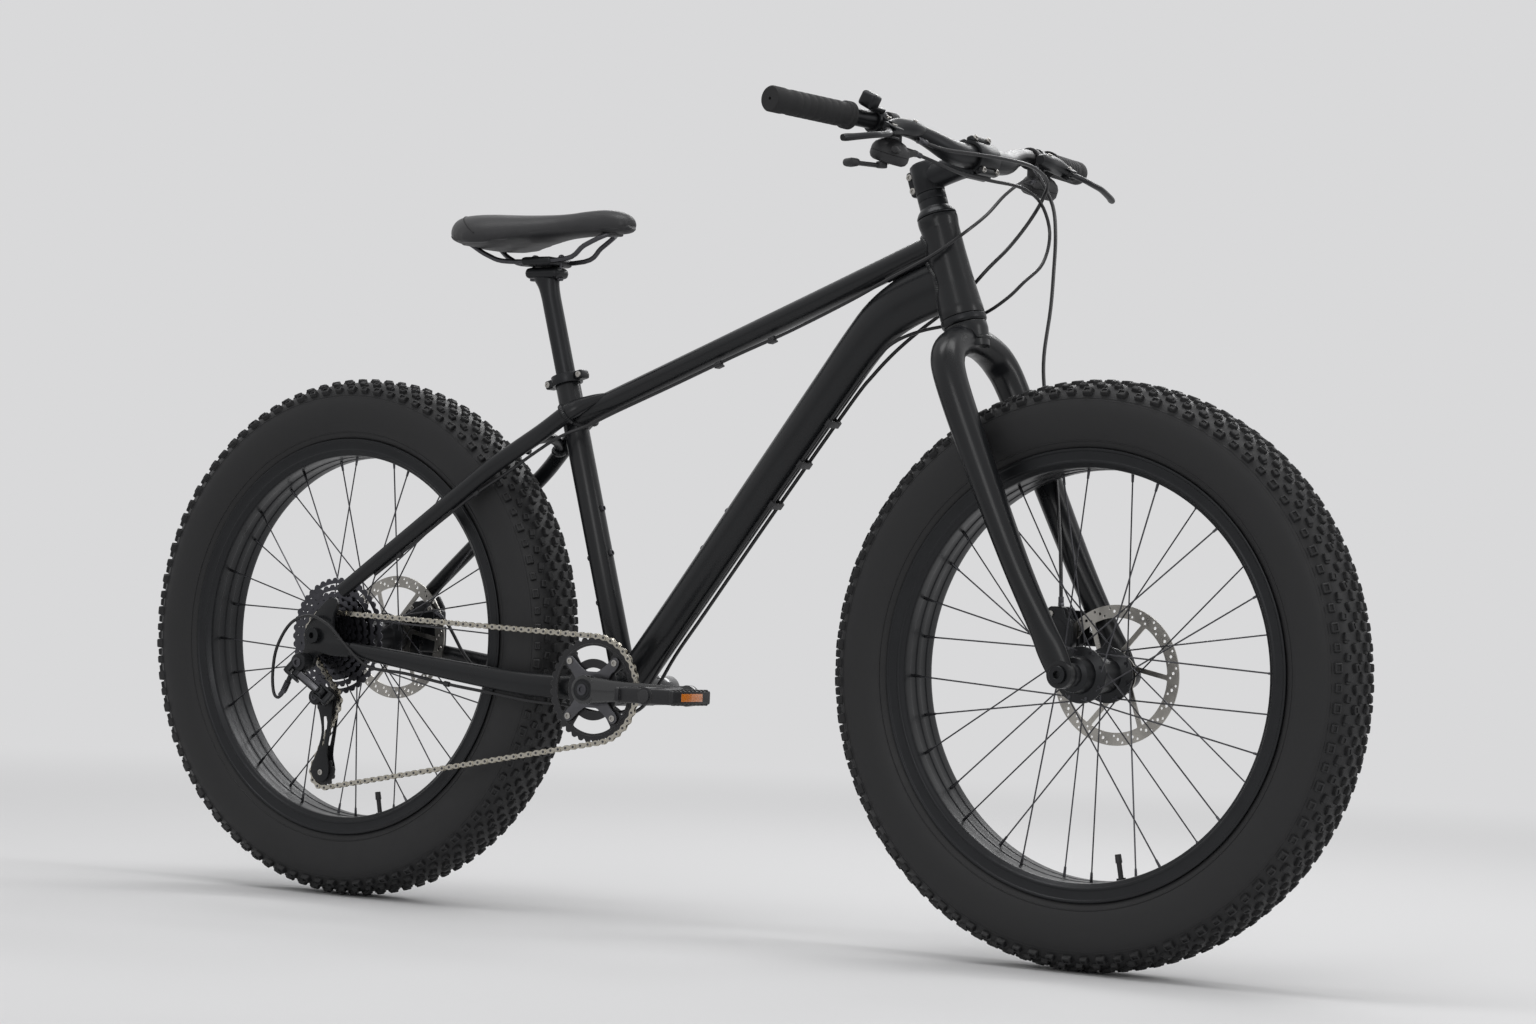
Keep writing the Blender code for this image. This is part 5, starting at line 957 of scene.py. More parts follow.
def make_stays(loops):
    """Both chainstays and seatstays with their dropouts, and the bridge."""
    tip = [(-0.17, 0.011, 0.727, 0.002, 0.002), (-0.185, 0.0148, 0.7205, 0.0066, 0.005),
        (-0.2, 0.0182, 0.714, 0.0096, 0.0074)]
    bridge = [(-0.2905, 0.044, 0.647), (-0.283, 0.03, 0.659), (-0.279, 0.015, 0.664)]
    top, below = Vector(SEATSTAY[1][:3]), Vector(SEATSTAY[2][:3])
    for side, label in SIDES:
        stay = loft(sided(CHAINSTAY[::-1], side), 28, 4, cope=SHELL_COPE, loops=loops)
        outlines = [rounded(dropout_outline(label == "right"), 0.0035, 2), circle(0, 0, 0.0062, 24)]
        if label == "right":
            outlines.append(circle(-0.0125, -0.039, 0.0044, 20))
        parts = [stay, plate(outlines, 0.008, upright(side * DROPOUT_Y, REAR_AXLE), 0.0011, 2)]
        upper = [loft(sided(tip + SEATSTAY, side), 28, 4)]
        if label == "left":
            parts.append(block((0.044, 0.011, 0.04), REAR_AXLE + Vector((0.056, 0.095, -0.0003)),
                bevel=0.003))
            arch = sided(bridge, -1) + [(-0.278, 0.0, 0.6655)] + bridge[::-1]
            upper.append(tube(smoothed(arch, 4), 0.0075, 5))
        add_piece("chainstay_" + label, parts, COAT, "frame")
        add_piece("seatstay_" + label, upper, COAT, "frame")
        place = facing(mirrored(top, side), mirrored((top - below).normalized(), side))
        loops.append(laid(place, [(0.0098 * x, 0.0127 * y) for x, y in circle(0, 0, 1, 32)]))
        arch_end, before = Vector((-0.288, side * 0.0395, 0.65)), Vector((-0.283, side * 0.03, 0.659))
        loops.append(laid(facing(arch_end, arch_end - before), circle(0, 0, 0.0078, 24)))


def make_welds(loops):
    radius = bpy.context.scene.bicycle_sizes.weld_radius
    beads = [weld_bead(loop, radius) for loop in loops]
    # The top tube lies on the down tube for a hand's width, joined by a bead on each side
    for side in (-1, 1):
        line = smoothed([(0.278, side * 0.008, 0.88), (0.3, side * 0.01, 0.8895),
            (0.325, side * 0.0106, 0.8985), (0.348, side * 0.0106, 0.907)], 6)
        beads.append(tube(line, radius * 1.4, 3))
    add_piece("frame_welds", joined(*beads), COAT, "frame")


def make_frame_fittings():
    """Seat collar, lower headset cup and bottle bosses."""
    collar = [ring(SEAT_TUBE_RADIUS + 0.0002, 0.0218, 0.438, 0.452, 48, 0.0012, ALONG_SEAT)]
    bolts = []
    for ahead in (-0.0262, 0.0262):
        centre = BRACKET + SEAT_UP * 0.445 + (SEAT_TURN @ Vector((ahead, 0, 0)))
        collar.append(block((0.013, 0.02, 0.0125), centre, SEAT_TURN, 0.003))
        spot = centre + (SEAT_TURN @ Vector((copysign(0.0012, ahead), -0.0098, 0)))
        bolts += [bolt(0.0042, 0.0014, spot, -LEFTWARD), disc(0.004, 0, 0.0012, 16, 0.0003,
            facing(spot + LEFTWARD * 0.0196, LEFTWARD))]
    add_piece("seat_collar", collar, ANODISED, "frame")
    add_piece("seat_collar_bolts", bolts, PLATED, "frame")
    cup = [(0.015, -0.1403), (0.0302, -0.1403), (0.0302, -0.147), (0.0285, -0.15), (0.015, -0.15)]
    add_piece("headset_lower_cup", turned(rounded(cup, 0.0008, 2), 48, ALONG_STEERER), ANODISED, "frame")
    low, high = Vector(DOWN_TUBE[1][:3]), Vector(DOWN_TUBE[2][:3])
    along = (high - low).normalized()
    over, forward = Vector((-along.z, 0, along.x)), Vector((SEAT_UP.z, 0, -SEAT_UP.x))
    spots = [(low + along * reach, over, lift) for reach, lift in ((0.07, 0.0248), (0.134, 0.0256))]
    spots += [(BRACKET + SEAT_UP * up, forward * way, SEAT_TUBE_RADIUS)
        for up, way in ((0.19, 1), (0.254, 1), (0.128, -1), (0.192, -1))]
    bosses, heads = [], []
    for centre, outward, lift in spots:
        foot = centre + outward * (lift - 0.001)
        bosses.append(disc(0.0052, 0, 0.0024, 20, 0.0006, facing(foot, outward)))
        heads.append(bolt(0.004, 0.0024, foot + outward * 0.0022, outward))
    add_piece("bottle_bosses", bosses, COAT, "frame")
    add_piece("bottle_boss_bolts", heads, DARK_STEEL, "frame")


def make_fork():
    """The welded fork: steerer, arched crown and legs in one tube line, and its dropouts."""
    leg = [(0.646, 0.0555, 0.0845, 0.007, 0.013), (0.632, 0.0532, 0.0845, 0.0084, 0.018),
        (0.604, 0.0486, 0.0845, 0.0094, 0.0196), (0.57, 0.0432, 0.0842, 0.012, 0.0176),
        (0.48, 0.029, 0.0832, 0.0172, 0.0178), (0.34, 0.013, 0.0812, 0.02, 0.02),
        (0.235, 0.003, 0.078, 0.0212, 0.0212), (0.196, 0.0, 0.064, 0.0222, 0.0222),
        (0.178, 0.0, 0.036, 0.021, 0.021), (0.172, 0.0, 0.01, 0.02, 0.02)]
    rows = [(*steer_point(*row[:3]), *row[3:]) for row in leg]
    steerer = [(0.004, 0.07), (0.0143, 0.07), (0.0143, -0.1506), (0.0285, -0.1506), (0.029, -0.16),
        (0.025, -0.185), (0.004, -0.186)]
    parts = [loft(rows + sided(rows[::-1], -1), 36, 6, reference=STEER_AHEAD),
        turned(rounded(steerer, 0.0014, 2), 48, ALONG_STEERER)]
    parts += [ring(0.0077, 0.0175, low, low + 0.0185, 40, 0.0016, axled(FRONT_AXLE))
        for low in (-0.0935, 0.075)]
    bracket = [(-0.029, 0.035), (-0.029, 0.081), (-0.05, 0.078), (-0.062, 0.08), (-0.078, 0.081),
        (-0.078, 0.07), (-0.064, 0.056), (-0.06, 0.035)]
    parts.append(plate([rounded(bracket, 0.003, 3), circle(-0.047, 0.06, 0.007, 24)], 0.0084,
        upright(0.0795, FRONT_AXLE), 0.0008))
    crown_cope = (steer_point(0.174), LEFTWARD, 0.0212)
    parts.append(weld_bead(seam(steer_point(0.14), STEER_DOWN, 0.0262, crown_cope), 0.0028))
    add_piece("fork", parts, COAT, "steering")
    cover = [(0.0147, 0.033), (0.0192, 0.033), (0.0192, 0.0232), (0.0186, 0.0229), (0.0192, 0.0226),
        (0.0192, 0.0125), (0.023, 0.0085), (0.0262, 0.003), (0.0264, 0.0004), (0.0147, 0.0004)]
    add_piece("headset_cover_and_spacers", turned(rounded(cover, 0.0006, 2), 48, ALONG_STEERER), ANODISED,
        "steering")
    front = [(0, 0.0925), (0.0068, 0.0925), (0.0075, 0.0918), (0.0075, -0.0938), (0.0108, -0.0938),
        (0.0112, -0.0944), (0.0112, -0.0978), (0.0106, -0.0985), (0.0052, -0.0985), (0.0048, -0.098),
        (0.0048, -0.0925), (0, -0.0925)]
    rear = [(0, 0.11), (0.0098, 0.11), (0.0105, 0.1093), (0.0105, 0.1034), (0.006, 0.1034),
        (0.006, -0.1034), (0.0115, -0.1034), (0.0115, -0.1093), (0.0108, -0.11), (0.0045, -0.11),
        (0.0042, -0.1095), (0.0042, -0.104), (0, -0.104)]
    add_piece("front_axle", turned(front, 32, axled(FRONT_AXLE)), ANODISED, "steering")
    add_piece("rear_axle", turned(rear, 32, axled(REAR_AXLE)), ANODISED, "frame")


BAR_CENTRE = steer_point(-STEM_HEIGHT, STEM_LENGTH)
BAR_HALF_POINTS = [(0.044, 0.0, 0.0), (0.075, -0.002, 0.003), (0.105, -0.009, 0.012),
    (0.135, -0.0155, 0.019), (0.165, -0.022, 0.0221), (0.381, -0.0678, 0.029)]
GRIP_START = 0.25
LEVER_PIVOT_Y = 0.223
LEVER_DROP = Matrix.Rotation(radians(28), 4, "Y")
POD_CENTRE = Vector((0.389, -0.19, 1.0195))
THUMB_PIVOT = POD_CENTRE + Vector((-0.004, -0.012, -0.0165))
RELEASE_PIVOT = POD_CENTRE + Vector((0.012, -0.018, 0.0))


def bar_point(y):
    """A point on the straight outer part of the handlebar's left half."""
    (y0, x0, z0), (y1, x1, z1) = BAR_HALF_POINTS[-2:]
    t = (y - y0) / (y1 - y0)
    return BAR_CENTRE + Vector((x0 + (x1 - x0) * t, y, z0 + (z1 - z0) * t))


def lever_place(y, ahead, up):
    """A point given from the bar at y, along and square to the lever's tilted plane."""
    return bar_point(y) + (LEVER_DROP @ Vector((ahead, 0.0, up)))


def lever_pivot():
    return lever_place(LEVER_PIVOT_Y, 0.044, 0.005)


def on_bar(low, high, side):
    """A place on the bar at one side whose local Z points outwards, and its length."""
    start, end = mirrored(bar_point(low), side), mirrored(bar_point(high), side)
    return facing(start, end - start), (end - start).length


def half_clamp(outer, ahead, way):
    """Half of the ring round the bar: what lies behind the cut, or before it where way is -1."""
    clamp = ring(0.0161, outer, -0.024, 0.024, 48, 0.001, axled(BAR_CENTRE))
    return clipped(clamp, BAR_CENTRE + STEER_AHEAD * ahead, STEER_AHEAD * way)


def lugs(ahead, size, drop):
    """Clamp lugs above and below the bar."""
    return [block(size, BAR_CENTRE + STEER_AHEAD * ahead + STEER_DOWN * up * drop, STEER_TURN, 0.003)
        for up in (-1, 1)]


def make_stem():
    """The stem with its split steerer clamp, its cap, and the faceplate with all their bolts."""
    clamp = disc(0.0195, 0.0334, 0.0734, 48, 0.002, ALONG_STEERER)
    sections = ((0.001, 0.004, 0.018, 0.017), (0.0008, 0.025, 0.0172, 0.0168),
        (0.0004, 0.05, 0.0175, 0.018), (0, STEM_LENGTH - 0.014, 0.0188, 0.0215))
    arm = loft([(*steer_point(-STEM_HEIGHT - rise, ahead), *size) for rise, ahead, *size in sections], 36,
        4)
    barrel = half_clamp(0.0215, 0.0009, 1)
    bolt_box = block((0.012, 0.016, 0.035), steer_point(-STEM_HEIGHT - 0.001, -0.02), STEER_TURN, 0.004)
    stem = [clamp, arm, bolt_box, barrel, *lugs(-0.0065, (0.014, 0.047, 0.0085), 0.0215)]
    add_piece("stem", stem, ANODISED, "steering")
    add_piece("stem_cap", disc(0.0165, 0.073, 0.0752, 40, 0.0008, ALONG_STEERER), ANODISED, "steering")
    cover = half_clamp(0.0213, 0.0016, -1)
    add_piece("stem_faceplate", [cover, *lugs(0.0075, (0.01, 0.047, 0.0088), 0.0218)], ANODISED,
        "steering")
    fasteners = [bolt(0.0044, 0.0022, steer_point(-STEM_HEIGHT - 0.001 + up, -0.0205, -0.0078), -LEFTWARD)
        for up in (-0.0095, 0.0095)]
    fasteners.append(bolt(0.005, 0.0016, steer_point(-0.075), -STEER_DOWN))
    for up in (-1, 1):
        for y in (-0.0165, 0.0165):
            spot = BAR_CENTRE + STEER_AHEAD * 0.0122 + STEER_DOWN * up * 0.0222 + LEFTWARD * y
            fasteners.append(bolt(0.004, 0.0026, spot, STEER_AHEAD))
    add_piece("stem_bolts", fasteners, PLATED, "steering")


def make_handlebar():
    radii = (BAR_RADIUS, 0.015, 0.0128, BAR_TIP_RADIUS, BAR_TIP_RADIUS)
    half = [(*(BAR_CENTRE + Vector((x, y, z))), radius, radius)
        for (y, x, z), radius in zip(BAR_HALF_POINTS, radii)]
    half += [(*bar_point(y), BAR_TIP_RADIUS, BAR_TIP_RADIUS) for y in (0.19, 0.26, 0.381)]
    rows = sided(half[::-1], -1) + [(*BAR_CENTRE, BAR_RADIUS, BAR_RADIUS)] + half
    add_piece("handlebar", loft(rows, 32, 5, reference=UPWARD), ANODISED, "steering")


def make_grips():
    """Rubber grips: a flanged inner ring, raised pads, and an end plug with its hole."""
    ribs = bpy.context.scene.bicycle_sizes.grip_ribs
    for side, label in SIDES:
        place, length = on_bar(GRIP_START, 0.381, side)
        end = length + 0.0042
        profile = [(0.0112, 0.0), (0.0178, 0.0), (0.0178, 0.0036), (0.0168, 0.0046), (0.0168, 0.0058),
            (0.0176, 0.0066), (0.0176, 0.009), (0.0156, 0.0108)]
        first, last = 0.02, end - 0.03
        step = (last - first) / ribs
        for rib in range(ribs):
            low = first + step * rib
            profile += [(0.0155, low), (0.016, low + 0.0012), (0.016, low + step - 0.0034),
                (0.0155, low + step - 0.0022)]
        profile += [(0.0155, end - 0.024), (0.0163, end - 0.02), (0.0163, end - 0.002), (0.015, end),
            (0.002, end), (0.002, end - 0.002), (0.0112, end - 0.002)]
        add_piece("grip_" + label, turned(profile, 48, place), GRIP_RUBBER, "steering", sharp=40)


def make_levers():
    """Hydraulic brake levers: master cylinder body, bar clamp, blade and bolts."""
    up = (LEVER_DROP @ UPWARD).normalized()
    stations = [(0.15, 0.0245, 0.008, 0.006), (0.158, 0.025, 0.008, 0.0088),
        (0.172, 0.027, 0.008, 0.0108), (0.19, 0.0288, 0.0078, 0.0112), (0.204, 0.0316, 0.007, 0.011),
        (0.222, 0.039, 0.0055, 0.0094)]
    blade = [(0.0, 0.0, 0.0, 0.0038, 0.0058), (0.014, 0.005, 0.0, 0.0038, 0.006),
        (0.028, 0.0148, -0.0005, 0.0038, 0.005), (0.048, 0.0195, -0.003, 0.0039, 0.0042),
        (0.068, 0.0211, -0.0057, 0.0041, 0.004), (0.1, 0.019, -0.0135, 0.0044, 0.0042),
        (0.114, 0.0168, -0.0174, 0.0048, 0.0048), (0.12, 0.016, -0.019, 0.0042, 0.0044)]
    for side, label in SIDES:
        def spot(*offsets):
            return mirrored(lever_place(*offsets), side)
        pivot = mirrored(lever_pivot(), side)
        body = loft([(*spot(*offsets), half, half) for *offsets, half in stations], 28, 4, reference=up)
        band_place, band_length = on_bar(0.196, 0.21, side)
        band = ring(0.0113, 0.0158, 0, band_length, 40, 0.001, band_place)
        blocks = [((0.023, 0.013, 0.012), spot(0.203, 0.019, 0.005), 0.002)]
        blocks += [((0.0205, 0.0185, 0.0032), pivot + up * rise, 0.0014) for rise in (-0.006, 0.006)]
        blocks.append(((0.007, 0.012, 0.015), spot(0.2135, 0.0375, 0.0052), 0.0014))
        if label == "right":
            blocks += [((0.022, 0.02, 0.02), spot(0.233, 0.004, 0.026), 0.0045),
                ((0.012, 0.03, 0.006), spot(0.22, 0.006, 0.018), 0.002)]
        parts = [body, band] + [block(size, centre, LEVER_DROP, bevel) for size, centre, bevel in blocks]
        add_piece("brake_lever_body_" + label, parts, ANODISED, "steering")
        heads = ((0.0036, 0.0016, pivot + up * 0.0076), (0.0036, 0.003, spot(0.203, 0.015, 0.0112)),
            (0.003, 0.0014, spot(0.172, 0.027, 0.0185)))
        add_piece("brake_lever_bolts_" + label, [bolt(*head, up, 18) for head in heads], PLATED,
            "steering")
        rows = [(*(pivot + LEVER_DROP @ Vector((ahead, side * out, rise))), wide, high)
            for out, ahead, rise, high, wide in blade]
        eye = disc(0.0058, -0.0038, 0.0038, 28, 0.0008, facing(pivot, up))
        add_piece("brake_lever_blade_" + label, [loft(rows, 24, 5, reference=up), eye], ANODISED,
            "brake_blade_" + label)


def make_shifters():
    """Shifter pods under the bar, and the two paddles of the right one."""
    lean = Matrix.Rotation(radians(18), 4, "Y")
    profile = [(0, 0.019), (0.008, 0.0182), (0.016, 0.015), (0.0222, 0.01), (0.0248, 0.0046),
        (0.0252, 0.0004), (0.0245, 0.0), (0.0252, -0.0004), (0.025, -0.006), (0.0228, -0.01),
        (0.019, -0.0122), (0, -0.013)]
    for side, label in SIDES:
        centre = mirrored(POD_CENTRE, -side)
        place = Matrix.Translation(centre) @ lean
        hanger = block((0.022, 0.015, 0.033), centre + Vector((-0.002, -side * 0.009, 0.0205)),
            bevel=0.0052)
        ring_place, length = on_bar(0.172, 0.186, side)
        start, end = centre + Vector((0.008, -side * 0.015, 0.002)), centre + Vector((0.012,
            -side * 0.038, 0.004))
        parts = [turned(profile, 44, place), hanger, ring(0.0113, 0.015, 0, length, 40, 0.001,
            ring_place), stick(start, end, 0.0088, 0.0042, 24)]
        parts += [disc(0.005, -0.0008, 0.0008, 20, 0.0003, facing(start.lerp(end, 0.4 + 0.1 * step),
            end - start)) for step in range(5)]
        add_piece("shifter_body_" + label, parts, NYLON, "steering")
        screw = bolt(0.003, 0.0014, place @ Vector((0, 0, -0.0128)), -(lean @ UPWARD), 16)
        add_piece("shifter_screw_" + label, screw, PLATED, "steering")
    turn = Matrix.Rotation(radians(-24), 4, "Z")
    thumb = [block((0.015, 0.044, 0.0046), THUMB_PIVOT + Vector((-0.012, -0.016, 0)), turn, 0.002),
        block((0.021, 0.017, 0.0106), THUMB_PIVOT + Vector((-0.0215, -0.037, 0)), turn, 0.005),
        rod(THUMB_PIVOT - UPWARD * 0.0034, THUMB_PIVOT + UPWARD * 0.0046, 0.0072, 28, 0.001)]
    add_piece("shifter_thumb_lever", thumb, NYLON, "shift_thumb")
    release = block((0.008, 0.03, 0.006), RELEASE_PIVOT + Vector((0.0142, -0.0095, 0)),
        Matrix.Rotation(radians(25), 4, "Z"), 0.0022)
    add_piece("shifter_release_lever", release, NYLON, "shift_release")


def make_seatpost():
    """The post with its swollen head, the saddle clamp with its bolts, and the rails."""
    profile = [(0, 0.603), (0.0126, 0.603), (SEATPOST_RADIUS, 0.602), (SEATPOST_RADIUS, 0.25),
        (0.012, 0.249), (0, 0.249)]
    cradle = block((0.058, 0.034, 0.016), Vector((-0.2935, 0, 0.897)), bevel=0.0076)
    sections = ((0.56, 0.0134, 0.0134), (0.58, 0.015, 0.0136), (0.592, 0.019, 0.0138),
        (0.599, 0.0225, 0.014))
    throat = loft([(*(BRACKET + SEAT_UP * up), high, wide) for up, high, wide in sections], 32, 4)
    add_piece("seatpost", [turned(profile, 48, ALONG_SEAT), throat, cradle], ANODISED, "seat")
    clamp = block((0.054, 0.056, 0.0128), Vector((-0.2945, 0, 0.9125)), bevel=0.006)
    add_piece("saddle_clamp", clamp, ANODISED, "seat")
    bolts = []
    for ahead in (-0.0235, 0.0235):
        foot = Vector((-0.2935 + ahead, 0, 0.8905))
        bolts += [bolt(0.0048, 0.004, foot, -UPWARD), stick(foot, foot + UPWARD * 0.032, 0.0025,
            steps=12), disc(0.0052, 0.0, 0.006, 20, 0.0006, facing(foot + UPWARD * 0.028, LEFTWARD))]
    add_piece("saddle_clamp_bolts", bolts, DARK_STEEL, "seat")
    rails = [(-0.405, -0.033, 0.937), (-0.38, -0.026, 0.922), (-0.345, -0.022, 0.913),
        (-0.245, -0.022, 0.915), (-0.215, -0.02, 0.933), (-0.185, -0.011, 0.948), (-0.178, 0.0, 0.9495)]
    path = smoothed(rails, 5)
    path += [mirrored(point, -1) for point in reversed(path[:-1])]
    add_piece("saddle_rails", tube(path, 0.0035, 5), DARK_STEEL, "seat")


SADDLE_STATIONS = [(-0.442, 0.03, 0.968, 0.95), (-0.42, 0.062, 0.979, 0.939),
    (-0.375, 0.075, 0.9805, 0.933), (-0.32, 0.056, 0.978, 0.9405), (-0.26, 0.033, 0.979, 0.948),
    (-0.195, 0.0235, 0.985, 0.9515), (-0.159, 0.021, 0.98, 0.953), (-0.146, 0.012, 0.971, 0.957)]


def saddle_form():
    """The padded top as rings of points, each crowned and tucked under at its skirt."""
    outline = [(0.0, 0.985), (0.3, 1.0), (0.62, 0.93), (0.86, 0.74), (0.98, 0.45), (1.0, 0.12),
        (0.95, -0.01), (0.82, 0.03), (0.45, 0.16), (0.0, 0.22)]
    section = outline + [(-across, rise) for across, rise in reversed(outline[1:-1])]
    shape = bmesh.new()
    before = None
    for x, half, crown, skirt in smoothed(SADDLE_STATIONS, 4):
        verts = [shape.verts.new((x, across * half, skirt + rise * (crown - skirt)))
            for across, rise in section]
        edges = [shape.edges.new((vert, verts[index - 1])) for index, vert in enumerate(verts)]
        if before:
            bmesh.ops.bridge_loops(shape, edges=before + edges)
        else:
            bmesh.ops.contextual_create(shape, geom=edges)
        before = edges
    bmesh.ops.contextual_create(shape, geom=before)
    bmesh.ops.recalc_face_normals(shape, faces=shape.faces)
    return shape


def puffed(item, cap, frames=20):
    """Blows a padded piece up as stretched cloth, and holds each point within the cap."""
    remesh = item.modifiers.new("remesh", "REMESH")
    remesh.mode = "VOXEL"
    remesh.voxel_size = 0.0045
    settle(item)
    rest = [vert.co.copy() for vert in item.data.vertices]
    glued = item.vertex_groups.new(name="glued_to_shell")
    glued.add([vert.index for vert in item.data.vertices if vert.normal.z < -0.25], 1.0, "REPLACE")
    cloth = item.modifiers.new("cloth", "CLOTH")
    for key, value in {"quality": 6, "mass": 0.3, "tension_stiffness": 30, "compression_stiffness": 30,
            "bending_stiffness": 8, "use_pressure": True, "uniform_pressure_force": 2.5,
            "vertex_group_mass": glued.name}.items():
        setattr(cloth.settings, key, value)
    cloth.settings.effector_weights.gravity = 0.0
    cloth.point_cache.frame_start = 1
    cloth.point_cache.frame_end = frames
    scene = bpy.context.scene
    for number in range(1, frames + 1):
        scene.frame_set(number)
    settle(item)
    scene.frame_set(1)
    for vert, start in zip(item.data.vertices, rest):
        move = vert.co - start
        if move.length > cap:
            vert.co = start + move * (cap / move.length)


def settle(item):
    """Applies an object's modifiers to its mesh."""
    graph = bpy.context.evaluated_depsgraph_get()
    mesh = bpy.data.meshes.new_from_object(item.evaluated_get(graph))
    item.modifiers.clear()
    before = item.data
    item.data = mesh
    bpy.data.meshes.remove(before)


def seam_line(item):
    """Lays the cover's rear seam on the finished pad, from skirt to skirt."""
    surface = BVHTree.FromObject(item, bpy.context.evaluated_depsgraph_get())
    line = []
    for step in range(41):
        across = -1 + step / 20
        turn = across * radians(100)
        start = Vector((-0.425 + 0.046 * across ** 2, 0, 0.956))
        out = Vector((0.12 * across ** 2, sin(turn), cos(turn) * 0.55)).normalized()
        hit = surface.ray_cast(start + out * 0.2, -out)[0]
        if hit:
            line.append(hit + out * 0.0002)
    add_piece("saddle_seam", tube(line, 0.0009, 3), GRIP_RUBBER, "seat")


def rounded_off(item):
    """Subdivides a piece once and settles it."""
    smoothing = item.modifiers.new("rounding", "SUBSURF")
    smoothing.levels = smoothing.render_levels = 1
    settle(item)


def make_saddle():
    """The padded saddle with its cover's seam, and the stiff shell under it."""
    item = add_piece("saddle", saddle_form(), COVER, "seat", sharp=180)
    rounded_off(item)
    puffed(item, 0.0018)
    soft = bmesh.new()
    soft.from_mesh(item.data)
    for _ in range(8):
        bmesh.ops.smooth_vert(soft, verts=soft.verts, factor=0.5, use_axis_x=True, use_axis_y=True,
            use_axis_z=True)
    soft.to_mesh(item.data)
    soft.free()
    rounded_off(item)
    item.data.shade_smooth()
    if not item.data.materials:
        item.data.materials.append(bpy.data.materials[COVER])
    seam_line(item)
    base = loft([(min(max(x, -0.436), -0.151), 0, skirt + 0.0062, 0.009,
        half * (0.95 if x < -0.25 else 0.84)) for x, half, _, skirt in SADDLE_STATIONS], 36, 4)
    holders = [block((0.024, 0.09, 0.01), Vector((-0.402, 0, 0.94)), bevel=0.003),
        block((0.026, 0.022, 0.012), Vector((-0.182, 0, 0.953)), bevel=0.003)]
    add_piece("saddle_shell", [base, *holders], NYLON, "seat")


def tooth_outline(teeth, root, tip, turn=0.0):
    """A sprocket's edge: rounded roots at the pitch line and narrow tips."""
    flank = root * 0.2 + tip * 0.8
    steps = ((0.0, root), (0.14, root), (0.34, flank), (0.44, tip), (0.7, tip), (0.8, flank))
    return [polar(cog_radius(teeth) + height, turn + 2 * pi * (tooth + part - 0.07) / teeth)
        for tooth in range(teeth) for part, height in steps]


def cog_radius(teeth):
    return teeth * PITCH / (2 * pi)


def cog_y(index):
    return FIRST_COG_Y + COG_SPACING * index


def make_cassette():
    """Eleven cogs on their carrier, with a lock ring at the small end."""
    cogs = []
    for index, teeth in enumerate(COG_TEETH):
        outlines = [tooth_outline(teeth, -0.0042, -0.0008, index * 0.37), circle(0, 0, 0.0172, 24)]
        radius = cog_radius(teeth)
        if radius > 0.036:
            inner, outer = radius - 0.0215, radius - 0.009
            if index < len(COG_TEETH) - 1:
                inner = max(inner, 0.0215)
            for arm in range(6):
                start, end = [2 * pi * (arm + share) / 6 + index * 0.12 for share in (0.1, 0.9)]
                outlines.append(rounded(arc(outer, start, end, 6) + arc(inner, end, start, 3), 0.0016, 1))
        cogs.append(plate(outlines, 0.0016, upright(cog_y(index), REAR_AXLE)))
    place = axled(REAR_AXLE)
    cogs.append(ring(0.0063, 0.018, FIRST_COG_Y - 0.003, cog_y(10) + 0.0008, 40, 0.0006, place))
    cogs.append(ring(0.0063, 0.0295, cog_y(9) + 0.0012, cog_y(10) + 0.0018, 40, 0.0006, place))
    add_piece("cassette", cogs, COG_STEEL, "cassette")
    lock = plate([notched((0.0165, 0.0165, 0.0152, 0.0152)), circle(0, 0, 0.01, 24)], 0.002,
        upright(FIRST_COG_Y - 0.004, REAR_AXLE), 0.0003)
    add_piece("cassette_lock_ring", lock, DARK_STEEL, "cassette")


SPIDER_Y = RING_Y - 0.0034
SPIDER_THICKNESS = 0.004


def make_chainring():
    """The chainring, its four armed spider and the bolts between them."""
    outlines = [tooth_outline(RING_TEETH, -0.0042, -0.0006)]
    for arm in range(4):
        start, end = radians(90 * arm - 33), radians(90 * arm + 33)
        outlines.append(rounded(arc(0.06, start, end, 10) + arc(0.042, end, start, 8), 0.005, 3))
    outlines.append(circle(0, 0, 0.03, 36))
    rib = ring(0.0602, 0.0632, -0.0019, 0.0, 72, 0.0005, axled(BRACKET + LEFTWARD * RING_Y))
    add_piece("chainring", [plate(outlines, 0.0018, upright(RING_Y, BRACKET)), rib], WORN_ALLOY, "cranks")
    middles = [radians(45 + 90 * arm) for arm in range(4)]
    edge = ((-0.4, 0.0265), (-0.19, 0.04), (-0.145, 0.052), (-0.1, 0.059))
    arm_edge = edge + ((0.0, 0.0605),) + tuple((-turn, radius) for turn, radius in reversed(edge))
    star = [polar(radius, middle + turn) for middle in middles for turn, radius in arm_edge]
    bolts = []
    for middle in middles:
        spot = around(BRACKET, 0.053, middle, SPIDER_Y - SPIDER_THICKNESS / 2)
        bolts += [bolt(0.0046, 0.0016, spot, -LEFTWARD), disc(0.0046, 0, 0.0012, 20, 0.0003,
            facing(spot + LEFTWARD * 0.006, LEFTWARD))]
    add_piece("chainring_bolts", bolts, PLATED, "cranks")
    spider = plate([rounded(star, 0.002, 1)], SPIDER_THICKNESS, upright(SPIDER_Y, BRACKET), 0.0008, 2)
    add_piece("crank_spider", spider, SPIDER_METAL, "cranks")


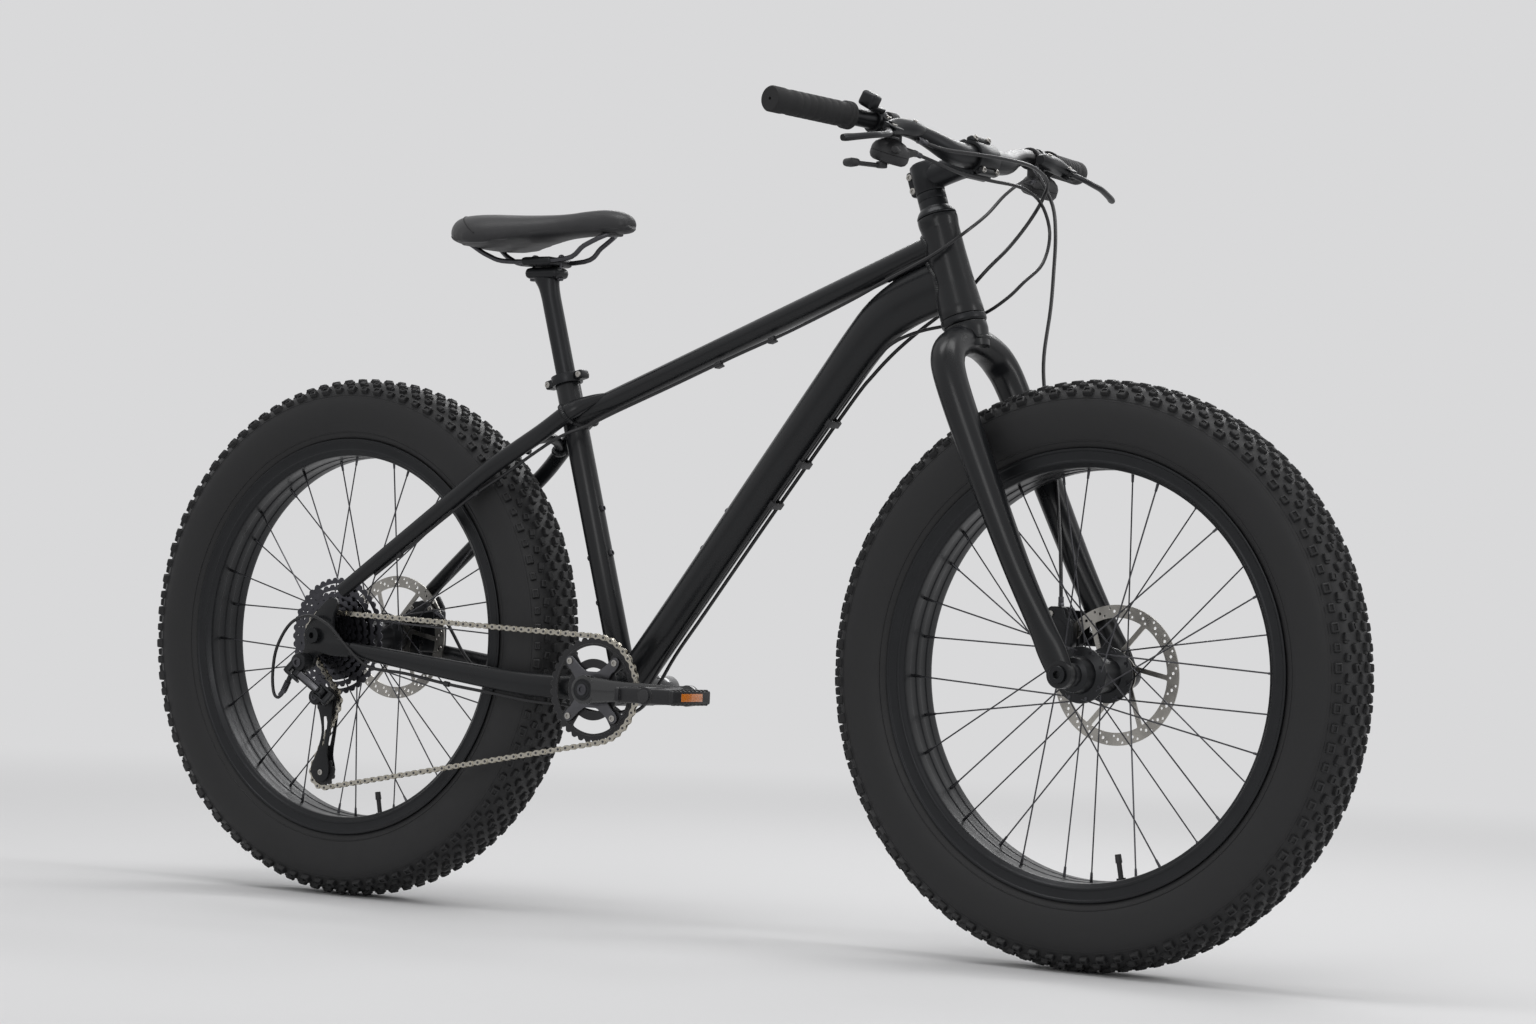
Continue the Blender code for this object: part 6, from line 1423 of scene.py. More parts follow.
def make_crank(side, label):
    """A forged crank arm with its hub, eye, axle and end cap."""
    reach = -side * CRANK_LENGTH
    sections = ((0.0, 0.094, 0.0178, 0.0078), (0.1, 0.0942, 0.0172, 0.0078), (0.25, 0.095, 0.015, 0.0072),
        (0.5, 0.0965, 0.0134, 0.0066), (0.8, 0.099, 0.0124, 0.006), (0.93, 0.0998, 0.0128, 0.006),
        (1.0, 0.1, 0.0134, 0.006))
    arm = loft([(BRACKET.x + reach * share, side * y, BRACKET.z, high, wide)
        for share, y, high, wide in sections], 32, 4)
    end = BRACKET + Vector((reach, side * 0.1, 0))
    hub_inner = -SPIDER_Y - 0.002 if label == "right" else 0.06
    parts = [arm, spindle(BRACKET, side * hub_inner, side * 0.101, 0.0196, 48, 0.0016),
        spindle(end, -side * 0.0062, side * 0.0062, 0.0142, 40, 0.0012)]
    if label == "right":
        parts.append(spindle(BRACKET, side * 0.06, side * 0.085, 0.0185, 40, 0.0006))
    else:
        parts.append(spindle(BRACKET, 0.07, -0.087, 0.0149, 32))
    add_piece("crank_" + label, parts, LACQUER, "cranks")
    low, high = sorted((side * 0.1008, side * 0.102))
    cap = [spindle(BRACKET, side * 0.1, side * 0.1024, 0.0122, 40, 0.0008),
        ring(0.0122, 0.015, low, high, 40, 0.0004, axled(BRACKET))]
    add_piece("crank_cap_" + label, cap, ANODISED, "cranks")
    pedal_end = BRACKET + Vector((reach, side * (PEDAL_Y + 0.04), 0))
    hardware = [bolt(0.0078, 0.0016, BRACKET + LEFTWARD * side * 0.1022, LEFTWARD * side, 24),
        stick(end, pedal_end, 0.0059, steps=20), spindle(end, side * 0.006, side * 0.009, 0.0088, 6)]
    add_piece("crank_hardware_" + label, hardware, DARK_STEEL, "cranks")
    make_pedal(side, label, BRACKET + Vector((reach, side * PEDAL_Y, 0)))


def make_pedal(side, label, centre):
    """A resin cage pedal: toothed side bars, bearing barrel and amber reflectors."""
    body = "pedal_" + label
    parts = []
    for ahead in (-0.0442, 0.0442):
        parts.append(block((0.0075, 0.086, 0.018), centre + Vector((ahead, 0, 0)), bevel=0.0024))
        parts += [block((0.007, 0.0034, 0.004), centre + Vector((ahead, 0.009 * step, up)), bevel=0.0008,
            segments=1) for step in range(-4, 5) for up in (-0.0085, 0.0085)]
    parts += [block((0.086, 0.0075, 0.02), centre + LEFTWARD * end, bevel=0.003)
        for end in (-0.0352, 0.0352)]
    parts += [block((0.004, 0.07, 0.012), centre + Vector((ahead, 0, 0)), bevel=0.0012)
        for ahead in (-0.0235, 0.0235)]
    parts.append(spindle(centre, -0.04, 0.04, 0.0118, 32, 0.001))
    add_piece(body, parts, WORN_ALLOY, body)
    plates = [block((0.0018, 0.048, 0.0105), centre + Vector((ahead, 0, 0)), bevel=0.0006, segments=2)
        for ahead in (-0.0475, 0.0475)]
    add_piece("pedal_reflectors_" + label, plates, REFLECTOR, body)
    add_piece("pedal_cap_" + label, spindle(centre, side * 0.0385, side * 0.0428, 0.0085, 28, 0.001),
        NYLON, body)


GUIDE_CENTRE = Vector((REAR_AXLE.x + 0.01, FIRST_COG_Y + COG_SPACING * CHAIN_COG, REAR_AXLE.z - 0.093))
TENSION_CENTRE = Vector((REAR_AXLE.x + 0.008, GUIDE_CENTRE.y, REAR_AXLE.z - 0.195))
HANGER_PIVOT = REAR_AXLE + Vector((-0.0125, -DROPOUT_Y, -0.039))
CAGE_PIVOT = REAR_AXLE + Vector((0.014, -0.098, -0.087))
LINK_START = Vector((-0.6205, -0.117, 0.319))
LINK_END = Vector((-0.586, -0.106, 0.293))
BARREL_END = Vector((-0.648, -0.1138, 0.2945))
LINK_ALONG = (LINK_END - LINK_START).normalized()
LINK_HINGE = LINK_ALONG.cross(Vector((0.05, 0.82, -0.55))).normalized()
LINK_TURN = axes(LINK_ALONG, LINK_HINGE.cross(LINK_ALONG), LINK_HINGE)


def ears(hinge, along, web):
    """Two ears that hold a link's pin, and the web that joins them."""
    shift = hinge + LINK_ALONG * along * 0.004
    return [block((0.024, 0.016, 0.004), shift + LINK_HINGE * lift, LINK_TURN, 0.0016)
        for lift in (0.0086, -0.0086)] + [block((0.009, 0.016, 0.021), hinge + LINK_ALONG * along * web,
        LINK_TURN, 0.0026)]


def make_derailleur():
    """Knuckles, the parallelogram between them, the cage and its pulleys."""
    out = -LEFTWARD
    face = HANGER_PIVOT + out * 0.0043
    start = LINK_START + Vector((-0.012, -0.002, -0.004))
    pins = [stick(end - LINK_HINGE * 0.0108, end + LINK_HINGE * 0.0108, 0.0026, steps=14)
        for end in (LINK_START, LINK_END)]
    knuckle = [rod(face, face + out * 0.02, 0.0138, 40, 0.0036), *ears(LINK_START, -1, 0.0145),
        stick(start, BARREL_END, 0.0036, steps=20)]
    add_piece("derailleur_b_knuckle", knuckle, ANODISED, "derailleur_knuckle")
    barrel = [disc(0.0046, -0.0009, 0.0009, 20, 0.0003, facing(start.lerp(BARREL_END, 0.45 + 0.1 * step),
        BARREL_END - start)) for step in range(6)]
    barrel += [bolt(0.0074, 0.0026, face + out * 0.0196, out, 28), pins[0]]
    add_piece("derailleur_barrel_and_bolts", barrel, DARK_STEEL, "derailleur_knuckle")
    length = (LINK_END - LINK_START).length
    middle = (LINK_START + LINK_END) / 2
    link = [block((length + 0.013, 0.015, 0.0118), middle, LINK_TURN, 0.0056, 5),
        block((length - 0.004, 0.004, 0.006), middle + LINK_TURN @ Vector((0, -0.008, 0)), LINK_TURN,
        0.0016)]
    link += [rod(end - LINK_HINGE * 0.006, end + LINK_HINGE * 0.006, 0.0079, 32, 0.0008)
        for end in (LINK_START, LINK_END)]
    add_piece("derailleur_link", link, ANODISED, "derailleur_link")
    cover = block((length - 0.008, 0.003, 0.0086), middle + LINK_TURN @ Vector((0, -0.0098, 0)),
        LINK_TURN, 0.0013)
    add_piece("derailleur_link_plate", cover, SPIDER_METAL, "derailleur_link")
    lower = [spindle(CAGE_PIVOT, -0.016, 0.006, 0.0114, 40, 0.0022), *ears(LINK_END, 1, 0.0135)]
    add_piece("derailleur_p_knuckle", lower, ANODISED, "derailleur_lower")
    bolts = [bolt(0.0052, 0.0016, CAGE_PIVOT - LEFTWARD * 0.0158, out), pins[1]]
    add_piece("derailleur_lower_bolts", bolts, DARK_STEEL, "derailleur_lower")
    make_cage()


def make_cage():
    """The cage's two plates, its pulleys and their bolts."""
    outline = [(0.0, 0.015), (0.01, 0.012), (0.015, 0.003), (0.0145, -0.015), (0.0115, -0.045),
        (0.008, -0.076), (0.0125, -0.095), (0.0105, -0.109), (-0.0015, -0.1165), (-0.015, -0.1115),
        (-0.0205, -0.096), (-0.01, -0.072), (-0.003, -0.045), (-0.008, -0.02), (-0.014, -0.005),
        (-0.011, 0.01)]
    smooth = [tuple(point) for point in smoothed(outline + outline[:1], 3)[:-1]]
    window = [(0.0072, -0.022), (0.006, -0.044), (0.002, -0.064), (-0.002, -0.064), (0.001, -0.044),
        (-0.001, -0.022)]
    middle = GUIDE_CENTRE.y
    parts = [plate([smooth, rounded(window, 0.002, 2)], 0.0018, upright(middle + offset, GUIDE_CENTRE),
        0.0004) for offset in (-0.0068, 0.0068)]
    parts.append(spindle(CAGE_PIVOT, 0.0063, middle - 0.0062 - CAGE_PIVOT.y, 0.01, 32, 0.0006))
    add_piece("derailleur_cage", parts, ANODISED, "derailleur_cage")
    pins = []
    for centre in (GUIDE_CENTRE, TENSION_CENTRE):
        pins += [stick(centre - LEFTWARD * 0.007, centre + LEFTWARD * 0.008, 0.003, steps=16),
            bolt(0.0042, 0.0014, centre - LEFTWARD * 0.0076, -LEFTWARD, 18)]
    add_piece("derailleur_pulley_bolts", pins, PLATED, "derailleur_cage")
    for name, centre in (("guide_pulley", GUIDE_CENTRE), ("tension_pulley", TENSION_CENTRE)):
        outlines = [tooth_outline(PULLEY_TEETH, -0.0042, -0.0008), circle(0, 0, 0.0034, 16)]
        outlines += [circle(*polar(0.0095, radians(72 * step)), 0.0024, 12) for step in range(5)]
        hub = ring(0.0034, 0.0066, -0.0036, 0.0036, 28, 0.0004, axled(centre))
        add_piece(name, [plate(outlines, 0.0018, upright(centre.y, centre)), hub], NYLON, name)


WHEEL_STEPS = 41                # points of the chain's line round each wheel
FREE_RUN = 0.12                # of the lower run next to the cage, made as a piece with no body


def chain_route():
    """Points close together along the chain's pitch line."""
    wheels = [(Vector((BRACKET.x, RING_Y, BRACKET.z)), RING_TEETH, -1),
        (TENSION_CENTRE, PULLEY_TEETH, -1), (GUIDE_CENTRE, PULLEY_TEETH, 1),
        (REAR_AXLE + LEFTWARD * cog_y(CHAIN_COG), COG_TEETH[CHAIN_COG], -1)]
    tangents = []
    for index, (centre, teeth, sense) in enumerate(wheels):
        after, after_teeth, after_sense = wheels[(index + 1) % len(wheels)]
        span = after - centre
        growth = after_sense * cog_radius(after_teeth) - sense * cog_radius(teeth)
        direction = atan2(span.z, span.x) - asin(growth / hypot(span.x, span.z))
        tangents.append((direction - sense * pi / 2, direction - after_sense * pi / 2))
    points = []
    for index, (centre, teeth, sense) in enumerate(wheels):
        arrive, leave = tangents[index - 1][1], tangents[index][0]
        sweep = sense * ((leave - arrive) * sense % (2 * pi))
        points += [around(centre, cog_radius(teeth), arrive + sweep * step / (WHEEL_STEPS - 1))
            for step in range(WHEEL_STEPS)]
    return points


def evenly(points, count):
    """Points at equal distances along a closed line."""
    closed = points + points[:1]
    lengths = [(after - before).length for before, after in zip(closed, closed[1:])]
    step = sum(lengths) / count
    spaced, index, passed = [], 0, 0.0
    for number in range(count):
        goal = number * step
        while passed + lengths[index] < goal:
            passed += lengths[index]
            index += 1
        spaced.append(closed[index].lerp(closed[index + 1], (goal - passed) / max(lengths[index], 1e-9)))
    return spaced, step


def make_chain():
    """Links in turn narrow and wide; the part in the cage follows it when it swings."""
    route = chain_route()
    reach = [0.0]
    for before, after in zip(route, route[1:]):
        reach.append(reach[-1] + (after - before).length)
    total = reach[-1] + (route[0] - route[-1]).length
    count = 2 * round(total / PITCH / 2)
    spots, step = evenly(route, count)
    # The route runs from the chainring to the lower pulley, the upper pulley and the cog
    wrap_start, wrap_end = reach[WHEEL_STEPS], reach[3 * WHEEL_STEPS - 1]
    outline = []
    for end, start in ((1, -1.9), (-1, pi - 1.9)):
        outline += [(end * step / 2 + x, y) for x, y in arc(0.004, start, start + 3.8, 6)] + [(0.0,
            end * 0.0021)]
    for suffix, body, low, high in (("", "frame", wrap_end, total + wrap_start - FREE_RUN),
            ("_in_cage", "derailleur_cage", wrap_start, wrap_end), ("_free_run", None,
            wrap_start - FREE_RUN, wrap_start)):
        places, rollers, pins, ends = ([], []), [], [], []
        for index, spot in enumerate(spots):
            along = (index + 0.5) * step
            if not (low <= along < high or low <= along + total < high):
                continue
            after = spots[(index + 1) % count]
            ends += [spot, after]
            ahead = (after - spot).normalized()
            up = LEFTWARD.cross(ahead).normalized()
            turn = axes(ahead, up, ahead.cross(up))
            offset = 0.0014 if index % 2 else 0.0023
            places[index % 2].extend(Matrix.Translation((spot + after) / 2 + LEFTWARD * way) @ turn
                for way in (-offset, offset))
            pins.append(stick(spot - LEFTWARD * 0.0031, spot + LEFTWARD * 0.0031, 0.0018))
            rollers.append(stick(spot - LEFTWARD * 0.001, spot + LEFTWARD * 0.001, 0.0037, steps=10))
        links = [copies(plate([outline], 0.0008), places[kind]) for kind in (0, 1)]
        for name, parts, surface in (("chain", links + rollers, CHAIN_NICKEL),
                ("chain_pins", pins, DARK_STEEL)):
            item = add_piece(name + suffix, parts, surface, body)
            if not body:
                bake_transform(item)


def make_calipers():
    """Two piston disc calipers with their pistons' covers, bridges and bolts."""
    outline = [(-0.5, -0.42), (-0.5, 0.18), (-0.3, 0.5), (0.16, 0.5), (0.26, 0.26), (0.5, 0.14),
        (0.5, -0.34), (0.3, -0.5), (-0.36, -0.5)]
    for label, wheel, middle_y, offset, size, body in (("front", FRONT_AXLE, FRONT_ROTOR_Y,
            (-0.08, 0.055), (0.046, 0.034, 0.06), "steering"), ("rear", REAR_AXLE, REAR_ROTOR_Y,
            (0.056, 0.037), (0.05, 0.028, 0.034), "frame")):
        centre = Vector((wheel.x + offset[0], middle_y, wheel.z + offset[1]))
        x, y, z = size
        thick = y / 2 - 0.002
        parts = []
        for side in (-1, 1):
            half = rounded([(across * x, rise * z) for across, rise in outline], 0.005, 4)
            parts.append(plate([half], thick, upright(middle_y + side * (0.002 + thick / 2), centre),
                0.0028, 2))
            parts.append(spindle(centre, side * (y / 2 - 0.003), side * (y / 2 + 0.0006), min(x, z) * 0.3,
                32, 0.0012))
        outward = atan2(offset[1], offset[0])
        bridge = around(wheel, ROTOR_RADIUS + 0.0056, outward, middle_y)
        parts.append(block((0.007, 0.006, 0.02), bridge, Matrix.Rotation(-outward, 4, "Y"), 0.0015))
        add_piece(label + "_brake_caliper", parts, ANODISED, body)
        bolts = []
        for share in (-0.34, 0.34):
            spot = centre + Vector((share * x if x > z else -x * 0.2, y / 2,
                share * z if z > x else z * 0.2))
            bolts += [bolt(0.004, 0.0024, spot, LEFTWARD, 18), bolt(0.004, 0.0024, spot - LEFTWARD * y,
                -LEFTWARD, 18)]
        add_piece(label + "_caliper_bolts", bolts, PLATED, body)


FRONT_HOSE = [(0.406, 0.148, 1.04), (0.418, 0.14, 1.026), (0.433, 0.15, 0.99), (0.439, 0.15, 0.95),
    (0.444, 0.14, 0.9), (0.45, 0.125, 0.85), (0.457, 0.1, 0.786), (0.467, 0.088, 0.738),
    (0.484, 0.079, 0.68), (0.5, 0.069, 0.624), (0.51, 0.061, 0.582), (0.516, 0.0575, 0.545),
    (0.5195, 0.0565, 0.5), (0.521, 0.0575, 0.4597)]
REAR_HOSE = [(0.406, -0.148, 1.04), (0.42, -0.115, 1.033), (0.44, -0.06, 1.032), (0.452, 0.0, 1.032),
    (0.456, 0.055, 1.029), (0.452, 0.1, 1.016), (0.438, 0.115, 0.996), (0.429, 0.095, 0.962),
    (0.42, 0.062, 0.926), (0.402, 0.04, 0.896), (0.374, 0.033, 0.864), (0.342, 0.03, 0.838),
    (0.308, 0.026, 0.813), (0.278, 0.017, 0.785), (0.25, 0.01, 0.754), (0.2167, 0.01, 0.7165),
    (0.0998, 0.01, 0.5675), (-0.0062, 0.01, 0.4295), (-0.052, 0.01, 0.37), (-0.088, 0.011, 0.315),
    (-0.116, 0.014, 0.291), (-0.15, 0.026, 0.287), (-0.185, 0.046, 0.295), (-0.24, 0.064, 0.2985),
    (-0.3, 0.071, 0.306), (-0.38, 0.0765, 0.316), (-0.415, 0.0755, 0.322), (-0.445, 0.071, 0.334),
    (-0.47, 0.07, 0.355), (-0.489, 0.07, 0.38), (-0.505, 0.07, 0.4), (-0.5226, 0.07, 0.411)]
SHIFT_HOUSING = [(0.4014, -0.1512, 1.0236), (0.408, -0.12, 1.018), (0.415, -0.06, 1.009),
    (0.425, 0.0, 1.006), (0.435, 0.06, 1.004), (0.443, 0.1, 0.988), (0.45, 0.115, 0.95),
    (0.453, 0.095, 0.908), (0.446, 0.06, 0.88), (0.43, 0.046, 0.858), (0.4, 0.038, 0.837),
    (0.362, 0.027, 0.823), (0.3216, 0.008, 0.812), (0.2914, -0.008, 0.796), (0.2637, -0.009, 0.772),
    (0.2167, -0.009, 0.7165), (0.0998, -0.009, 0.5675), (-0.0062, -0.009, 0.4295)]
REAR_HOUSING = [(-0.0066, -0.009, 0.429), (-0.052, -0.009, 0.37), (-0.088, -0.011, 0.315),
    (-0.116, -0.014, 0.291), (-0.15, -0.026, 0.287), (-0.185, -0.046, 0.295), (-0.24, -0.064, 0.2985),
    (-0.3, -0.071, 0.306), (-0.38, -0.077, 0.3155), (-0.45, -0.085, 0.327), (-0.505, -0.1, 0.334),
    (-0.54, -0.11, 0.362), (-0.57, -0.113, 0.39), (-0.605, -0.115, 0.402), (-0.64, -0.115, 0.39),
    (-0.665, -0.114, 0.355), (-0.672, -0.113, 0.318), (-0.669, -0.1125, 0.29), (-0.66, -0.112, 0.283),
    (-0.6482, -0.1137, 0.2942)]
SIDE_HOUSING = [(0.4014, 0.1512, 1.0236), (0.404, 0.12, 1.02), (0.406, 0.07, 0.996),
    (0.406, 0.025, 0.965), (0.398, -0.015, 0.938), (0.37, -0.035, 0.911), (0.335, -0.03, 0.896),
    (0.29, -0.027, 0.877), (0.2252, -0.018, 0.85), (0.13, -0.012, 0.812), (0.0422, -0.012, 0.779),
    (-0.06, -0.012, 0.7385), (-0.1472, -0.013, 0.7045), (-0.19, -0.025, 0.683), (-0.225, -0.042, 0.666),
    (-0.265, -0.044, 0.644), (-0.305, -0.054, 0.615), (-0.35, -0.066, 0.584), (-0.4, -0.0735, 0.5475),
    (-0.47, -0.083, 0.494), (-0.51, -0.0885, 0.464)]


def make_hoses():
    """Brake hoses and gear housings; only the front brake hose is attached to the steering, and the rest
    belong to no body.
    """
    hose = bpy.context.scene.bicycle_sizes.hose_radius
    housing = hose - 0.0002
    crossing = ((0.44, 0.0, 0.99), (0.27, 0.0, 0.78))
    side_crossing = ((0.4, 0.0, 0.96), (0.27, 0.0, 0.87))
    rear_crossing = ((-0.62, -0.115, 0.4), (-0.655, -0.112, 0.29))
    front, rear = ("steering", "frame"), ("frame", "derailleur_knuckle")
    add_piece("front_brake_hose", tube(smoothed(FRONT_HOSE, 5), hose), JACKET, "steering")
    for name, route, radius, bodies, ends in (("rear_brake_hose", REAR_HOSE, hose, front, crossing),
            ("derailleur_housing_front", SHIFT_HOUSING, housing, front, crossing),
            ("left_pod_housing", SIDE_HOUSING, housing, front, side_crossing),
            ("derailleur_housing_rear", REAR_HOUSING, housing, rear, rear_crossing)):
        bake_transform(add_piece(name, tube(smoothed(route, 5), radius), JACKET, None))


def sleeve(spot, along, half, radius, edge):
    return rod(spot - along * half, spot + along * half, radius, 20, edge)


def make_hose_clips():
    """Clips that hold the hoses to the tubes, and the ferrules at their ends."""
    clips, saddles = [], []
    for lines, first, last, shares, thick, wide in (((REAR_HOSE, SHIFT_HOUSING), 15, 16,
            (0.18, 0.55, 0.92), 0.0042, 0.026), ((SIDE_HOUSING,), 9, 11, (0.15, 0.6), 0.004, 0.012)):
        for share in shares:
            for line in lines:
                start, end = Vector(line[first]), Vector(line[last])
                spot, along = start.lerp(end, share), (end - start).normalized()
                clips.append(sleeve(spot, along, 0.0055, thick, 0.0012))
            base = Vector((spot.x, spot.y if len(lines) == 1 else 0.0, spot.z))
            lift = (Vector((-along.z, 0, along.x)) * (-1 if along.z > 0 else 1)).normalized()
            tilt = Matrix.Rotation(-atan2(along.z, along.x), 4, "Y")
            saddles.append(block((0.01, wide, 0.003), base + lift * 0.0036, tilt, 0.001))
    for line, number in ((SIDE_HOUSING, 17), (SIDE_HOUSING, 19), (REAR_HOUSING, 8), (REAR_HOSE, 24)):
        before, spot, after = [Vector(point) for point in line[number - 1:number + 2]]
        clips.append(sleeve(spot, (after - before).normalized(), 0.0045, 0.0038, 0.001))
    add_piece("hose_clips", clips + saddles, NYLON, "frame")
    for name, lines, body in (("steering_ferrules", (FRONT_HOSE, REAR_HOSE, SHIFT_HOUSING, SIDE_HOUSING,
            FRONT_HOSE[::-1]), "steering"), ("frame_ferrules", (REAR_HOSE[::-1],), "frame"),
            ("derailleur_ferrules", (REAR_HOUSING[::-1],), "derailleur_knuckle")):
        parts = []
        for line in lines:
            start, after = Vector(line[0]), Vector(line[1])
            along = (after - start).normalized()
            parts += [rod(start - along * low, start + along * high, radius, steps, edge)
                for low, high, radius, steps, edge in ((0.001, 0.012, 0.0036, 20, 0.0008),
                (0.003, 0.004, 0.0044, 6, 0.0004))]
        add_piece(name, parts, DARK_STEEL, body)


def mix_shaders(tree, share, near, far, output):
    """Lays one shader over another where the share is high, and shows the result."""
    mix = add_node(tree, "ShaderNodeMixShader", {}, {0: share, 1: near.outputs[0], 2: far.outputs[0]})
    tree.links.new(mix.outputs[0], output.inputs["Surface"])


def make_floor(pale):
    """A matt floor that fades into the backdrop's own tone with distance."""
    surface, tree, shader, place = new_surface("matt_studio_floor",
        {"Roughness": 0.9, "Specular IOR Level": 0.15})
    mottled(tree, shader, place, (paler(pale, 0.985), pale), 400.0, (0.86, 0.94))
    distance = add_node(tree, "ShaderNodeVectorMath", {"operation": "LENGTH"}, {0: place})
    far = ranged(tree, distance.outputs["Value"], (1.4, 4.6), (0.0, 1.0), interpolation_type="SMOOTHSTEP")
    path = add_node(tree, "ShaderNodeLightPath")
    fade = add_node(tree, "ShaderNodeMath", {"operation": "MULTIPLY"},
        {0: far, 1: path.outputs["Is Camera Ray"]})
    shown = add_node(tree, "ShaderNodeEmission", {"Color": (*pale, 1), "Strength": 1.0})
    mix_shaders(tree, fade.outputs[0], shader, shown, tree.nodes["Material Output"])
    floor = bmesh.new()
    bmesh.ops.create_grid(floor, x_segments=1, y_segments=1, size=60)
    mesh = bpy.data.meshes.new("studio_floor")
    floor.to_mesh(mesh)
    floor.free()
    mesh.materials.append(surface)
    linked("studio_floor", mesh)


def make_backdrop(pale):
    """A soft white sky for the light, seen and mirrored as a pale backdrop."""
    world = bpy.data.worlds.new("studio")
    bpy.context.scene.world = world
    world.use_nodes = True
    tree = world.node_tree
    output = next(node for node in tree.nodes if node.type == "OUTPUT_WORLD")
    soft = next(node for node in tree.nodes if node.type == "BACKGROUND")
    soft.inputs["Color"].default_value = (1, 1, 1, 1)
    soft.inputs["Strength"].default_value = 0.6
    path = add_node(tree, "ShaderNodeLightPath")
    seen = path.outputs["Is Camera Ray"]
    for extra in ("Is Glossy Ray", "Is Transmission Ray"):
        seen = add_node(tree, "ShaderNodeMath", {"operation": "MAXIMUM"},
            {0: seen, 1: path.outputs[extra]}).outputs[0]
    shown = add_node(tree, "ShaderNodeBackground", {"Color": (*pale, 1), "Strength": 1.0})
    mix_shaders(tree, seen, soft, shown, output)


def make_lamps(key_power, side_power):
    for name, start, goal, size, energy in (("overhead_softbox", (0.2, -0.3, 3.2), (0, 0, 0.6),
            (3.4, 0.8), key_power), ("rear_strip", (-0.6, 2.6, 2.5), (0, 0, 0.6), (3.0, 0.4),
            key_power * 0.7), ("right_softbox", (1.4, -3.6, 1.9), (0, 0, 0.55), (1.2, 1.6), side_power),
            ("front_strip", (3.6, 0.6, 1.8), (0, 0, 0.6), (0.5, 2.0), side_power)):
        lamp = bpy.data.lights.new(name, "AREA")
        lamp.shape = "RECTANGLE"
        lamp.size, lamp.size_y = size
        lamp.energy = energy
        item = linked(name, lamp)
        item.location = start
        item.rotation_mode = "QUATERNION"
        item.rotation_quaternion = (Vector(goal) - Vector(start)).to_track_quat("-Z", "Y")


def make_camera(lens):
    camera = bpy.data.cameras.new("photograph_view")
    camera.lens = lens
    camera.sensor_width = SENSOR_WIDTH
    camera.clip_end = 200.0
    look = Vector((*polar(cos(CAMERA_PITCH), CAMERA_YAW), sin(CAMERA_PITCH)))
    level = look.cross(UPWARD).normalized()
    over = level.cross(look)
    across = level * cos(CAMERA_ROLL) + over * sin(CAMERA_ROLL)
    above = over * cos(CAMERA_ROLL) - level * sin(CAMERA_ROLL)
    item = linked("photograph_view", camera)
    item.matrix_world = Matrix.Translation(CAMERA_PLACE) @ axes(across, above, -look)
    bpy.context.scene.camera = item


def make_stage():
    """Pale floor and backdrop, four soft lamps and the camera."""
    scene = bpy.context.scene
    scene.view_settings.view_transform = "Standard"
    make_floor(scene.bicycle_colours.floor)
    make_backdrop(scene.bicycle_colours.floor)
    make_lamps(scene.bicycle_stage.key_power, scene.bicycle_stage.side_power)
    make_camera(scene.bicycle_stage.lens)


class MakeFinishes(bpy.types.Operator):
    """Makes the materials, from paint and anodising to rubber and nickel"""

    bl_idname = "bicycle.make_finishes"
    bl_label = "Finishes"

    def execute(self, context):
        make_finishes()
        return {"FINISHED"}


class MakeFrame(bpy.types.Operator):
    """Makes the frame's tubes, stays, dropouts and weld beads"""

    bl_idname = "bicycle.make_frame"
    bl_label = "Frame"

    def execute(self, context):
        loops = make_main_tubes()
        make_stays(loops)
        make_welds(loops)
        return {"FINISHED"}


class MakeFrameFittings(bpy.types.Operator):
    """Makes the seat collar, lower headset cup and bottle bosses"""

    bl_idname = "bicycle.make_frame_fittings"
    bl_label = "Frame fittings"

    def execute(self, context):
        make_frame_fittings()
        return {"FINISHED"}


class MakeFork(bpy.types.Operator):
    """Makes the fork, headset cover and both axles"""

    bl_idname = "bicycle.make_fork"
    bl_label = "Fork and axles"

    def execute(self, context):
        make_fork()
        return {"FINISHED"}


class MakeCockpit(bpy.types.Operator):
    """Makes the stem, its faceplate, the handlebar and the grips"""

    bl_idname = "bicycle.make_cockpit"
    bl_label = "Stem, bar and grips"

    def execute(self, context):
        make_stem()
        make_handlebar()
        make_grips()
        return {"FINISHED"}


class MakeControls(bpy.types.Operator):
    """Makes the brake levers and gear shifters"""

    bl_idname = "bicycle.make_controls"
    bl_label = "Levers and shifters"

    def execute(self, context):
        make_levers()
        make_shifters()
        return {"FINISHED"}


class MakeTyres(bpy.types.Operator):
    """Makes both tyres with their casing lines and tread knobs"""

    bl_idname = "bicycle.make_tyres"
    bl_label = "Tyres"

    def execute(self, context):
        for label, centre in (("front", FRONT_AXLE), ("rear", REAR_AXLE)):
            make_tyre(label + "_tyre", centre, label + "_wheel")
        return {"FINISHED"}


class MakeWheels(bpy.types.Operator):
    """Makes the rims, valves, hubs and laced spokes"""

    bl_idname = "bicycle.make_wheels"
    bl_label = "Rims, hubs and spokes"

    def execute(self, context):
        for label, centre, profile, flanges in (("front", FRONT_AXLE, FRONT_HUB,
                [(-0.035, 0.0355), (0.035, 0.0355)]), ("rear", REAR_AXLE, REAR_HUB,
                [(-0.043, 0.0345), (0.053, 0.0345)])):
            body = label + "_wheel"
            make_rim(label + "_rim", centre, body)
            make_spokes(label, centre, flanges, body)
            make_hub(label + "_hub", centre, profile, body)
        return {"FINISHED"}


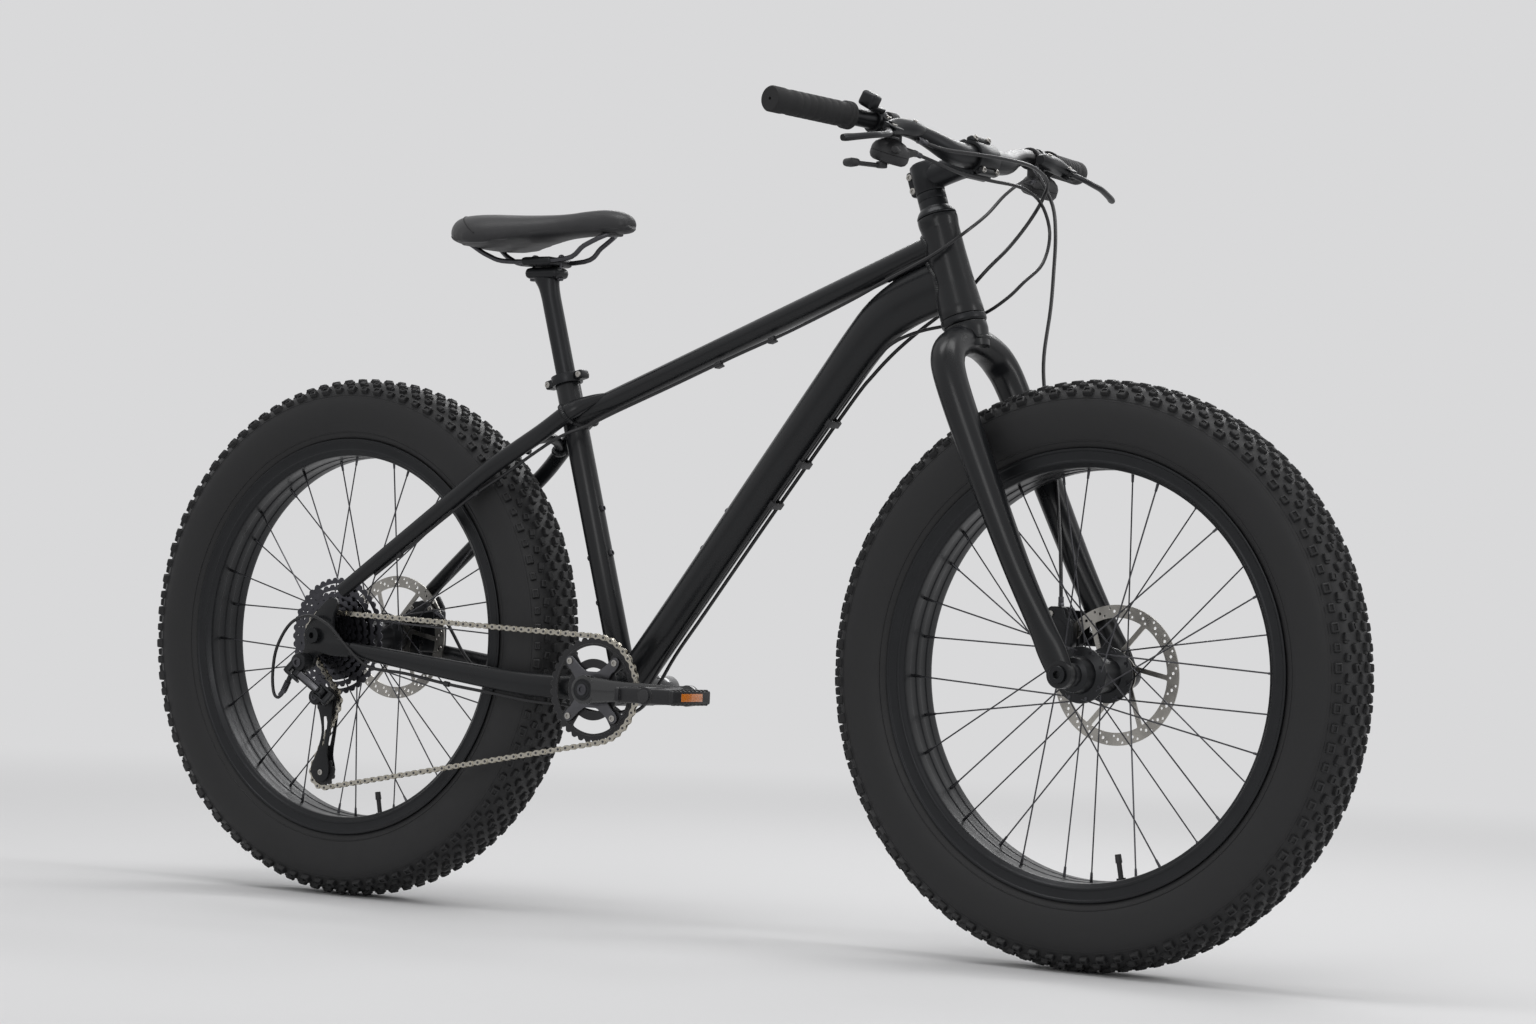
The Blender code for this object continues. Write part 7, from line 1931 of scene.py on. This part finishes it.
class MakeBrakes(bpy.types.Operator):
    """Makes the brake discs and calipers"""

    bl_idname = "bicycle.make_brakes"
    bl_label = "Discs and calipers"

    def execute(self, context):
        for label, centre, y in (("front", FRONT_AXLE, FRONT_ROTOR_Y), ("rear", REAR_AXLE, REAR_ROTOR_Y)):
            make_disc_rotor(label + "_rotor", centre, y, label + "_disc_steel", label + "_wheel")
        make_calipers()
        return {"FINISHED"}


class MakeCassette(bpy.types.Operator):
    """Makes the eleven cogs and their lock ring"""

    bl_idname = "bicycle.make_cassette"
    bl_label = "Cassette"

    def execute(self, context):
        make_cassette()
        return {"FINISHED"}


class MakeCrankset(bpy.types.Operator):
    """Makes the chainring, crank arms and pedals"""

    bl_idname = "bicycle.make_crankset"
    bl_label = "Cranks and pedals"

    def execute(self, context):
        make_chainring()
        for side, label in SIDES:
            make_crank(side, label)
        return {"FINISHED"}


class MakeDerailleur(bpy.types.Operator):
    """Makes the derailleur's knuckles, link, cage and pulleys"""

    bl_idname = "bicycle.make_derailleur"
    bl_label = "Derailleur"

    def execute(self, context):
        make_derailleur()
        return {"FINISHED"}


class MakeChain(bpy.types.Operator):
    """Makes the chain's links and rollers"""

    bl_idname = "bicycle.make_chain"
    bl_label = "Chain"

    def execute(self, context):
        make_chain()
        return {"FINISHED"}


class MakeSeatpost(bpy.types.Operator):
    """Makes the seatpost, its clamp and the saddle's rails"""

    bl_idname = "bicycle.make_seatpost"
    bl_label = "Seatpost and rails"

    def execute(self, context):
        make_seatpost()
        return {"FINISHED"}


class MakeSaddle(bpy.types.Operator):
    """Makes the padded saddle and the shell under it"""

    bl_idname = "bicycle.make_saddle"
    bl_label = "Saddle"

    def execute(self, context):
        make_saddle()
        return {"FINISHED"}


class MakeHoses(bpy.types.Operator):
    """Makes the brake hoses, gear housings and their clips"""

    bl_idname = "bicycle.make_hoses"
    bl_label = "Hoses and clips"

    def execute(self, context):
        make_hoses()
        make_hose_clips()
        return {"FINISHED"}


class MakeStage(bpy.types.Operator):
    """Makes the floor, backdrop, lamps and camera"""

    bl_idname = "bicycle.make_stage"
    bl_label = "Studio"

    def execute(self, context):
        make_stage()
        return {"FINISHED"}


MAKERS = (MakeFinishes, MakeFrame, MakeFrameFittings, MakeFork, MakeCockpit, MakeControls, MakeTyres,
    MakeWheels, MakeBrakes, MakeCassette, MakeCrankset, MakeDerailleur, MakeChain, MakeSeatpost,
    MakeSaddle, MakeHoses, MakeStage)


class BicyclePanel(bpy.types.Panel):
    """Lists the operators that build the bicycle, with its sizes and colours"""

    bl_idname = "VIEW3D_PT_bicycle"
    bl_label = "Fat tyre bicycle"
    bl_space_type = "VIEW_3D"
    bl_region_type = "UI"
    bl_category = "Bicycle"

    def draw(self, context):
        scene = context.scene
        for maker in MAKERS:
            self.layout.operator(maker.bl_idname)
        for group in (scene.bicycle_sizes, scene.bicycle_colours, scene.bicycle_stage):
            box = self.layout.box()
            for name in group.__annotations__:
                box.prop(group, name)


CLASSES = (BicycleSizes, BicycleColours, BicycleStage, *MAKERS, BicyclePanel)
GROUPS = {"bicycle_sizes": BicycleSizes, "bicycle_colours": BicycleColours, "bicycle_stage": BicycleStage}


def register():
    for item in CLASSES:
        bpy.utils.register_class(item)
    for name, group in GROUPS.items():
        setattr(bpy.types.Scene, name, bpy.props.PointerProperty(type=group))


def unregister():
    for name in GROUPS:
        delattr(bpy.types.Scene, name)
    for item in reversed(CLASSES):
        bpy.utils.unregister_class(item)


def main():
    register()
    for maker in MAKERS:
        getattr(bpy.ops.bicycle, maker.bl_idname.split(".")[1])()


if __name__ == "__main__":
    main()
